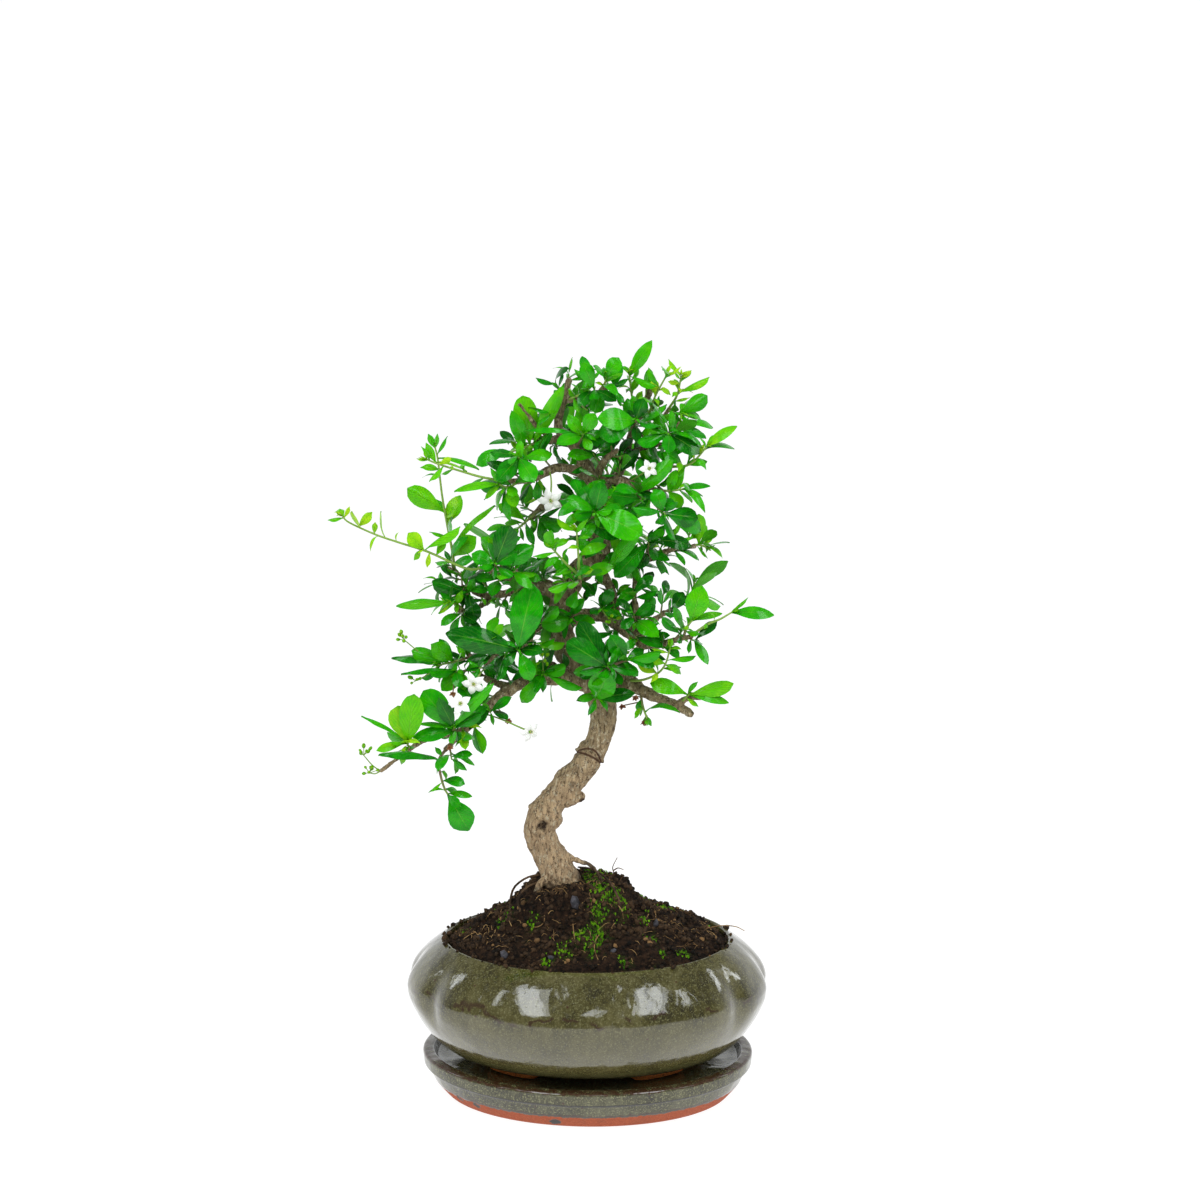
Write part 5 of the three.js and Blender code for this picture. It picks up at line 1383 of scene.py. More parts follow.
SPRAYS: tuple[Spray, ...] = (
    Spray(
        "top_left", 0.5, ((-24, 368, 7), (-31, 364.5, 2), (-41, 361, -4)), (2, 19),
        leaves=(
            (0.3, -12, 397, -3, 8, 0.8), (0.45, -34, 391.5, 2, 13, 0.9), (0.6, -40, 383.5, -3, 8, 0.9),
            (1, -60, 355, -4, 9, 0.6),
        ),
    ),
    Spray(
        "top_stub", 0.6, ((-10, 389, -1), (-6, 391, -6), (-1, 393, -9)), (2, 13),
        leaves=((0.8, 3.5, 401.5, -2, 8, 0.8), (0.5, -10, 395, -3, 7, 0.7)),
    ),
    Spray(
        "top_twig", 0.5, ((7, 394.5, -9), (9.5, 398, -12), (10.5, 402, -13)), (1, 13),
        leaves=((0.8, 17, 412, -2, 14, 0.95), (0.1, 4.5, 382, -5, 8, 0.9), (0.3, 16.5, 393.5, -2, 5, 0.5)),
    ),
    Spray(
        "top_mid", 0.35, ((-6, 363, 0), (-3, 368, -10), (-2, 371, -18)), (2, 20),
        leaves=(
            (1, 4.5, 382, -3, 9, 0.8), (0.8, -10, 381, 2, 7, 0.8), (0.7, -33, 372.5, -6, 5, 0.25),
            (0.8, -16, 365, -8, 9, 0.5), (0.9, 6, 369, -7, 6, 0.4),
        ),
    ),
    Spray(
        "top_dark", 0.1, ((23, 371, 4), (25, 375, -8), (26, 378, -17)), (3, 22),
        leaves=(
            (1, 5.5, 379, -4, 13, 0.75), (0.9, 7, 369.5, -8, 13, 0.8), (0.7, 7.5, 363.5, -10, 8, 0.5),
            (0.9, 30, 390, 0, 10, 0.8), (0.5, 21.5, 390, 3, 7, 0.7),
        ),
    ),
    Spray(
        "top_high", 0.7, ((27, 381, 6), (24, 391, 6), (22.5, 403, 5)), (1, 13),
        leaves=(
            (1, 34.5, 421, -2, 7.5, 0.85), (0.6, 27, 401, -2, 7, 0.8), (0.3, 29.5, 394, -1, 7, 0.7),
            (0.95, 37, 396.5, -4, 5, 0.4), (0.9, 15, 397.5, -3, 5, 0.5),
        ),
    ),
    Spray(
        "top_right", 0.8, ((31, 371.4, 8), (35, 388, 2), (42, 402, -1)), (2, 13),
        leaves=(
            (1, 44.5, 409, 0, 3, 0.6), (1, 50, 407, 2, 3, 0.5), (0.75, 45, 393, -3, 8, 0.6),
            (0.6, 35.5, 402, 2, 9, 0.8), (0.2, 40.5, 383.5, -6, 9, 0.7),
        ),
    ),
    Spray(
        "top_far", 0.8, ((43.5, 384.5, 16), (48, 392, 15), (50, 402, 13)), (2, 12),
        leaves=(
            (1, 55.5, 405, 0, 5, 0.6), (0.5, 65, 401.5, -2, 5, 0.3), (0.9, 46, 404.5, -2, 4, 0.5),
            (0.8, 43, 399, -2, 6, 0.7),
        ),
    ),
    Spray(
        "right_high", 0.55, ((43.5, 383.5, 15), (47, 382, 8), (50, 381.5, 3)), (2, 16),
        leaves=(
            (1, 64, 391.5, -2, 9, 0.85), (0.9, 53, 389.5, 2, 8, 0.8), (1, 63.5, 378, -2, 4, 0.4),
            (0.6, 38, 376.5, -6, 6, 0.4), (0.9, 57.5, 374.5, -4, 5, 0.4),
        ),
    ),
    Spray(
        "right_shoulder", 0.25, ((47.5, 367, -7), (45, 370.5, -16), (43, 371, -22)), (3, 21),
        leaves=((0.8, 63.5, 366, 2, 5, 0.35), (0.6, 60, 360, -4, 10, 0.75), (0.9, 27, 366, -6, 8, 0.6)),
    ),
    Spray(
        "right_tip", 0.6, ((44.5, 353, -12), (55, 354.5, -16), (64, 364, -18)), (3, 18),
        leaves=(
            (1, 80, 375, 0, 7, 0.5), (0.97, 72, 372, 2, 4, 0.5), (0.4, 44, 340, -4, 8, 0.8),
            (0.3, 41, 361, -6, 8, 0.6),
        ),
    ),
    Spray(
        "right_a", 0.45, ((32, 341.6, -15), (43, 340, -22), (52, 341, -26)), (2, 17),
        leaves=(
            (1, 66, 342.5, 0, 6, 0.35), (0.9, 62, 337, -2, 4, 0.3), (0.95, 64, 331, -4, 5, 0.4),
            (0.5, 51, 331, -6, 8, 0.6),
        ),
    ),
    Spray(
        "right_b", 0.25, ((30.5, 341.4, -15), (36, 333, -26), (42, 327, -34)), (2, 19),
        leaves=(
            (0.9, 36.5, 341, -2, 14, 0.95), (1, 59.5, 325, -3, 14, 0.85), (0.95, 24, 331, -4, 5, 0.35),
            (0.9, 63, 318, 3, 9, 0.8),
        ),
    ),
    Spray(
        "right_c", 0.6, ((56, 309.8, 15), (60, 310.5, 16), (64.5, 309, 17)), (2, 9),
        leaves=((0.5, 60, 327.5, -2, 8, 0.8), (1, 75.5, 305, 0, 5, 0.5)),
    ),
    Spray(
        "right_d", 0.2, ((33, 302.5, 7), (33, 307, -1), (33, 312, -8)), (3, 15),
        leaves=((0.95, 57, 311, -3, 9, 0.6), (1, 14.5, 292.5, -8, 10, 0.85), (0.4, 44.5, 302, -3, 5, 0.7)),
    ),
    Spray(
        "right_e", 0.15, ((28, 266, -10), (26, 269, -15), (25, 272, -18)), (1, 14),
        leaves=(
            (0.9, 37, 277, 1, 10, 0.95), (1, 16.5, 281, -2, 5, 0.5), (0.6, 39, 267, 0, 4, 0.4),
            (0.4, 39, 259.5, -4, 9, 0.85),
        ),
    ),
    Spray(
        "right_f", 0.45, ((52, 259, -26), (54, 265, -28), (57, 269, -29)), (1, 12),
        leaves=((1, 62, 288, 0, 16, 1), (0.95, 73, 272.5, 0, 5, 0.5), (0.3, 61, 261, -3, 5, 0.7)),
    ),
    Spray(
        "right_shoot", 0.65, ((56, 260, -28), (65, 266.5, -29), (72, 269.5, -30), (78.5, 273.5, -31)),
        (1, 8), leaves=((1, 101, 271.5, 0, 8, 0.6), (1, 87, 281.5, 1, 3, 0.5)),
    ),
    Spray(
        "right_g", 0.75,
        ((21, 235, -7), (30, 235.5, -20), (38, 239, -27), (42.5, 244.5, -31), (45, 253.5, -33)), (1, 10),
        leaves=(
            (0.72, 52.5, 240, -2, 7, 0.6), (0.8, 59, 249, 0, 4, 0.3), (0.75, 32, 247, -2, 8, 0.75),
            (1, 51.5, 254.5, 0, 4, 0.4), (1, 46, 259, 0, 3, 0.6), (0.92, 35, 253, 0, 4, 0.5),
            (0.5, 27, 244.5, -5, 7, 0.6),
        ),
    ),
    Spray(
        "right_h", 0.55, ((51, 223, -20), (53.5, 225.5, -25), (55.5, 227.5, -28)), (0, 10),
        leaves=(
            (0.9, 34, 234.5, -2, 9, 0.75), (1, 79.5, 233.5, 0, 8.5, 0.75), (0.9, 77, 222.5, -1, 6, 0.6),
            (0.8, 66, 227.5, 0, 5, 0.5), (0.6, 60.5, 220.5, -3, 4, 0.6),
        ),
    ),
    Spray(
        "right_i", 0.4, ((29, 230, -11), (30, 222, -16), (32.5, 214, -18)), (1, 9),
        leaves=((0.3, 27, 217, -3, 7, 0.8), (0.9, 35, 209.5, 0, 5, 0.6), (0.8, 50, 221, -2, 5, 0.3)),
    ),
    Spray(
        "mid_top", 0.2, ((3.5, 331.5, -29), (4, 329, -37), (4.5, 328, -41)), (2, 20),
        leaves=(
            (1, 8, 345.5, -2, 10, 0.95), (0.9, -3, 343.5, -1, 7, 0.9), (0.6, -7, 326, -3, 7, 0.7),
            (0.9, 19, 329, -5, 8, 0.75), (1, 30, 316, -5, 15, 0.9),
        ),
    ),
    Spray(
        "mid_right", 0.15, ((24, 344, -11), (27, 338.5, -22), (29, 335, -28)), (2, 20),
        leaves=((1, 13, 338, -3, 12, 0.95), (0.5, 46, 357, -3, 9, 0.8)),
    ),
    Spray(
        "mid_shoots", 0.56, ((-4, 290, -27), (-4.5, 303, -36), (-5.5, 318, -40)), (1, 11),
        side=((-4, 293.5, -29), (-11, 300, -37), (-19, 309, -41)),
        leaves=(
            (1, -9, 323.5, 0, 4, 0.8), (1, -1.5, 323.5, 0, 4, 0.8), (0.55, 10.5, 311.5, -3, 6, 0.75),
            (0.7, 4, 323, -1, 6, 0.7), (0.2, 3.5, 297, -3, 8, 0.8),
        ),
        side_leaves=(
            (1, -23.5, 313, 0, 5, 0.7), (0.95, -10, 315, -1, 6, 0.6), (0.95, -21, 318, 0, 6, 0.7),
            (0.85, -29, 304, -2, 5, 0.35),
        ),
    ),
    Spray(
        "mid_low", 0.15, ((10, 241, -22), (11, 242, -30), (11, 243, -35)), (1, 17),
        side=((10.5, 241.5, -26), (17, 245, -29), (22, 246.5, -31)),
        leaves=(
            (1, -11, 257, -4, 13, 0.9), (0.9, 28, 240, -4, 5, 0.3), (0.8, -4, 240, -3, 5, 0.6),
            (0.7, -4.5, 268, 2, 12, 0.85),
        ),
        side_leaves=((1, 12.5, 261, -3, 10, 0.9), (1, 40, 251, -2, 7, 0.6), (0.9, 37, 244, -6, 7, 0.5)),
    ),
    Spray(
        "mid_trunk", 0.3, ((6, 228, -8), (5, 226, -14), (5, 225, -18)), (1, 12),
        leaves=((0.9, 11.5, 239.5, -2, 15, 0.95), (1, 26, 228, -3, 8, 0.85)),
    ),
    Spray(
        "mid_left", 0.2, ((-13, 274, -2), (-8, 271, -10), (-8, 269, -14)), (2, 14),
        leaves=(
            (1, -24.5, 265.5, -2, 11, 0.9), (0.5, -20, 274.5, -4, 4, 0.6), (0.4, -1.5, 281, -6, 6, 0.8),
        ),
    ),
    Spray(
        "mid_bud", 0.3, ((4, 272, -3), (7, 275.5, -10), (8, 275, -14)), (2, 13),
        leaves=((0.7, 8.5, 284.5, 1, 8, 0.8), (1, 17, 271, -1, 8, 0.8)),
    ),
    Spray(
        "left_big", 0.2, ((-35, 252, -25), (-37, 252, -33), (-37.5, 252.5, -38)), (1, 16),
        leaves=(
            (1, -29, 289, -2, 17, 0.95), (0.8, -76.5, 261.5, -4, 14, 0.85), (0.6, -30, 235, -8, 9, 0.7),
        ),
    ),
    Spray(
        "left_hang", 0.3, ((-25, 236.5, -12), (-24, 239, -19), (-23.5, 238.5, -24)), (2, 14),
        leaves=(
            (0.9, -36.5, 222, -2, 8, 0.9), (0.7, -11.5, 243, -3, 8, 0.6), (0.9, -2.5, 231, -2, 6, 0.4),
            (0.4, -36, 245.5, -2, 8, 0.6),
        ),
    ),
    Spray(
        "left_front", 0.15, ((-48, 297.5, -33), (-49, 299, -40), (-49.5, 300, -44)), (1, 17),
        leaves=(
            (1, -41, 321, -3, 13, 0.95), (0.9, -37.5, 306.5, -2, 11, 0.9), (0.8, -62, 305.5, 0, 8, 0.8),
            (0.7, -28.5, 309.5, -4, 11, 0.9),
        ),
    ),
    Spray(
        "left_inner", 0.5, ((-24, 330.5, 17), (-33, 323, 9), (-42, 315, 3)), (4, 17),
        leaves=((0.8, -54, 320, -2, 6, 0.35), (1, -55.5, 315, -3, 5, 0.3), (0.5, -47.5, 333.5, -2, 8, 0.6)),
    ),
    Spray(
        "left_slim", 0.55, ((-36, 345.5, -15), (-42, 342, -21), (-47, 343.5, -24)), (2, 20),
        leaves=(
            (1, -71, 339.5, -2, 6, 0.45), (0.9, -54.5, 335.5, 0, 4, 0.5), (0.5, -38, 331, -5, 9, 0.8),
            (0.2, -27, 353, -4, 9, 0.8),
        ),
    ),
    Spray(
        "left_upper", 0.35, ((-27, 347.5, -12), (-32, 354, -18), (-37, 358.5, -21)), (3, 20),
        leaves=((0.9, -48, 345, -5, 10, 0.75), (1, -28, 344.5, -6, 10, 0.8), (0.8, -18.5, 360, -3, 8, 0.6)),
    ),
    Spray(
        "left_tip", 0.75,
        ((-43, 345.2, -17), (-56, 347.5, -19), (-68, 351, -20), (-79, 354.5, -21), (-85, 357, -21)), (1, 9),
        leaves=(
            (1, -91, 357.5, 0, 3, 0.4), (0.98, -87, 364, 0, 3, 0.6), (0.75, -72, 358, -2, 6, 0.85),
            (0.85, -64, 350.5, -2, 4, 0.3),
        ),
    ),
    Spray(
        "left_upright", 0.65,
        (
            (-71, 296.2, 12.5), (-72.5, 308, 11), (-75, 322, 10), (-77.5, 338, 9), (-79.5, 357, 8),
            (-81, 364, 8),
        ),
        (2, 12),
        leaves=(
            (0.48, -96, 341.5, -3, 11, 0.95), (0.4, -67.5, 337.5, 3, 9, 0.6), (0.2, -49, 332, 4, 5, 0.2),
            (0.13, -59.5, 315, -2, 10, 0.85), (1, -84.5, 371, 0, 5, 0.8), (1, -79.5, 371, 1, 4, 0.7),
            (0.82, -57.5, 351.5, -3, 5, 0.3),
        ),
    ),
    Spray(
        "left_long", 0.85,
        (
            (-55, 298, -20), (-65, 297.5, -25), (-85, 306.5, -30), (-100, 311.5, -32), (-113, 316, -33),
            (-127, 322.5, -34), (-131, 326, -34),
        ),
        (1, 13),
        leaves=(
            (1, -139, 324, 0, 4, 0.5), (0.97, -127, 331.5, 0, 3.5, 0.6), (0.78, -115, 328.5, -2, 8, 0.8),
            (0.68, -113.5, 323, -2, 7, 0.9), (0.36, -96, 317, -2, 10, 0.8), (0.38, -93, 302, -2, 8, 0.7),
            (0.36, -68, 320.5, -3, 6, 0.4), (0.33, -86, 298, -4, 4, 0.4), (0.3, -76, 313.5, 2, 10, 0.8),
        ),
    ),
    Spray(
        "left_dark", 0.1, ((-66, 286.7, 8), (-65, 284, 0), (-64, 283.5, -5)), (2, 14),
        leaves=(
            (1, -83.5, 290.5, -2, 10, 0.65), (0.9, -60, 268, -2, 9, 0.95), (0.6, -60.5, 292, -3, 7, 0.8),
        ),
    ),
    Spray(
        "left_pod", 0.5, ((-66, 274.2, -4), (-70, 277.5, -9), (-74, 278.5, -12)), (2, 13),
        leaves=((1, -103, 276.5, 0, 6, 0.7), (0.9, -80.5, 272.5, 0, 4, 0.5), (0.5, -68, 284.5, -4, 8, 0.8)),
    ),
    Spray(
        "left_low", 0.4, ((-63.5, 248.5, -7), (-71, 246, -14), (-80, 244, -18)), (3, 16),
        leaves=(
            (1, -106, 247.5, 0, 6, 0.45), (0.7, -95, 252, -2, 9, 0.75), (0.55, -84.5, 255.5, -4, 10, 0.85),
            (0.2, -69, 254.5, -4, 7, 0.5),
        ),
    ),
    Spray(
        "left_star", 0.35, ((-61, 242, -9), (-67, 240.5, -17), (-71, 240, -22)), (3, 13),
        leaves=(
            (1, -101, 238.5, 0, 4, 0.4), (0.9, -86, 240, -3, 6, 0.5), (0.7, -79, 229.5, -4, 9, 0.85),
            (0.4, -55, 246, -4, 7, 0.6),
        ),
    ),
    Spray(
        "low_rosette", 0.25, ((-70, 203.5, -35), (-72.5, 206, -42), (-72.5, 209, -46)), (1, 13),
        leaves=(
            (1, -89, 229.5, 0, 14, 0.95), (0.9, -81, 225.5, -4, 8, 0.85), (1, -50.5, 233.5, -3, 6, 0.6),
            (0.8, -57.5, 217, -3, 6, 0.6), (0.9, -53, 222.5, -1, 7, 0.75), (0.6, -95, 203, -3, 8, 0.8),
            (0.8, -92, 210.5, -5, 4, 0.4),
        ),
    ),
    Spray(
        "low_yellow", 0.62, ((-95, 198, -40), (-97, 198, -46), (-98.5, 200, -50)), (1, 12),
        leaves=(
            (1, -103, 221, -3, 17, 1), (0.8, -94, 227.5, 3, 13, 1), (1, -115, 195.5, -2, 6, 0.5),
            (0.9, -123, 215, 0, 3, 0.3), (0.6, -103, 186, -2, 5, 0.8), (0.9, -109, 206, 2, 5, 0.7),
        ),
    ),
    Spray(
        "low_hanging", 0.3,
        ((-77, 196.5, -38), (-81, 190, -42), (-80, 181, -43), (-78, 174, -43), (-75.8, 170, -43)), (0, 9),
        leaves=(
            (0.25, -114, 193, -3, 6, 0.5), (1, -65, 150, -2, 17.5, 1), (1, -63, 169.5, 2, 5, 0.5),
            (0.85, -88, 174.5, 0, 3, 0.4), (0.15, -82.5, 197.5, -2, 6, 0.7),
        ),
    ),
    Spray(
        "back_high", 0.25, ((12, 341, 26), (13, 344, 40), (11, 350, 52), (9, 356, 58)), (8, 23), leaves=(),
    ),
    Spray(
        "back_left", 0.3, ((-34, 294.8, 28), (-40, 298, 40), (-44, 303, 50), (-46, 309, 56)), (8, 23),
        leaves=(),
    ),
    Spray(
        "back_mid", 0.2, ((17, 315, 28), (20, 317, 42), (23, 322, 54), (24, 328, 60)), (8, 23), leaves=(),
    ),
    Spray(
        "back_low", 0.3, ((-24, 261.8, 28), (-29, 264, 42), (-32, 268, 52), (-34, 274, 57)), (8, 22),
        leaves=(),
    ),
    Spray(
        "back_right", 0.35, ((44, 274.5, 18), (51, 278, 28), (56, 283, 38), (58, 290, 44)), (8, 22),
        leaves=(),
    ),
    Spray(
        "back_top", 0.4, ((-5, 367, 23), (-7, 372, 34), (-8, 379, 43), (-9, 386, 47)), (8, 20), leaves=(),
    ),
)

BLOOMS: tuple[Bloom, ...] = (
    Bloom("inner", ((-20, 351.5, -9), (-19, 345, -19), (-19.5, 335, -25)), 9.5),
    Bloom("left", ((-55, 242.5, -33), (-58, 239, -42), (-61.5, 233.5, -47)), 9),
    Bloom("low", ((-65, 208.8, -33), (-66, 216, -44), (-69, 222, -53)), 8.5),
    Bloom("hanging", ((-57, 217, -28), (-47, 213.5, -35), (-37, 209, -38), (-31.5, 206.5, -39)), 8),
)
SMALL_BLOOMS: tuple[Bloom, ...] = (Bloom("high", ((24, 346, -12), (29, 349, -20), (33, 352, -27)), 7.0),)

# Green buds and brown calyces: [x seen, z seen, y]
BUD_CLUSTERS: Rows = (
    (-99, 258, -22), (-93, 235, -24), (-122, 193, -42), (-119, 183, -42), (13, 269, -14), (-24, 246, -22),
    (25, 253, -18), (38, 368, -4), (-40, 349, -18),
)
DRY_CALYCES: Rows = (
    (-73, 228, -34), (-43, 213, -32), (-75, 198, -40), (26, 226, -14), (19, 221, -12), (31, 212, -16),
)

# Roots over the soil, as the photograph shows them: [x seen, z seen, lift over the soil]
DARK_ROOTS: tuple[Rows, ...] = (
    ((-42, 101, 0), (-42.5, 109, 3), (-40.5, 117, 7), (-34, 122.5, 8), (-27, 124.5, 6), (-21, 124, 2)),
    ((-37, 103, 0), (-38, 111, 3), (-33, 117.5, 5), (-27, 120, 4), (-21, 121, 1)),
    ((19, 104, 0), (15, 116, 3), (9, 124, 5), (2, 128, 4), (-5, 129, 1)),
)
PALE_ROOTS: tuple[Rows, ...] = (
    ((-23.7, 101, 0.5), (-24, 97, 1.2), (-27, 94.5, 1.0), (-31, 94, 0.2)),
    ((-8, 96, 0.3), (-7.4, 90, 1.0), (-6.5, 84.5, 0.2)),
    ((7, 90.5, 0.2), (4.4, 86, 1.2), (4, 81, 1.2), (6, 75, 0.3)),
    ((34, 102, 0.2), (32.5, 99, 1.0), (30, 96, 0.2)), ((16, 108, 0.3), (19, 104, 1.4), (20, 99, 0.2)),
)
# Rootlets that stand over the mound: [x seen, z seen, y]
STANDING_ROOTS: tuple[Rows, ...] = (
    ((13, 118, 8), (14.5, 125, 7), (14, 129, 6), (16.5, 134.5, 5)),
    ((14.3, 127, 6.5), (17, 128.5, 5), (20, 127.5, 4)),
    ((64, 93, 0), (74, 95, -3), (82, 94.5, -5), (87, 92, -6)),
)
# Leaves in front of the upper trunk: [x seen, z seen, y] of root and tip, width, age
FRONT_LEAVES: Rows = (
    (11, 296, -8, 30, 321, -15, 8, 0.45), (-1, 329, -8, 7.5, 346, -14, 10, 0.4),
    (-3, 322, -9, 20, 316, -15, 11, 0.05), (-1, 303, -9, 9, 315, -16, 7, 0.3),
    (12, 331, -8, 27, 322, -12, 10, 0.15), (8, 306, -9, -6, 311, -14, 7, 0.35),
)
# Stones and bits of bark in the soil: [x seen, z seen, size]
STONES: Rows = (
    (-7, 109, 7.5), (-46, 78, 5.5), (-20, 76, 4.0), (38, 96, 4.5), (14, 80, 3.5), (-60, 88, 4.0),
)


class Blade(Enum):
    """The leaf forms, in the order in which a crown's points pick them."""

    SPOON = 0
    SPOON_CURLED = 1
    SPOON_FOLDED = 2
    LANCE = 3
    LANCE_CURLED = 4
    YOUNG = 5
    YOUNG_CURLED = 6
    BROAD = 7
    BROAD_WAVED = 8
    LONG = 9
    PETAL = 10
    STAMEN = 11
    BUD = 12


@dataclass(frozen=True)
class BladeForm:
    """The sizes of one leaf form, as shares of its length unless they say otherwise.

    widest is where the blade is widest, wedge is how slender its base is (1 is round), blunt how round its
    tip is, bow how far it arches, curl how far its tip turns down, fold how far its sides drop for their
    width, wave how far its edge ripples, teeth how deep the notches at the tip are.
    """

    widest: float
    wedge: float = 1.5
    blunt: float = 0.5
    bow: float = 0.1
    curl: float = 0.0
    fold: float = 0.1
    wave: float = 0.0
    teeth: float = 0.0
    along: int = 8
    across: int = 4
    thick: float = 0.02

    def half_width(self, v: float) -> float:
        """Return the half width at a share of the length, 0.5 at the widest.

        Args:
            v: the share of the length.

        Returns:
            The half width.
        """
        if v < self.widest:
            width = math.sin(math.pi / 2 * v / self.widest) ** self.wedge
        else:
            width = max(0.0, math.cos(math.pi / 2 * (v - self.widest) / (1 - self.widest))) ** self.blunt
        return 0.5 * max(width, 0.07)

    def corner(self, i: int, j: int, side: int) -> tuple[Row, Row]:
        """Return one corner and its place on the leaf's map.

        Args:
            i: its row, from the base.
            j: its place across.
            side: 0 on the upper face and 1 on the lower one.

        Returns:
            The corner and its two coordinates on the map.
        """
        v = (i / self.along) ** 0.9
        half = self.half_width(v)
        if self.teeth and i >= self.along - 2:
            half *= 1 - self.teeth * (i % 2)
        u = 2 * j / self.across - 1
        x = u * half
        z = self.bow * 4 * v * (1 - v) - self.fold * abs(x) * 0.9 - self.curl * v**3
        z += self.wave * math.sin(v * 14 + (0 if u > 0 else 1.4)) * abs(u)
        z += 0.022 * (abs(u) ** 0.7) - (self.thick if side and abs(u) < 0.99 else 0.0)
        return (x, v - 0.35 * self.curl * v**3, z), (0.5 + 0.5 * u, v)

    def faces(self) -> Faces:
        """Return the faces: the upper side, the lower side, then the ends.

        Returns:
            The corner numbers of each face.
        """
        columns, below = self.across + 1, (self.along + 1) * (self.across + 1)
        upper = [
            (a, a + 1, a + 1 + columns, a + columns)
            for i in range(self.along) for a in range(i * columns, i * columns + self.across)
        ]
        lower = [tuple(corner + below for corner in reversed(face)) for face in upper]
        ends = []
        for j in range(self.across):
            a = self.along * columns + j
            ends += [(j, below + j, below + j + 1, j + 1), (a, a + 1, below + a + 1, below + a)]
        return upper + lower + ends

    def build(self, name: str) -> bpy.types.Object:
        """Make the blade, one long along Y, one wide along X and facing +Z, in no scene.

        Args:
            name: the object's name.

        Returns:
            The object, a thin closed blade with its UV map and under attribute.
        """
        rows, columns = self.along + 1, self.across + 1
        corners = [self.corner(i, j, side) for side in (0, 1) for i in range(rows) for j in range(columns)]
        faces = self.faces()
        blade = bare_object(name, [point for point, _ in corners], faces)
        mesh = blade.data
        layer = mesh.uv_layers.new(name="blade")
        at = np.zeros(len(mesh.loops), np.int32)
        mesh.loops.foreach_get("vertex_index", at)
        layer.data.foreach_set("uv", np.array([place for _, place in corners])[at].ravel())
        under = mesh.attributes.new("under", "FLOAT", "FACE")
        under.data.foreach_set("value", [1.0 if min(face) >= rows * columns else 0.0 for face in faces])
        with worked(mesh) as work:
            rims = [v for v in work.verts if v.index % columns in (0, columns - 1)]
            bmesh.ops.remove_doubles(work, verts=rims, dist=1e-5)
        mesh.shade_smooth()
        sharpen(blade, 75)
        return blade


def pod(name: str, profile: Sequence[Row], sides: int = 6) -> bpy.types.Object:
    """Make a small round form, such as a bud or a stamen, one long along Y.

    Args:
        name: the object's name.
        profile: radius and place along of each ring between its two ends.
        sides: how many sides it has.

    Returns:
        The object, in no scene.
    """
    shape = Shape()
    rings = []
    for radius, along in profile:
        angles = around(sides) if radius else [0.0]
        rings.append(shape.ring((radius * math.cos(a), along, radius * math.sin(-a)) for a in angles))
    shape.skin(rings)
    thing = bare_object(name, shape.points, shape.faces)
    thing.data.uv_layers.new(name="blade")
    thing.data.attributes.new("under", "FLOAT", "FACE")
    thing.data.shade_smooth()
    return thing


BLADE_FORMS = {
    Blade.SPOON: BladeForm(0.66, teeth=0.12),
    Blade.SPOON_CURLED: BladeForm(0.68, bow=0.14, curl=0.12),
    Blade.SPOON_FOLDED: BladeForm(0.62, fold=0.42, bow=0.07),
    Blade.LANCE: BladeForm(0.54, wedge=1.2, blunt=0.62, bow=0.1),
    Blade.LANCE_CURLED: BladeForm(0.55, wedge=1.2, blunt=0.62, bow=0.16, curl=0.2, wave=0.012),
    Blade.YOUNG: BladeForm(0.58, wedge=1.2, blunt=0.8, bow=0.08, fold=0.35, teeth=0.2),
    Blade.YOUNG_CURLED: BladeForm(0.6, wedge=1.3, blunt=0.8, bow=0.2, curl=0.35, fold=0.3, teeth=0.2),
    Blade.BROAD: BladeForm(0.64, wedge=1.25, blunt=0.45, bow=0.08, fold=0.12, along=16, across=8),
    Blade.BROAD_WAVED: BladeForm(0.6, wedge=1.2, bow=0.12, curl=0.06, wave=0.018, along=16, across=8),
    Blade.LONG: BladeForm(0.56, wedge=1.1, blunt=0.6, bow=0.12, fold=0.2, wave=0.01, along=16, across=8),
    Blade.PETAL: BladeForm(0.45, wedge=0.6, blunt=0.9, bow=0.16, curl=0.3, fold=0.4, along=6, thick=0.05),
}
PODS = {
    Blade.STAMEN: ((0, 0), (0.025, 0.02), (0.02, 0.72), (0.1, 0.76), (0.12, 0.88), (0, 1)),
    Blade.BUD: ((0, 0), (0.1, 0.05), (0.26, 0.3), (0.3, 0.62), (0.16, 0.9), (0, 1)),
}


class Shelf:
    """Forms outside the scene, which the dressed points pick by their order."""

    def __init__(self, name: str, things: Iterable[bpy.types.Object] = ()) -> None:
        self.forms = bpy.data.collections.new(name)
        for thing in things:
            self.forms.objects.link(thing)

    def clear(self) -> None:
        """Remove the forms, once every piece has its own copies."""
        for thing in list(self.forms.objects):
            drop(thing)
        bpy.data.collections.remove(self.forms)


def blade_shelf() -> Shelf:
    """Make the leaf, petal, stamen and bud forms."""
    blades = [form.build(f"blade_{blade.value:02d}") for blade, form in BLADE_FORMS.items()]
    pods = [pod(f"blade_{blade.value:02d}", form) for blade, form in PODS.items()]
    return Shelf("blades", blades + pods)


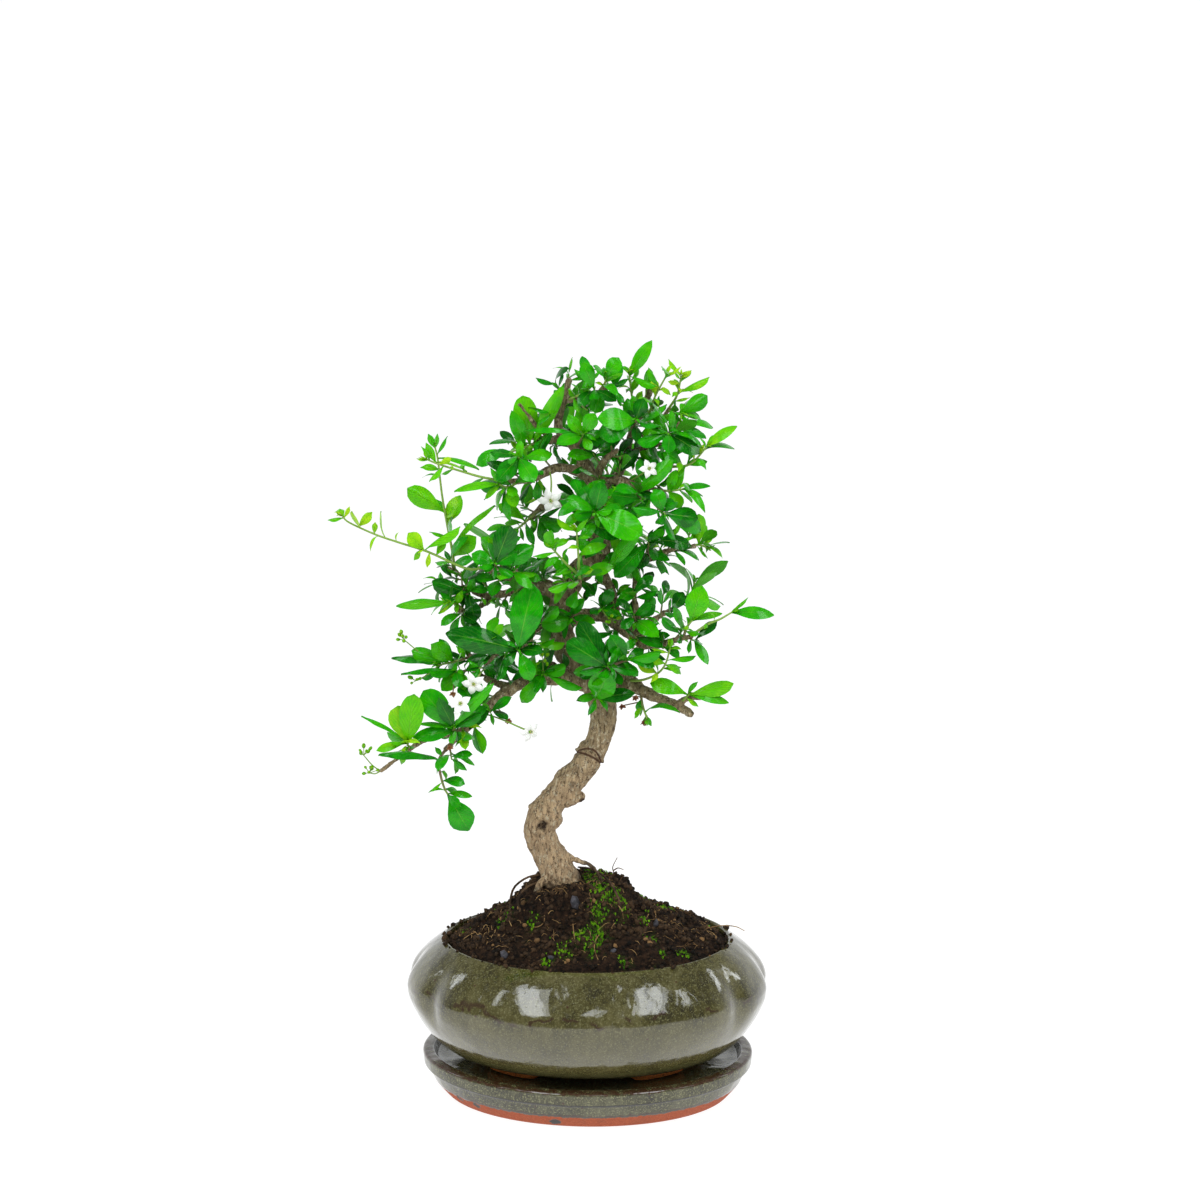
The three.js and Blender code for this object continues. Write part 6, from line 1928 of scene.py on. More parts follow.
@dataclass
class Leaf:
    """One leaf: where it grows, how it lies, its size in millimetres, its form and how young it is."""

    root: np.ndarray
    along: np.ndarray
    up: np.ndarray
    length: float
    width: float
    blade: Blade = Blade.SPOON
    tone: float = 0.3

    def samples(self) -> np.ndarray:
        """Return points of the blade that other leaves keep clear of.

        Returns:
            Rows of points, from the base to the tip.
        """
        bow, fold = 0.1, 0.12
        out = []
        side = np.cross(self.up, self.along)
        for u in (0.25, 0.45, 0.65, 0.85, 1.0):
            half = self.width / 2 * math.sin(math.pi * u**1.25) ** 0.8 if u < 1 else 0.0
            for v in (-0.8, 0.0, 0.8) if half > 1 else (0.0,):
                across = v * half
                lift = self.length * bow * 4 * u * (1 - u) - fold * abs(across)
                out.append(self.root + self.along * self.length * u + side * across + self.up * lift)
        return np.array(out)


def lay_leaf(root: np.ndarray, tip: np.ndarray, width: float, facing: np.ndarray) -> Leaf:
    """Lay a leaf from its root to its tip, turned to face a direction as far as it can.

    Args:
        root: where it grows.
        tip: where its tip is.
        width: its width in millimetres.
        facing: the direction that it turns its upper side to.

    Returns:
        The leaf.
    """
    along = tip - root
    length = float(np.linalg.norm(along))
    along = along / length
    up = unit(facing - along * float(facing @ along))
    return Leaf(root, along, up, length, min(width, length * 0.62))


def way_out(point: np.ndarray) -> np.ndarray:
    """Return the level direction from the tree's axis to a point."""
    return unit(vector(point[0], point[1], 0.0))


def stem_point(stem: Rows, place: float) -> np.ndarray:
    """Return the point of the model's stem at a place, kept short of its end.

    Args:
        stem: the stem's points.
        place: a place from 0 to 1.

    Returns:
        The point.
    """
    short = 1.2
    along = min(max(place, 0.0), 1.0) * (len(stem) - 1)
    i = min(int(along), len(stem) - 2)
    start, end = (seen(*row[:3]) for row in stem[i:i + 2])
    last = 1 - short / float(np.linalg.norm(end - start)) if i == len(stem) - 2 else 1.0
    return start + (end - start) * min(along - i, last)


@dataclass(frozen=True)
class Clearance:
    """How far a leaf keeps from other sprays' leaves, its own spray's, the wood and other sprays' stems."""

    leaves: float
    own: float
    wood: float
    stems: float


@dataclass
class Crown:
    """Finds room for every leaf: the model's own leaves first, and then finer ones that fill the crown."""

    clear: Clearance = Clearance(3.4, 1.8, 1.6, 2.6)
    fill_clear: Clearance = Clearance(1.7, 1.3, 0.6, 1.2)
    depth_tries: tuple[float, ...] = (0, -4, 4, -8, 8, -12, 12, -17, 17)
    turn_tries: tuple[float, ...] = (0, 0.35, -0.35, 0.7, -0.7)
    fill_turns: tuple[float, ...] = (0, 0.35, -0.35, 0.7, -0.7, 1.1, -1.1, 1.8, -1.8, 2.6)
    fill: int = 6
    fill_from: float = 0.2
    fill_length: float = 11.0
    sparse_fill: int = 2
    sparse_right_of: float = 30.0
    sparse_below: float = 290.0
    most_samples: int = 60000
    wood_in_view: Rows = (
        (-10, 392, 5), (-13, 381, 5), (-16, 370, 5), (10, 356, 5), (3, 362, 3), (-13, 351, 4), (24, 344, 5),
        (-14, 262, 7), (26, 278, 4), (26, 292, 4), (-5, 300, 5), (0.5, 282, 5), (-4, 243, 7),
        (-38, 228, 8), (31, 389, 5), (-30, 288, 5), (36, 268, 4), (52, 222, 6),
    )

    def __post_init__(self) -> None:
        """Place every leaf."""
        self.wood, self.wood_radius = self.wood_samples()
        self.stems, self.stem_owner = self.stem_samples()
        self.cloud = np.zeros((self.most_samples, 3))
        self.cloud_owner = np.full(self.most_samples, -1)
        self.cloud_count = 0
        self.leaves: list[list[Leaf]] = [[] for _ in SPRAYS]
        self.place_all()

    def wood_samples(self) -> tuple[np.ndarray, np.ndarray]:
        """Return points along the wood and its radius at each.

        Returns:
            The points and the radii.
        """
        points, radii = [], []
        for rows in (TRUNK, *BRANCHES.values()):
            steps = len(rows) * 4
            points.extend(curve_through(rows).run(steps))
            radii.extend(between([row[3] for row in rows], i / steps) for i in range(steps + 1))
        return np.array(points), np.array(radii)

    def stem_samples(self) -> tuple[np.ndarray, np.ndarray]:
        """Return points along the sprays' stems and which spray each is of.

        Returns:
            The points, and the number of each point's spray.
        """
        points, owners = [], []
        for owner, spray in enumerate(SPRAYS):
            for rows in spray.stems():
                run = curve_through(rows).run(len(rows) * 4)[len(rows):]
                points.extend(run)
                owners.extend([owner] * len(run))
        return np.array(points), np.array(owners)

    def is_clear(self, leaf: Leaf, owner: int, keep: Clearance) -> bool:
        """Tell whether a leaf keeps clear of the wood, the stems and the leaves so far.

        Args:
            leaf: the leaf.
            owner: the number of its spray.
            keep: how far it keeps from each.

        Returns:
            True if it is clear.
        """
        samples = leaf.samples()
        reach = leaf.length * 1.25 + 14

        def near(points: np.ndarray) -> np.ndarray:
            """Return which points are close enough to matter."""
            return np.abs(points - leaf.root).max(axis=1) < reach

        def apart(points: np.ndarray) -> np.ndarray:
            """Return the distance from every sample to every point."""
            return np.linalg.norm(samples[:, None] - points[None], axis=2)

        pick = near(self.wood)
        if pick.any() and (apart(self.wood[pick]) <= self.wood_radius[pick] + keep.wood).any():
            return False
        pick = near(self.stems) & (self.stem_owner != owner)
        if pick.any() and (apart(self.stems[pick]) <= keep.stems).any():
            return False
        cloud, owners = self.cloud[:self.cloud_count], self.cloud_owner[:self.cloud_count]
        pick = near(cloud)
        room = np.where(owners[pick] == owner, keep.own, keep.leaves)
        return not (pick.any() and (apart(cloud[pick]) <= room).any())

    def hides_wood(self, leaf: Leaf) -> bool:
        """Tell whether a finer leaf would stand before wood that the photograph shows."""
        x, z = sighted((leaf.samples()[2] + leaf.root) / 2)
        kept = (*self.wood_in_view, *((*bloom.stalk[-1][:2], 4.5) for bloom in (*BLOOMS, *SMALL_BLOOMS)))
        return any(math.hypot(x - px, z - pz) < reach for px, pz, reach in kept)

    def hold(self, samples: np.ndarray, owner: int) -> None:
        """Note the points that later leaves keep clear of.

        Args:
            samples: the points.
            owner: the number of the spray they are of.
        """
        end = self.cloud_count + len(samples)
        self.cloud[self.cloud_count:end] = samples
        self.cloud_owner[self.cloud_count:end] = owner
        self.cloud_count = end

    def keep(self, leaf: Leaf, owner: int, into: list[Leaf]) -> None:
        """Keep a leaf."""
        self.hold(leaf.samples(), owner)
        into.append(leaf)

    def place_all(self) -> None:
        """Place the model's leaves in the model's order, then choose their forms, then fill in."""
        for owner, spray in enumerate(SPRAYS):
            for stem, leaves in zip(spray.stems(), (spray.leaves, spray.side_leaves)):
                self.laid_out(owner, stem, leaves)
        for i, bloom in enumerate(BLOOMS):
            for petal in petals_of(bloom):
                self.hold(petal.samples(), len(SPRAYS) + i)
        for owner, spray in enumerate(SPRAYS):
            self.ruled(owner, spray)
        for owner, spray in enumerate(SPRAYS):
            draw = draws(owner * 104729 + 5)
            for leaf in self.leaves[owner]:
                self.choose(leaf, spray.tone, draw)
        for owner, spray in enumerate(SPRAYS):
            self.filled(owner, spray)

    def laid_out(self, owner: int, stem: Rows, rows: Rows) -> None:
        """Place leaves where the picture shows them; one that meets another moves along the sight line.

        Args:
            owner: the number of the spray.
            stem: the stem that they grow from.
            rows: the laid-out leaves.
        """
        for place, x, z, depth, width, front in rows:
            root = stem_point(stem, place)
            facing = vector(0.0, -0.97 * front, 1 - 0.77 * front)
            tips = [seen(x, z, root[1] + depth + more) for more in self.depth_tries]
            choices = [lay_leaf(root, tip, width, facing) for tip in tips]
            free = next((leaf for leaf in choices if self.is_clear(leaf, owner, self.clear)), choices[0])
            self.keep(free, owner, self.leaves[owner])

    def ruled(self, owner: int, spray: Spray) -> None:
        """Place the leaves that spiral round a stem; one that meets another is turned, shrunk or left out.

        Args:
            owner: the number of the spray.
            spray: the spray.
        """
        count, length = spray.rule
        draw = draws(owner * 7919 + 11)
        curve = curve_through(spray.stem)
        for i in range(count):
            place = 0.3 + 0.7 * ((i + draw() * 0.6) / count)
            turn = GOLDEN_ANGLE * i + draw() * 0.9 + owner
            lean = 1.25 - 0.55 * place + draw() * 0.25
            size = length * (0.78 + 0.4 * draw())
            width = size * (0.36 + 0.12 * draw())
            tilt = vector(draw() - 0.5, draw() - 0.5, draw() - 0.5)
            root = stem_point(spray.stem, place)
            axis = curve.tangent(min(place, 1.0))
            facing = vector(0, 0, 0.75) + way_out(root) * 0.6 + tilt * 0.7
            for share in (1.0, 0.72):
                ways = [self.way(axis, turn + more, lean) for more in self.turn_tries]
                options = [lay_leaf(root, root + way * size * share, width * share, facing) for way in ways]
                free = next((leaf for leaf in options if self.is_clear(leaf, owner, self.clear)), None)
                if free:
                    self.keep(free, owner, self.leaves[owner])
                    break

    @staticmethod
    def way(axis: np.ndarray, turn: float, lean: float) -> np.ndarray:
        """Return the direction that leans from an axis at a turn round it, and a little upwards.

        Args:
            axis: the axis.
            turn: the turn round it, in radians.
            lean: how far from it, in radians.

        Returns:
            The direction.
        """
        first = unit(np.cross(axis, vector(0.1, 0.2, 1.0)))
        second = np.cross(axis, first)
        way = axis * math.cos(lean) + (first * math.cos(turn) + second * math.sin(turn)) * math.sin(lean)
        return unit(way + vector(0, 0, 0.12))

    def choose(self, leaf: Leaf, tone: float, draw: Draw) -> None:
        """Choose a leaf's form and age from its size and its spray.

        Args:
            leaf: the leaf, which is changed.
            tone: its spray's age, 0 for old and 1 for young.
            draw: where random draws come from.
        """
        slim = leaf.width / leaf.length < 0.36
        young = tone > 0.55 or leaf.length < 11
        if leaf.length > 25:
            options = (Blade.LONG,) if slim else (Blade.BROAD, Blade.BROAD_WAVED)
        elif young and leaf.length < 13:
            options = (Blade.YOUNG, Blade.YOUNG_CURLED)
        elif slim:
            options = (Blade.LANCE, Blade.LANCE_CURLED, Blade.SPOON_FOLDED)
        else:
            options = (Blade.SPOON, Blade.SPOON_CURLED, Blade.LANCE, Blade.SPOON_FOLDED)
        leaf.blade = options[int(draw() * len(options)) % len(options)]
        if young and leaf.length < 13:
            leaf.width *= 0.72
        small = max(0.0, 13 - leaf.length) * 0.05
        leaf.tone = min(1.0, max(0.0, tone * 0.85 + small * 0.6 + (draw() - 0.42) * 0.5))

    def filled(self, owner: int, spray: Spray) -> None:
        """Add finer leaves along a stem, and a tuft of tiny ones at its tip.

        Args:
            owner: the number of the spray.
            spray: the spray.
        """
        draw = draws(owner * 15485863 + 7)
        for stem in spray.stems():
            curve = curve_through(stem)
            tip = curve.at(1.0)
            sparse = tip[0] > self.sparse_right_of and tip[2] < self.sparse_below
            count = self.sparse_fill if sparse else self.fill
            into = self.leaves[owner]
            self.sprout(owner, curve, count, self.fill_from, self.fill_length, spray.tone, draw, into)
            self.tuft(curve, spray.tone, draw, into)

    def sprout(self, owner: int, curve: Curve, count: int, first: float, length: float, tone: float,
               draw: Draw, into: list[Leaf]) -> None:
        """Add leaves in a spiral where there is room.

        Args:
            owner: the number of the spray they are of.
            curve: the stem.
            count: how many are tried.
            first: where along the stem they start.
            length: how long they are.
            tone: how young they are.
            draw: where random draws come from.
            into: the leaves so far.
        """
        for i in range(count):
            place = first + (1 - first) * (i + draw()) / count
            size = length * (0.55 + 0.75 * draw())
            width = size * (0.36 + 0.16 * draw())
            turn = GOLDEN_ANGLE * i + draw() * 1.2
            lean = 0.7 + draw() * 0.6
            tilt = vector(draw() - 0.5, draw() - 0.5, draw() - 0.5)
            root, axis = curve.at(place), curve.tangent(place)
            facing = vector(0, -0.25, 0.8) + way_out(root) * 0.4 + tilt
            for more in self.fill_turns:
                leaf = lay_leaf(root, root + self.way(axis, turn + more, lean) * size, width, facing)
                if not self.hides_wood(leaf) and self.is_clear(leaf, owner, self.fill_clear):
                    self.choose(leaf, tone, draw)
                    self.keep(leaf, owner, into)
                    break

    def tuft(self, curve: Curve, tone: float, draw: Draw, into: list[Leaf]) -> None:
        """Add the tiny unfolding leaves at a shoot's tip.

        Args:
            curve: the shoot.
            tone: how young it is.
            draw: where random draws come from.
            into: the leaves so far.
        """
        for i in range(3 + int(3 * tone)):
            size = 2.4 + 3.4 * draw()
            way = self.way(curve.tangent(1.0), 2.2 * i + draw(), 0.25 + 0.5 * draw())
            leaf = lay_leaf(curve.at(1.0), curve.at(1.0) + way * size, size * 0.3, vector(0.1, -0.4, 0.9))
            leaf.blade = Blade.YOUNG if draw() < 0.5 else Blade.YOUNG_CURLED
            leaf.tone = min(1.0, tone * 0.6 + 0.42)
            into.append(leaf)


def petals_of(bloom: Bloom) -> list[Leaf]:
    """Lay out the five petals of a flower.

    Args:
        bloom: the flower.

    Returns:
        Its petals.
    """
    heart, before = seen(*bloom.stalk[-1][:3]), seen(*bloom.stalk[-2][:3])
    axis = unit(unit(heart - before) + vector(0, -1.4, 0.2))
    first = unit(np.cross(axis, vector(0.0, 0.0, 1.0)))
    second = np.cross(axis, first)
    petals = []
    for petal in range(5):
        turn = petal / 5 * 2 * math.pi
        way = unit(first * math.cos(turn) + second * math.sin(turn) + axis * 0.25)
        petals.append(lay_leaf(heart, heart + way * bloom.width / 2, bloom.width * 0.3, axis))
        petals[-1].blade = Blade.PETAL
        petals[-1].tone = 0.0
    return petals


# What a skeleton notes of each point, and each column's kind
COLUMNS = {
    "is_form": "BOOLEAN", "form": "INT", "along": "FLOAT_VECTOR", "up": "FLOAT_VECTOR",
    "size": "FLOAT_VECTOR", "tone": "FLOAT", "thick": "FLOAT",
}


class DressedPoints:
    """The tree of nodes that puts a form on every point and a skin round every edge of a skeleton."""

    def __init__(self) -> None:
        self.tree = bpy.data.node_groups.new("dressed_points", "GeometryNodeTree")
        self.sockets: dict[str, str] = {}
        self.lay_out()

    def socket(self, name: str, kind: str, default: object = None) -> None:
        """Add a named input to the tree.

        Args:
            name: its name.
            kind: its type.
            default: its value where none is given.
        """
        made = self.tree.interface.new_socket(name, in_out="INPUT", socket_type=kind)
        if default is not None:
            made.default_value = default
        self.sockets[name] = made.identifier

    def node(self, kind: str, inputs: dict | None = None,
             **settings: object) -> Sequence[bpy.types.NodeSocket]:
        """Add a node and return its outputs."""
        return lay_node(self.tree, kind, inputs, **settings).outputs

    def named(self, name: str) -> bpy.types.NodeSocket:
        """Return a column of the skeleton."""
        column = self.node("GeometryNodeInputNamedAttribute", {"Name": name}, data_type=COLUMNS[name])
        return column["Attribute"]

    def lay_out(self) -> None:
        """Lay out the tree."""
        self.tree.interface.new_socket("Skeleton", in_out="INPUT", socket_type="NodeSocketGeometry")
        self.socket("Forms", "NodeSocketCollection")
        self.socket("Form finish", "NodeSocketMaterial")
        self.socket("Stem finish", "NodeSocketMaterial")
        self.socket("Form size", "NodeSocketFloat", 1.0)
        self.socket("Stem thickness", "NodeSocketFloat", 1.0)
        self.socket("Stem sides", "NodeSocketInt", 7)
        self.tree.interface.new_socket("Piece", in_out="OUTPUT", socket_type="NodeSocketGeometry")
        given = self.node("NodeGroupInput")
        parted = self.node("GeometryNodeSeparateGeometry", {
            "Geometry": given["Skeleton"], "Selection": self.named("is_form"),
        }, domain="POINT")
        shelf = self.node("GeometryNodeCollectionInfo", {
            "Collection": given["Forms"], "Separate Children": True, "Reset Children": True,
        })[0]
        facing = self.node("FunctionNodeAxesToRotation", {
            "Primary Axis": self.named("along"), "Secondary Axis": self.named("up"),
        }, primary_axis="Y", secondary_axis="Z")[0]
        sized = self.node("ShaderNodeVectorMath", {
            0: self.named("size"), "Scale": given["Form size"],
        }, operation="SCALE")[0]
        forms = self.node("GeometryNodeInstanceOnPoints", {
            "Points": parted["Selection"], "Instance": shelf, "Pick Instance": True,
            "Instance Index": self.named("form"), "Rotation": facing, "Scale": sized,
        })[0]
        ring = self.node("GeometryNodeCurvePrimitiveCircle", {
            "Resolution": given["Stem sides"], "Radius": 1.0,
        })[0]
        thick = self.node("ShaderNodeMath", {
            0: self.named("thick"), 1: given["Stem thickness"],
        }, operation="MULTIPLY")[0]
        paths = self.node("GeometryNodeMeshToCurve", {"Mesh": parted["Inverted"]})[0]
        stems = self.node("GeometryNodeCurveToMesh", {
            "Curve": paths, "Profile Curve": ring, "Scale": thick, "Fill Caps": True,
        })[0]
        stems = self.node("GeometryNodeSetShadeSmooth", {"Geometry": stems})[0]
        forms = self.node("GeometryNodeRealizeInstances", {"Geometry": forms})[0]
        forms, stems = (
            self.node("GeometryNodeSetMaterial", {"Geometry": part, "Material": given[finish]})[0]
            for part, finish in ((forms, "Form finish"), (stems, "Stem finish"))
        )
        whole = lay_node(self.tree, "GeometryNodeJoinGeometry", {0: stems})
        self.tree.links.new(forms, whole.inputs[0])
        self.node("NodeGroupOutput", {0: whole.outputs[0]})


@dataclass
class Skeleton:
    """Stems as edges and forms as points, with the numbers that the dressed points read."""

    points: list[np.ndarray] = field(default_factory=list)
    edges: list[tuple[int, int]] = field(default_factory=list)
    rows: list[tuple] = field(default_factory=list)

    def note(self, point: np.ndarray, *numbers: object) -> None:
        """Add one point with a number for each of the columns."""
        self.points.append(point)
        self.rows.append(numbers)

    def stem(self, points: Sequence[np.ndarray], thick: Sequence[float], tone: Sequence[float]) -> None:
        """Add a stem.

        Args:
            points: its path.
            thick: its radius at the start and the end, in millimetres.
            tone: how young it is at the start and the end.
        """
        last = len(points) - 1
        for i, point in enumerate(points):
            share = i / last
            if i:
                self.edges.append((len(self.points) - 1, len(self.points)))
            young, radius = (start + (end - start) * share for start, end in (tone, thick))
            self.note(point, False, 0, (0, 1, 0), (0, 0, 1), (0, 0, 0), young, radius * MM)

    def leaf(self, leaf: Leaf) -> None:
        """Add a leaf."""
        size = (leaf.width * MM, leaf.length * MM, leaf.length * MM)
        self.note(leaf.root, True, leaf.blade.value, leaf.along, leaf.up, size, leaf.tone, 0.0)

    def form(self, point: np.ndarray, form: int, along: np.ndarray, size: Sequence[float],
             tone: float = 0.0) -> None:
        """Add a form that isn't a leaf, with its sizes in millimetres."""
        up = unit(np.cross(along, vector(0.31, 0.87, 0.2)))
        self.note(point, True, form, along, up, [v * MM for v in size], tone, 0.0)

    def grow(self, name: str, dressed: DressedPoints, shelf: Shelf, form_finish: bpy.types.Material,
             stem_finish: bpy.types.Material, sides: int = 7) -> bpy.types.Object:
        """Dress the points and edges, and make the result a plain mesh.

        Args:
            name: the object's name.
            dressed: the tree of nodes.
            shelf: the forms that the points pick.
            form_finish: the finish of the forms.
            stem_finish: the finish of the stems.
            sides: how many sides a stem has.

        Returns:
            The object.
        """
        mesh = bpy.data.meshes.new(name)
        mesh.from_pydata((np.array(self.points) * MM).tolist(), self.edges, [])
        for (key, kind), values in zip(COLUMNS.items(), zip(*self.rows)):
            column = mesh.attributes.new(key, kind, "POINT")
            part = "vector" if kind == "FLOAT_VECTOR" else "value"
            column.data.foreach_set(part, np.array(values).ravel())
        piece = show(bpy.data.objects.new(name, mesh))
        grown = piece.modifiers.new("dressed", "NODES")
        grown.node_group = dressed.tree
        inputs = {"Forms": shelf.forms, "Form finish": form_finish, "Stem finish": stem_finish,
                  "Stem sides": sides}
        for key, value in inputs.items():
            grown[dressed.sockets[key]] = value
        swap_mesh(piece)
        for key in COLUMNS:
            left = piece.data.attributes.get(key)
            if left and key != "tone":
                piece.data.attributes.remove(left)
        return piece


@dataclass
class Foliage:
    """Every leafy spray and flower of the model, and the small shoots, buds and dry calyces on the wood."""

    dressed: DressedPoints
    shelf: Shelf
    crown: Crown
    leaf: bpy.types.Material
    shoot: bpy.types.Material
    petal: bpy.types.Material
    stem_start: float = 0.95
    stem_end: float = 0.55
    shoot_every: float = 7.5
    shoot_owner: int = 10000
    shoot_leaves: int = 5
    shoot_from: float = 0.35
    shoot_length: float = 13.5
    left_of: float = -8.0
    high_over: float = 322.0
    mid_over: float = 262.0

    def piece(self, name: str, skeleton: Skeleton, slot: str, nodes: Sequence[str] = (),
              finish: bpy.types.Material | None = None, sides: int = 7) -> None:
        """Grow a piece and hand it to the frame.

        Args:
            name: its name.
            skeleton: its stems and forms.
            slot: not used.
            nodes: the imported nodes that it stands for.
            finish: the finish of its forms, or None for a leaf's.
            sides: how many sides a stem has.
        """
        made = skeleton.grow(name, self.dressed, self.shelf, finish or self.leaf, self.shoot, sides)
        settle(made, nodes)

    def stem_of(self, skeleton: Skeleton, rows: Rows, tone: float) -> None:
        """Add one stem of a spray.

        Args:
            skeleton: the spray so far.
            rows: the stem.
            tone: how young it is.
        """
        steps = (len(rows) - 1) * 5
        start = tone + (0.2 if tone > 0.5 else -0.15)
        slim = 1 - 0.25 * tone
        skeleton.stem(curve_through(rows).run(steps), (self.stem_start * slim, self.stem_end * slim),
                      (start, min(1.0, tone + 0.35)))

    def sprays(self) -> None:
        """Make a piece for each spray."""
        for owner, spray in enumerate(SPRAYS):
            skeleton = Skeleton()
            for rows in spray.stems():
                self.stem_of(skeleton, rows, spray.tone)
            for leaf in self.crown.leaves[owner]:
                skeleton.leaf(leaf)
            slot = "leaf_young" if spray.tone > 0.5 else "leaf_mature"
            self.piece(f"leaves_{spray.name}", skeleton, slot, [f"spray_{spray.name}"])

    def flower(self, skeleton: Skeleton, bloom: Bloom) -> None:
        """Add a flower: stalk, calyx, five petals and five stamens round the style.

        Args:
            skeleton: what it is added to.
            bloom: the flower.
        """
        points = curve_through(bloom.stalk).run(8)
        skeleton.stem(points, (0.4, 0.5), (0.75, 0.9))
        petals = petals_of(bloom)
        heart = points[-1]
        axis = unit(np.cross(petals[0].along, petals[1].along))
        if axis[1] > 0:
            axis = -axis
        grown = 1.25 if bloom.width > 11 else 1.6
        reach = bloom.width * 0.3
        for petal, following in zip(petals, (*petals[1:], petals[0])):
            skeleton.leaf(replace(petal, length=petal.length * grown, width=petal.width * grown))
            amid = unit(petal.along + following.along)
            skeleton.leaf(Leaf(heart - axis * 0.9, unit(amid - axis * 0.5), axis, bloom.width * 0.2,
                               bloom.width * 0.09, Blade.PETAL, 1.0))
            skeleton.form(heart, Blade.STAMEN.value, unit(axis + amid * 0.5), (reach, reach, reach), 0.5)
        skeleton.form(heart - axis * 1.0, Blade.BUD.value, axis, (3.4, 2.6, 3.4), 1.0)
        skeleton.form(heart, Blade.STAMEN.value, axis, (reach, bloom.width * 0.36, reach), 0.8)

    def flowers(self) -> None:
        """Make a piece for each flower, and one for the flower that only the scene has."""
        for bloom in BLOOMS:
            skeleton = Skeleton()
            self.flower(skeleton, bloom)
            self.piece(f"bloom_{bloom.name}", skeleton, "petal", [f"flower_{bloom.name}"], self.petal)
        skeleton = Skeleton()
        for bloom in SMALL_BLOOMS:
            self.flower(skeleton, bloom)
        self.piece("small_blooms", skeleton, "petal", finish=self.petal)

    def wood_shoots(self) -> None:
        """Add short shoots of small leaves along the thin branches, in pieces by side and height."""
        groups: dict[str, Skeleton] = {}
        count = 0
        leafy = {**BRANCHES, "upper_trunk": TRUNK[20:]}
        for number, (name, rows) in enumerate(leafy.items()):
            if name not in BARE_BRANCHES:
                count += self.shoots_along(curve_through(rows), number, groups)
        for x, z, y, tip_x, tip_z, tip_y, width, tone in FRONT_LEAVES:
            root = seen(x, z, y)
            start = self.nearest_wood(root)
            bend = (start + root) / 2 + vector(0, 0, 0.8)
            groups["mid_right"].stem(Curve([start, bend, root]).run(4), (0.6, 0.45), (0.3, 0.8))
            leaf = lay_leaf(root, seen(tip_x, tip_z, tip_y), width, vector(0, -0.9, 0.45))
            leaf.blade = Blade.LANCE if width < leaf.length * 0.4 else Blade.SPOON
            leaf.tone = tone
            groups["mid_right"].leaf(leaf)
        for name, skeleton in groups.items():
            self.piece(f"small_shoots_{name}", skeleton, "leaf_mature", sides=5)
        log.info("small leaves on the wood: %d", count)

    def shoots_along(self, curve: Curve, number: int, groups: dict[str, Skeleton]) -> int:
        """Add the short shoots of one branch.

        Args:
            curve: the branch.
            number: sets its own draws.
            groups: the skeletons by height and side.

        Returns:
            How many leaves the shoots have.
        """
        draw = draws(number * 6007 + 3)
        count = max(2, round(Curve(curve.run(20)).length() / self.shoot_every))
        total = 0
        for i in range(count):
            place = 0.12 + 0.88 * (i + draw() * 0.8) / count
            root, axis = curve.at(place), curve.tangent(place)
            way = self.crown.way(axis, GOLDEN_ANGLE * i + number + draw(), 0.9 + 0.4 * draw())
            reach = 4 + 7 * draw()
            bend, tip = root + way * reach * 0.5 + vector(0, 0, 0.4), root + way * reach + vector(0, 0, 1.6)
            shoot = Curve([root, bend, tip])
            leaves: list[Leaf] = []
            tone = 0.12 + 0.55 * draw() ** 2
            owner = self.shoot_owner + number * 100 + i
            self.crown.sprout(owner, shoot, self.shoot_leaves, self.shoot_from, self.shoot_length, tone,
                              draw, leaves)
            if leaves:
                side = "left" if root[0] < self.left_of else "right"
                level = "high" if root[2] > self.high_over else "mid" if root[2] > self.mid_over else "low"
                skeleton = groups.setdefault(f"{level}_{side}", Skeleton())
                skeleton.stem(shoot.run(4), (0.6, 0.4), (0.3, 0.7))
                for leaf in leaves:
                    skeleton.leaf(leaf)
            total += len(leaves)
        return total

    def buds(self) -> None:
        """Add the clusters of green buds, and the brown calyces of flowers that have fallen."""
        green, brown = Skeleton(), Skeleton()
        for number, (x, z, y) in enumerate(BUD_CLUSTERS):
            draw = draws(number * 331 + 17)
            heart = seen(x, z, y)
            start = self.nearest_wood(heart)
            bend = (start + heart) / 2 + vector(0, 0, -1.0)
            green.stem(Curve([start, bend, heart]).run(6), (0.4, 0.3), (0.8, 1.0))
            for i in range(7):
                way = unit(vector(draw() - 0.5, draw() - 0.7, draw() - 0.2) * 2)
                tip = heart + way * (1.5 + 2.5 * draw())
                green.stem([heart, (heart + tip) / 2, tip], (0.22, 0.2), (0.9, 1.0))
                size = 1.8 + 1.4 * draw()
                green.form(tip, Blade.BUD.value, way, (size * 1.2, size, size * 1.2), 0.85)
        for number, (x, z, y) in enumerate(DRY_CALYCES):
            draw = draws(number * 577 + 29)
            heart = seen(x, z, y)
            start = self.nearest_wood(heart)
            brown.stem(Curve([start, (start + heart) / 2, heart]).run(4), (0.4, 0.35), (0.5, 0.2))
            for i in range(6):
                way = self.crown.way(unit(vector(0.1, -0.8, -0.3)), i * 1.05 + draw(), 0.7)
                brown.leaf(Leaf(heart, way, unit(way + vector(0, -1, 0)), 2.6, 1.4, Blade.PETAL, 0.0))
        self.piece("bud_clusters", green, "leaf_young", sides=5)
        dry = Tinted("dry_calyx", paint(96, 52, 34), paint(158, 104, 68), grain=0.8).material()
        self.piece("dry_calyces", brown, "bark", finish=dry, sides=5)

    def nearest_wood(self, point: np.ndarray) -> np.ndarray:
        """Return the point of wood or stem that is nearest."""
        points = np.concatenate([self.crown.wood, self.crown.stems])
        return points[np.linalg.norm(points - point, axis=1).argmin()]


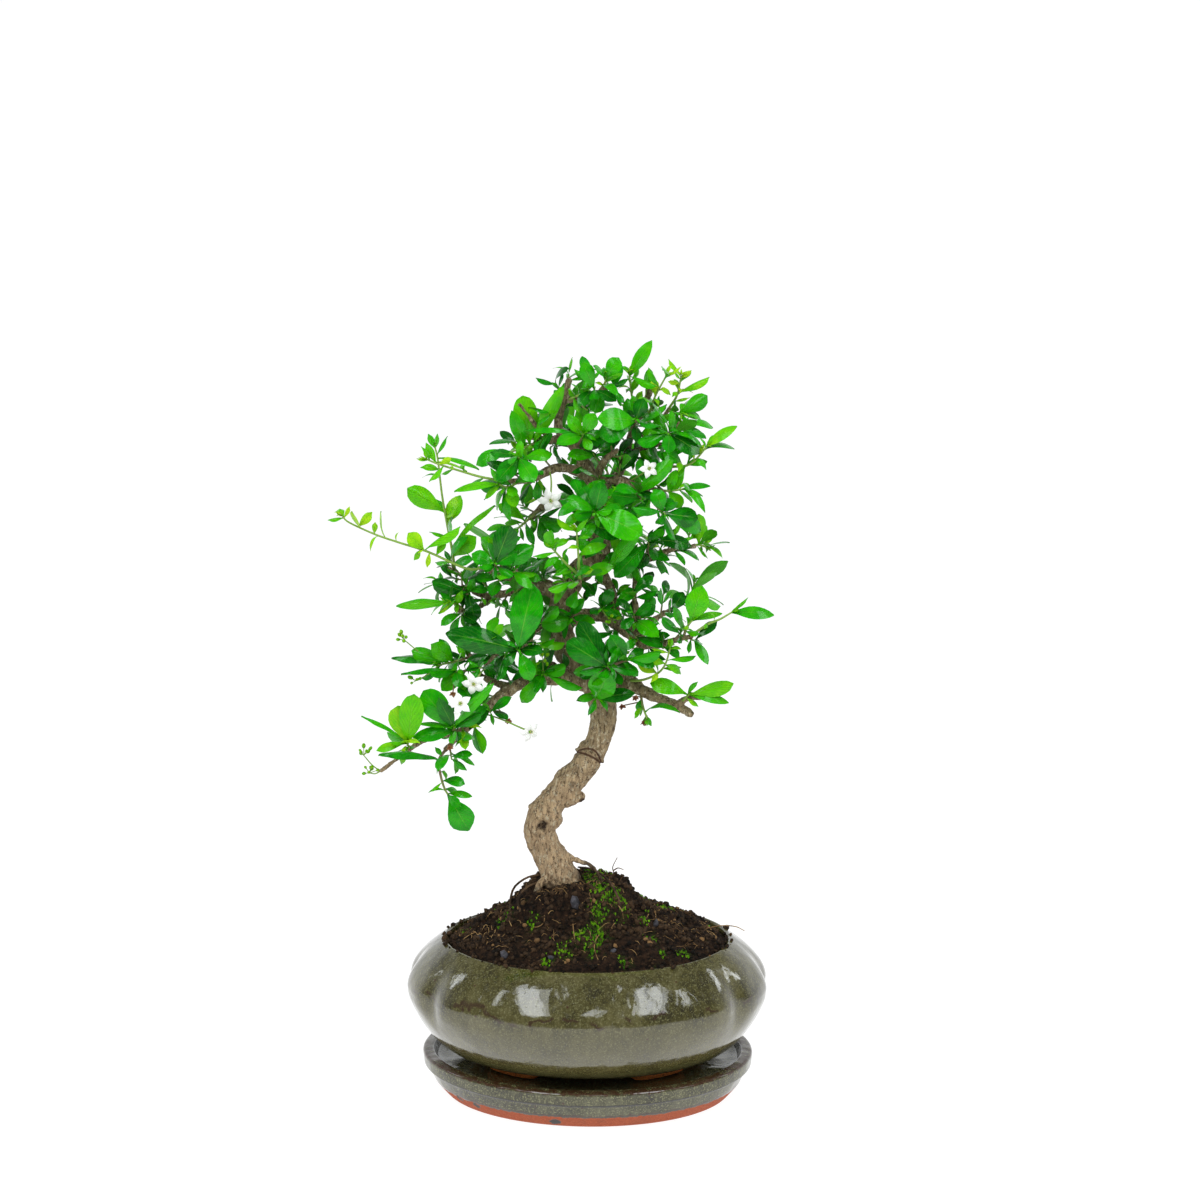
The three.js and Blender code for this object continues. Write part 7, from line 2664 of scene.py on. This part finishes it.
@dataclass
class Wood:
    """Trunk, surface roots, branches and cut stubs, grown together and covered in bark."""

    voxel: float = 0.8
    sides: int = 22
    ring_every: float = 1.6
    ends: tuple[tuple[float, float], ...] = ((1.0, 0.0), (0.86, 0.35), (0.45, 0.5))
    relief: tuple[tuple[float, float, int, float], ...] = ((0.55, 4.5, 3, 0.45), (0.3, 1.9, 2, 1.0))
    hole: tuple[float, float, float] = (-24.5, 152.5, -9.5)
    slim_roots: tuple[Rows, ...] = (BRANCHES["root_left"], BRANCHES["root_right"])
    slim: float = 0.7
    burrs: Rows = (
        (-30.5, 164, -2, 1.9), (-14, 178, -6, 3.0), (17, 240, -8, 5.0), (21, 233, -9, 4.6),
        (-20, 176, -2, 1.6), (-20.5, 158.5, -6, 2.6), (-19, 164.5, -6, 2.6), (-25.5, 168, -3, 1.8),
        (-8.5, 177, -7.4, 2.2), (13, 224, -6, 2.4), (-19, 243, -4, 3.0), (-18, 262, -5, 2.8),
        (10, 307, -1, 3.0),
    )

    def tube(self, shape: Shape, curve: Curve, radii: Sequence[float], number: int) -> None:
        """Add one gnarled tube with rounded ends.

        Args:
            shape: the wood so far.
            curve: its path.
            radii: its radius at each of the curve's own points.
            number: sets its own gnarls.
        """
        steps = max(6, int(curve.length() / self.ring_every))
        rings = []
        side = vector(0.0, 1.0, 0.0)
        centres = curve.run(steps)
        for row in range(-2, steps + 3):
            place = min(max(row / steps, 0.0), 1.0)
            axis = curve.tangent(place)
            side = side - axis * float(side @ axis)
            side = unit(side) if np.linalg.norm(side) > 0.05 else unit(np.cross(axis, vector(1.0, 0.3, 0.0)))
            over = np.cross(axis, side)
            radius = between(radii, place)
            narrow, past = self.ends[max(-row, row - steps, 0)]
            centre = centres[min(max(row, 0), steps)] + axis * radius * past * (-1 if row < 0 else 1)
            ring = []
            for turn in around(self.sides):
                way = side * math.cos(turn) + over * math.sin(turn)
                gnarl = 1 + 0.16 * wrinkle(centre + way * radius + number * 31.0, 7.0 + radius)
                ring.append(centre + way * radius * narrow * gnarl)
            rings.append(shape.ring(ring))
        shape.skin(rings, ends=True)

    def knob(self, shape: Shape, centre: np.ndarray, radius: float) -> None:
        """Add one rounded burr.

        Args:
            shape: the wood so far.
            centre: its centre.
            radius: its radius.
        """
        work = bmesh.new()
        bmesh.ops.create_icosphere(work, subdivisions=2, radius=radius)
        corners = shape.ring(centre + np.array(v.co) for v in work.verts)
        shape.faces += [tuple(corners[v.index] for v in face.verts) for face in work.faces]
        work.free()

    def build(self) -> None:
        """Make the wood."""
        shape = Shape()
        for number, rows in enumerate((TRUNK, *BRANCHES.values(), *TWIGS.values())):
            slim = self.slim if rows in self.slim_roots else 1
            self.tube(shape, curve_through(rows), [row[3] * slim for row in rows], number)
        for x, z, y, radius in self.burrs:
            self.knob(shape, seen(x, z, y), radius)
        piece = shape.build("wood")
        grown = piece.modifiers.new("grown_together", "REMESH")
        grown.mode = "VOXEL"
        grown.voxel_size = self.voxel * MM
        swap_mesh(piece)
        soft = piece.modifiers.new("soft", "SMOOTH")
        soft.factor = 0.5
        soft.iterations = 2
        swap_mesh(piece)
        self.weather(piece.data)
        piece.data.shade_smooth()
        finished(piece, Bark().material())
        settle(piece, ["trunk"])

    def weather(self, mesh: bpy.types.Mesh) -> None:
        """Press bark relief, the knot hole and the ring scar into the wood.

        Args:
            mesh: the wood.
        """
        count = len(mesh.vertices)
        points, normals = np.zeros(count * 3), np.zeros(count * 3)
        mesh.vertices.foreach_get("co", points)
        mesh.vertices.foreach_get("normal", normals)
        points, normals = points.reshape(-1, 3) / MM, normals.reshape(-1, 3)
        hole = seen(*self.hole)
        lift = np.zeros(count)
        for height, size, octaves, squash in self.relief:
            lift += [height * wrinkle((x, y, z * squash), size, octaves) for x, y, z in points]
        away = np.linalg.norm(points - hole, axis=1)
        lift += -3.2 * np.exp(-((away / 2.4) ** 2)) + 1.1 * np.exp(-(((away - 4.6) / 1.7) ** 2))
        x, z = points[:, 0] - SCAR.x, points[:, 2] + SCAR.rise * points[:, 1] - SCAR.z
        along, up = x * SCAR.run - z * SCAR.fall, x * SCAR.fall + z * SCAR.run
        bow = 1 - (along / SCAR.half) ** 2
        near = (np.abs(along) < SCAR.half * 1.15) & (np.abs(up) < 12) & (points[:, 1] < 2)
        for lip in SCAR.lips:
            away = up - lip * bow
            lift += near * (0.55 * np.exp(-(((away - 1.0) / 0.9) ** 2)) - 0.8 * np.exp(-((away / 0.7) ** 2)))
        moved = points + normals * lift[:, None]
        mesh.vertices.foreach_set("co", (moved * MM).ravel())
        mesh.update()


@dataclass
class Litter:
    """Crumbs, moss, straw and rootlets on the soil, and the rootlet on the saucer."""

    ground: Ground
    dressed: DressedPoints
    crumbs: int = 5200
    moss: int = 9000
    straws: int = 1300
    rim_crumbs: int = 150
    steepest_straw: float = 3.5

    def crumb(self, name: str, seed: int) -> bpy.types.Object:
        """Make a crumb of soil of one unit across.

        Args:
            name: its name.
            seed: sets its own form.

        Returns:
            The crumb, in no scene.
        """
        crumb = bare_object(name, [], [])
        with worked(crumb.data) as work:
            bmesh.ops.create_icosphere(work, subdivisions=1, radius=0.5)
            for vert in work.verts:
                vert.co *= 1 + 0.5 * wrinkle(vert.co + Vector((seed * 3.1, 0, 0)), 0.4)
        crumb.data.shade_smooth()
        return crumb

    def moss_tuft(self, name: str, seed: int) -> bpy.types.Object:
        """Make a tuft of moss one high along Y, a ring of pointed leaflets.

        Args:
            name: its name.
            seed: sets its own form.

        Returns:
            The tuft, in no scene.
        """
        draw = draws(seed)
        shape = Shape()
        for i in range(7):
            turn = GOLDEN_ANGLE * i
            lean = 0.15 + 0.75 * draw()
            way = vector(math.cos(turn) * lean, 1.0, math.sin(turn) * lean) * (0.6 + 0.5 * draw())
            across = vector(-math.sin(turn), 0.0, math.cos(turn)) * 0.15
            back = vector(math.cos(turn), 0.0, math.sin(turn)) * 0.08
            a, b, c, tip = shape.ring((across, -across, back, way))
            shape.faces += [(a, c, b), (a, b, tip), (b, c, tip), (c, a, tip)]
        tuft = bare_object(name, shape.points, shape.faces)
        outwards(tuft.data)
        return tuft

    def scatter(self, name: str, rows: Sequence[Row], forms: Sequence[bpy.types.Object],
                size: Callable[[Draw], Sequence[float]], rise: float, finish: bpy.types.Material,
                upright: float) -> None:
        """Put forms on places of the soil, as one piece.

        Args:
            name: the piece's name.
            rows: the places.
            forms: the forms.
            size: gives a form's three sizes from random draws.
            rise: how far it stands over the soil, in shares of its size.
            finish: its finish.
            upright: how nearly it stands up, from 0 to 1.
        """
        skeleton = Skeleton()
        shelf = Shelf(name + "_forms", forms)
        draw = draws(len(rows) * 17 + 3)
        for x, y, z, extra in rows:
            sizes = size(draw)
            lean = vector(draw() - 0.5, draw() - 0.5, draw() - 0.5)
            way = unit(lean * (1 - upright) + vector(0, 0, upright))
            place = vector(x, y, z + rise * sizes[1])
            skeleton.form(place, int(extra * len(forms)) % len(forms), way, sizes, draw())
        piece = skeleton.grow(name, self.dressed, shelf, finish, finish)
        shelf.clear()
        settle(piece)

    def build(self) -> None:
        """Make every kind of litter."""
        dirt = Tinted("crumbs", paint(12, 9, 6), paint(72, 53, 35), grain=2.0, rough=0.95, pale=0.03)
        green = Tinted("moss", paint(64, 128, 2), paint(142, 206, 26), grain=1.4, rough=0.7)
        straw = Tinted("straw", paint(92, 64, 38), paint(184, 148, 98), grain=5.0)
        finishes = [finish.material() for finish in (dirt, green, straw)]

        def crumb_size(draw: Draw) -> Sequence[float]:
            """Return a crumb's sizes: most are fine, a few are clods."""
            size = 0.7 + 2.9 * draw() ** 3
            return size * (0.8 + 0.5 * draw()), size, size * (0.7 + 0.4 * draw())

        def moss_size(draw: Draw) -> Sequence[float]:
            """Return a tuft's sizes."""
            size = 1.1 + 1.5 * draw()
            return size * 1.1, size, size * 1.1

        crumbs = [self.crumb(f"crumb_{i}", i) for i in range(4)]
        rows = self.ground.surface_rows(self.crumbs, 71, lambda x, y, share: 0.85) + self.rim_rows()
        self.scatter("soil_crumbs", rows, crumbs, crumb_size, 0.1, finishes[0], 0.0)
        tufts = [self.moss_tuft(f"tuft_{i}", 11 + i) for i in range(4)]
        rows = self.ground.surface_rows(self.moss, 37, lambda x, y, share: self.ground.mossy(x, y) ** 1.5)
        self.scatter("moss_tufts", rows, tufts, moss_size, -0.1, finishes[1], 0.8)
        self.straws_and_roots(finishes[2])
        self.dark_roots()

    def rim_rows(self) -> list[Row]:
        """Return the places of the crumbs that lie on the pot's rim.

        Returns:
            Rows of [x, y, height, draw].
        """
        pot = self.ground.pot
        draw = draws(4242)
        rows = []
        for _ in range(self.rim_crumbs):
            half, angle = pot.mouth + 4.5 * draw() ** 2 - 0.5, 2 * math.pi * draw()
            z = pot.rim - 0.1 - 0.12 * max(0.0, half - pot.mouth - 2)
            rows.append((*turned(*pot.ware.place(half, angle), pot.ware.turn), z, 0.3 * draw()))
        return rows

    def straw(self, start: Row, draw: Draw) -> list[np.ndarray]:
        """Bend one straw over the soil.

        Args:
            start: its place and its height.
            draw: where random draws come from.

        Returns:
            Its path, cut short where it would meet the pot's wall.
        """
        ground, steps = self.ground, 5
        wall = ground.pot.mouth - 2
        turn = draw() * 2 * math.pi
        length = 3 + 9 * draw() ** 2
        bend = (draw() - 0.5) * 1.1
        lift = 1.7 * draw() ** 2
        points = []
        for i in range(steps + 1):
            share = i / steps
            turn += bend / steps
            x = start[0] + math.cos(turn) * length * share
            y = start[1] + math.sin(turn) * length * share
            if math.hypot(x / wall, y / (wall - ground.pot.ware.narrower)) > 0.97:
                break
            points.append(vector(x, y, ground.surface(x, y) + 0.2 + lift * math.sin(math.pi * share)))
        return points

    def straws_and_roots(self, straw: bpy.types.Material) -> None:
        """Lay straws, pale rootlets and stones over the soil, and stand root loops by the trunk.

        Args:
            straw: the finish of the straws and the rootlets.
        """
        skeleton = Skeleton()
        draw = draws(909)
        for row in self.ground.surface_rows(self.straws, 53, lambda x, y, share: 0.3 + 0.3 * (share < 0.6)):
            points = self.straw(row, draw)
            heights = [point[2] for point in points]
            if len(points) > 2 and max(heights) - min(heights) < self.steepest_straw:
                skeleton.stem(points, (0.13 + 0.12 * row[3], 0.08), (0.0, 0.0))
        for root in PALE_ROOTS:
            skeleton.stem(self.laid(root), (0.3, 0.2), (0.0, 0.0))
        for root in STANDING_ROOTS:
            skeleton.stem(curve_through(root).run(10), (0.4, 0.2), (0.0, 0.0))
        for turn in (0.0, 2.3, 4.0):
            loop = [seen(-8 + 6 * math.cos(turn + i), 15 + 2 * math.sin(turn + i), -61) for i in range(4)]
            skeleton.stem(Curve(loop).run(12), (0.16, 0.1), (0.0, 0.0))
        stone = Tinted("stone", paint(30, 30, 34), paint(84, 82, 88), grain=3.0, rough=0.6).material()
        shelf = Shelf("stones", [self.crumb(f"stone_{i}", i + 5) for i in range(3)])
        for number, (x, z, size) in enumerate(STONES):
            way = unit(vector(math.sin(number * 2.0), 0.4, math.cos(number * 3.0)))
            place = self.ground.rest(x, z, size * 0.15)
            skeleton.form(place, number % 3, way, (size, size * 1.2, size * 0.8))
        piece = skeleton.grow("straw_and_stones", self.dressed, shelf, stone, straw, 5)
        shelf.clear()
        settle(piece)

    def dark_roots(self) -> None:
        """Lay the dark rootlets over the soil."""
        dark = Tinted("dark_root", paint(44, 32, 22), paint(96, 74, 52), grain=2.0).material()
        skeleton = Skeleton()
        for root in DARK_ROOTS:
            skeleton.stem(self.laid(root), (0.75, 0.5), (0.0, 0.0))
        shelf = Shelf("none")
        piece = skeleton.grow("dark_roots", self.dressed, shelf, dark, dark)
        shelf.clear()
        settle(piece)

    def laid(self, root: Rows) -> np.ndarray:
        """Return the path of a root that is seen over the soil."""
        return Curve([self.ground.rest(x, z, lift) for x, z, lift in root]).run(14)


@dataclass
class Studio:
    """Pale floor, a bright backdrop in a darker room, window-like panels, soft fill and the camera."""

    floor_reach: float = 30.0
    glow: float = 0.93
    backdrop: float = 0.95
    room: float = 0.16
    panels: Rows = (
        (-38, 50, 0.44, 1.6, 5.0), (42, 50, 0.36, 1.6, 5.0), (1, 42, 0.2, 0.5, 3.6),
        (-64, 46, 0.09, 0.9, 5.0), (67, 46, 0.09, 0.8, 5.0), (-106, 36, 0.16, 0.6, 5.0),
        (108, 36, 0.18, 0.6, 5.0),
    )
    panel_reach: float = 2.0
    panel_roll: float = 24.0
    fills: Rows = ((-40, 35, 1.6, 0.9), (40, 35, 1.6, 0.9), (0, 80, 2.0, 1.2))
    pitch: float = 13.2
    lens: float = 90.0
    sensor: float = 36.0

    def build(self) -> None:
        """Set up the whole studio."""
        self.camera()
        self.floor()
        self.surroundings()
        for turn, rise, width, height, strength in self.panels:
            self.panel(turn, rise, width, height, strength)
        for turn, rise, size, strength in self.fills:
            self.panel(turn, rise, size, size, strength).visible_glossy = False
        bpy.context.scene.view_settings.view_transform = "Standard"

    def camera(self) -> None:
        """Put the camera where the photograph was taken from."""
        lens = bpy.data.cameras.new("camera")
        lens.lens = self.lens
        lens.sensor_width = self.sensor
        lens.clip_end = 100
        camera = show(bpy.data.objects.new("camera", lens))
        camera.location = EYE * MM
        camera.rotation_euler = (math.radians(90 - self.pitch), 0, 0)
        bpy.context.scene.camera = camera

    def floor(self) -> None:
        """Lay the pale floor."""
        reach = self.floor_reach
        corners = [(-reach, -reach, 0), (reach, -reach, 0), (reach, reach, 0), (-reach, reach, 0)]
        floor = show(bare_object("floor", corners, [(0, 1, 2, 3)]))
        mix = Mixer("floor")
        colour = mix.blend(mix.noise(300.0, 2.0), paint(108, 109, 110), paint(116, 116, 116))
        finished(floor, mix.finish(colour, 0.7, Emission_Color=(1, 1, 1, 1), Emission_Strength=self.glow,
                                   Specular_IOR_Level=0.1))

    def surroundings(self) -> None:
        """Light the scene from a bright backdrop, with the room dark above and behind the camera."""
        world = bpy.data.worlds.new("surroundings")
        world.use_nodes = True
        tree = world.node_tree
        place = lay_node(tree, "ShaderNodeTexCoord").outputs["Generated"]
        way = lay_node(tree, "ShaderNodeSeparateXYZ", {0: place}).outputs
        back, low = (
            lay_node(tree, "ShaderNodeMapRange", {"Value": way[axis], "From Min": start, "From Max": end},
                     interpolation_type="SMOOTHSTEP").outputs["Result"]
            for axis, start, end in (("Y", -0.35, 0.45), ("Z", 0.75, 0.25))
        )
        both = lay_node(tree, "ShaderNodeMath", {0: back, 1: low}, operation="MULTIPLY").outputs[0]
        inputs = {"Value": both, "To Min": self.room, "To Max": self.backdrop}
        level = lay_node(tree, "ShaderNodeMapRange", inputs).outputs["Result"]
        background = tree.nodes["Background"].inputs
        tree.links.new(level, background["Strength"])
        background["Color"].default_value = (0.97, 0.99, 1, 1)
        bpy.context.scene.world = world

    def panel(self, turn: float, rise: float, width: float, height: float,
              strength: float) -> bpy.types.Object:
        """Hang a soft light panel that faces the tree.

        Args:
            turn: degrees to the right of the camera, round the tree.
            rise: degrees above the floor.
            width: its width in metres.
            height: its height in metres.
            strength: how bright its face is.

        Returns:
            The panel.
        """
        lamp = bpy.data.lights.new("panel", "AREA")
        lamp.shape = "RECTANGLE"
        lamp.color = (0.94, 0.98, 1.0)
        lamp.size, lamp.size_y = width, height
        lamp.energy = strength * math.pi * width * height
        panel = show(bpy.data.objects.new("panel", lamp))
        side, up = math.radians(turn), math.radians(rise)
        offset = Vector((math.sin(side) * math.cos(up), -math.cos(side) * math.cos(up), math.sin(up)))
        panel.location = Vector((0, 0, 0.1)) + offset * self.panel_reach
        roll = Quaternion((0, 0, 1), math.radians(-math.copysign(self.panel_roll, turn)))
        panel.rotation_euler = (offset.to_track_quat("Z", "Y") @ roll).to_euler()
        return panel


def main() -> None:
    """Set up the studio, then build the tree with its pot and its saucer."""
    logging.basicConfig(level=logging.INFO, format="%(message)s")
    Studio().build()
    Saucer().build()
    pot = Pot()
    pot.build()
    DrainNets().dress()
    ground = Ground(pot)
    ground.mound()
    Wood().build()
    dressed = DressedPoints()
    Litter(ground, dressed).build()
    shelf = blade_shelf()
    crown = Crown()
    log.info("leaves on the sprays: %d", sum(len(leaves) for leaves in crown.leaves))
    leaf, shoot, petal = (skin.material() for skin in (LeafSkin(), StemSkin(), PetalSkin()))
    foliage = Foliage(dressed, shelf, crown, leaf, shoot, petal)
    foliage.sprays()
    foliage.flowers()
    foliage.wood_shoots()
    foliage.buds()
    shelf.clear()


if __name__ == "__main__":
    main()
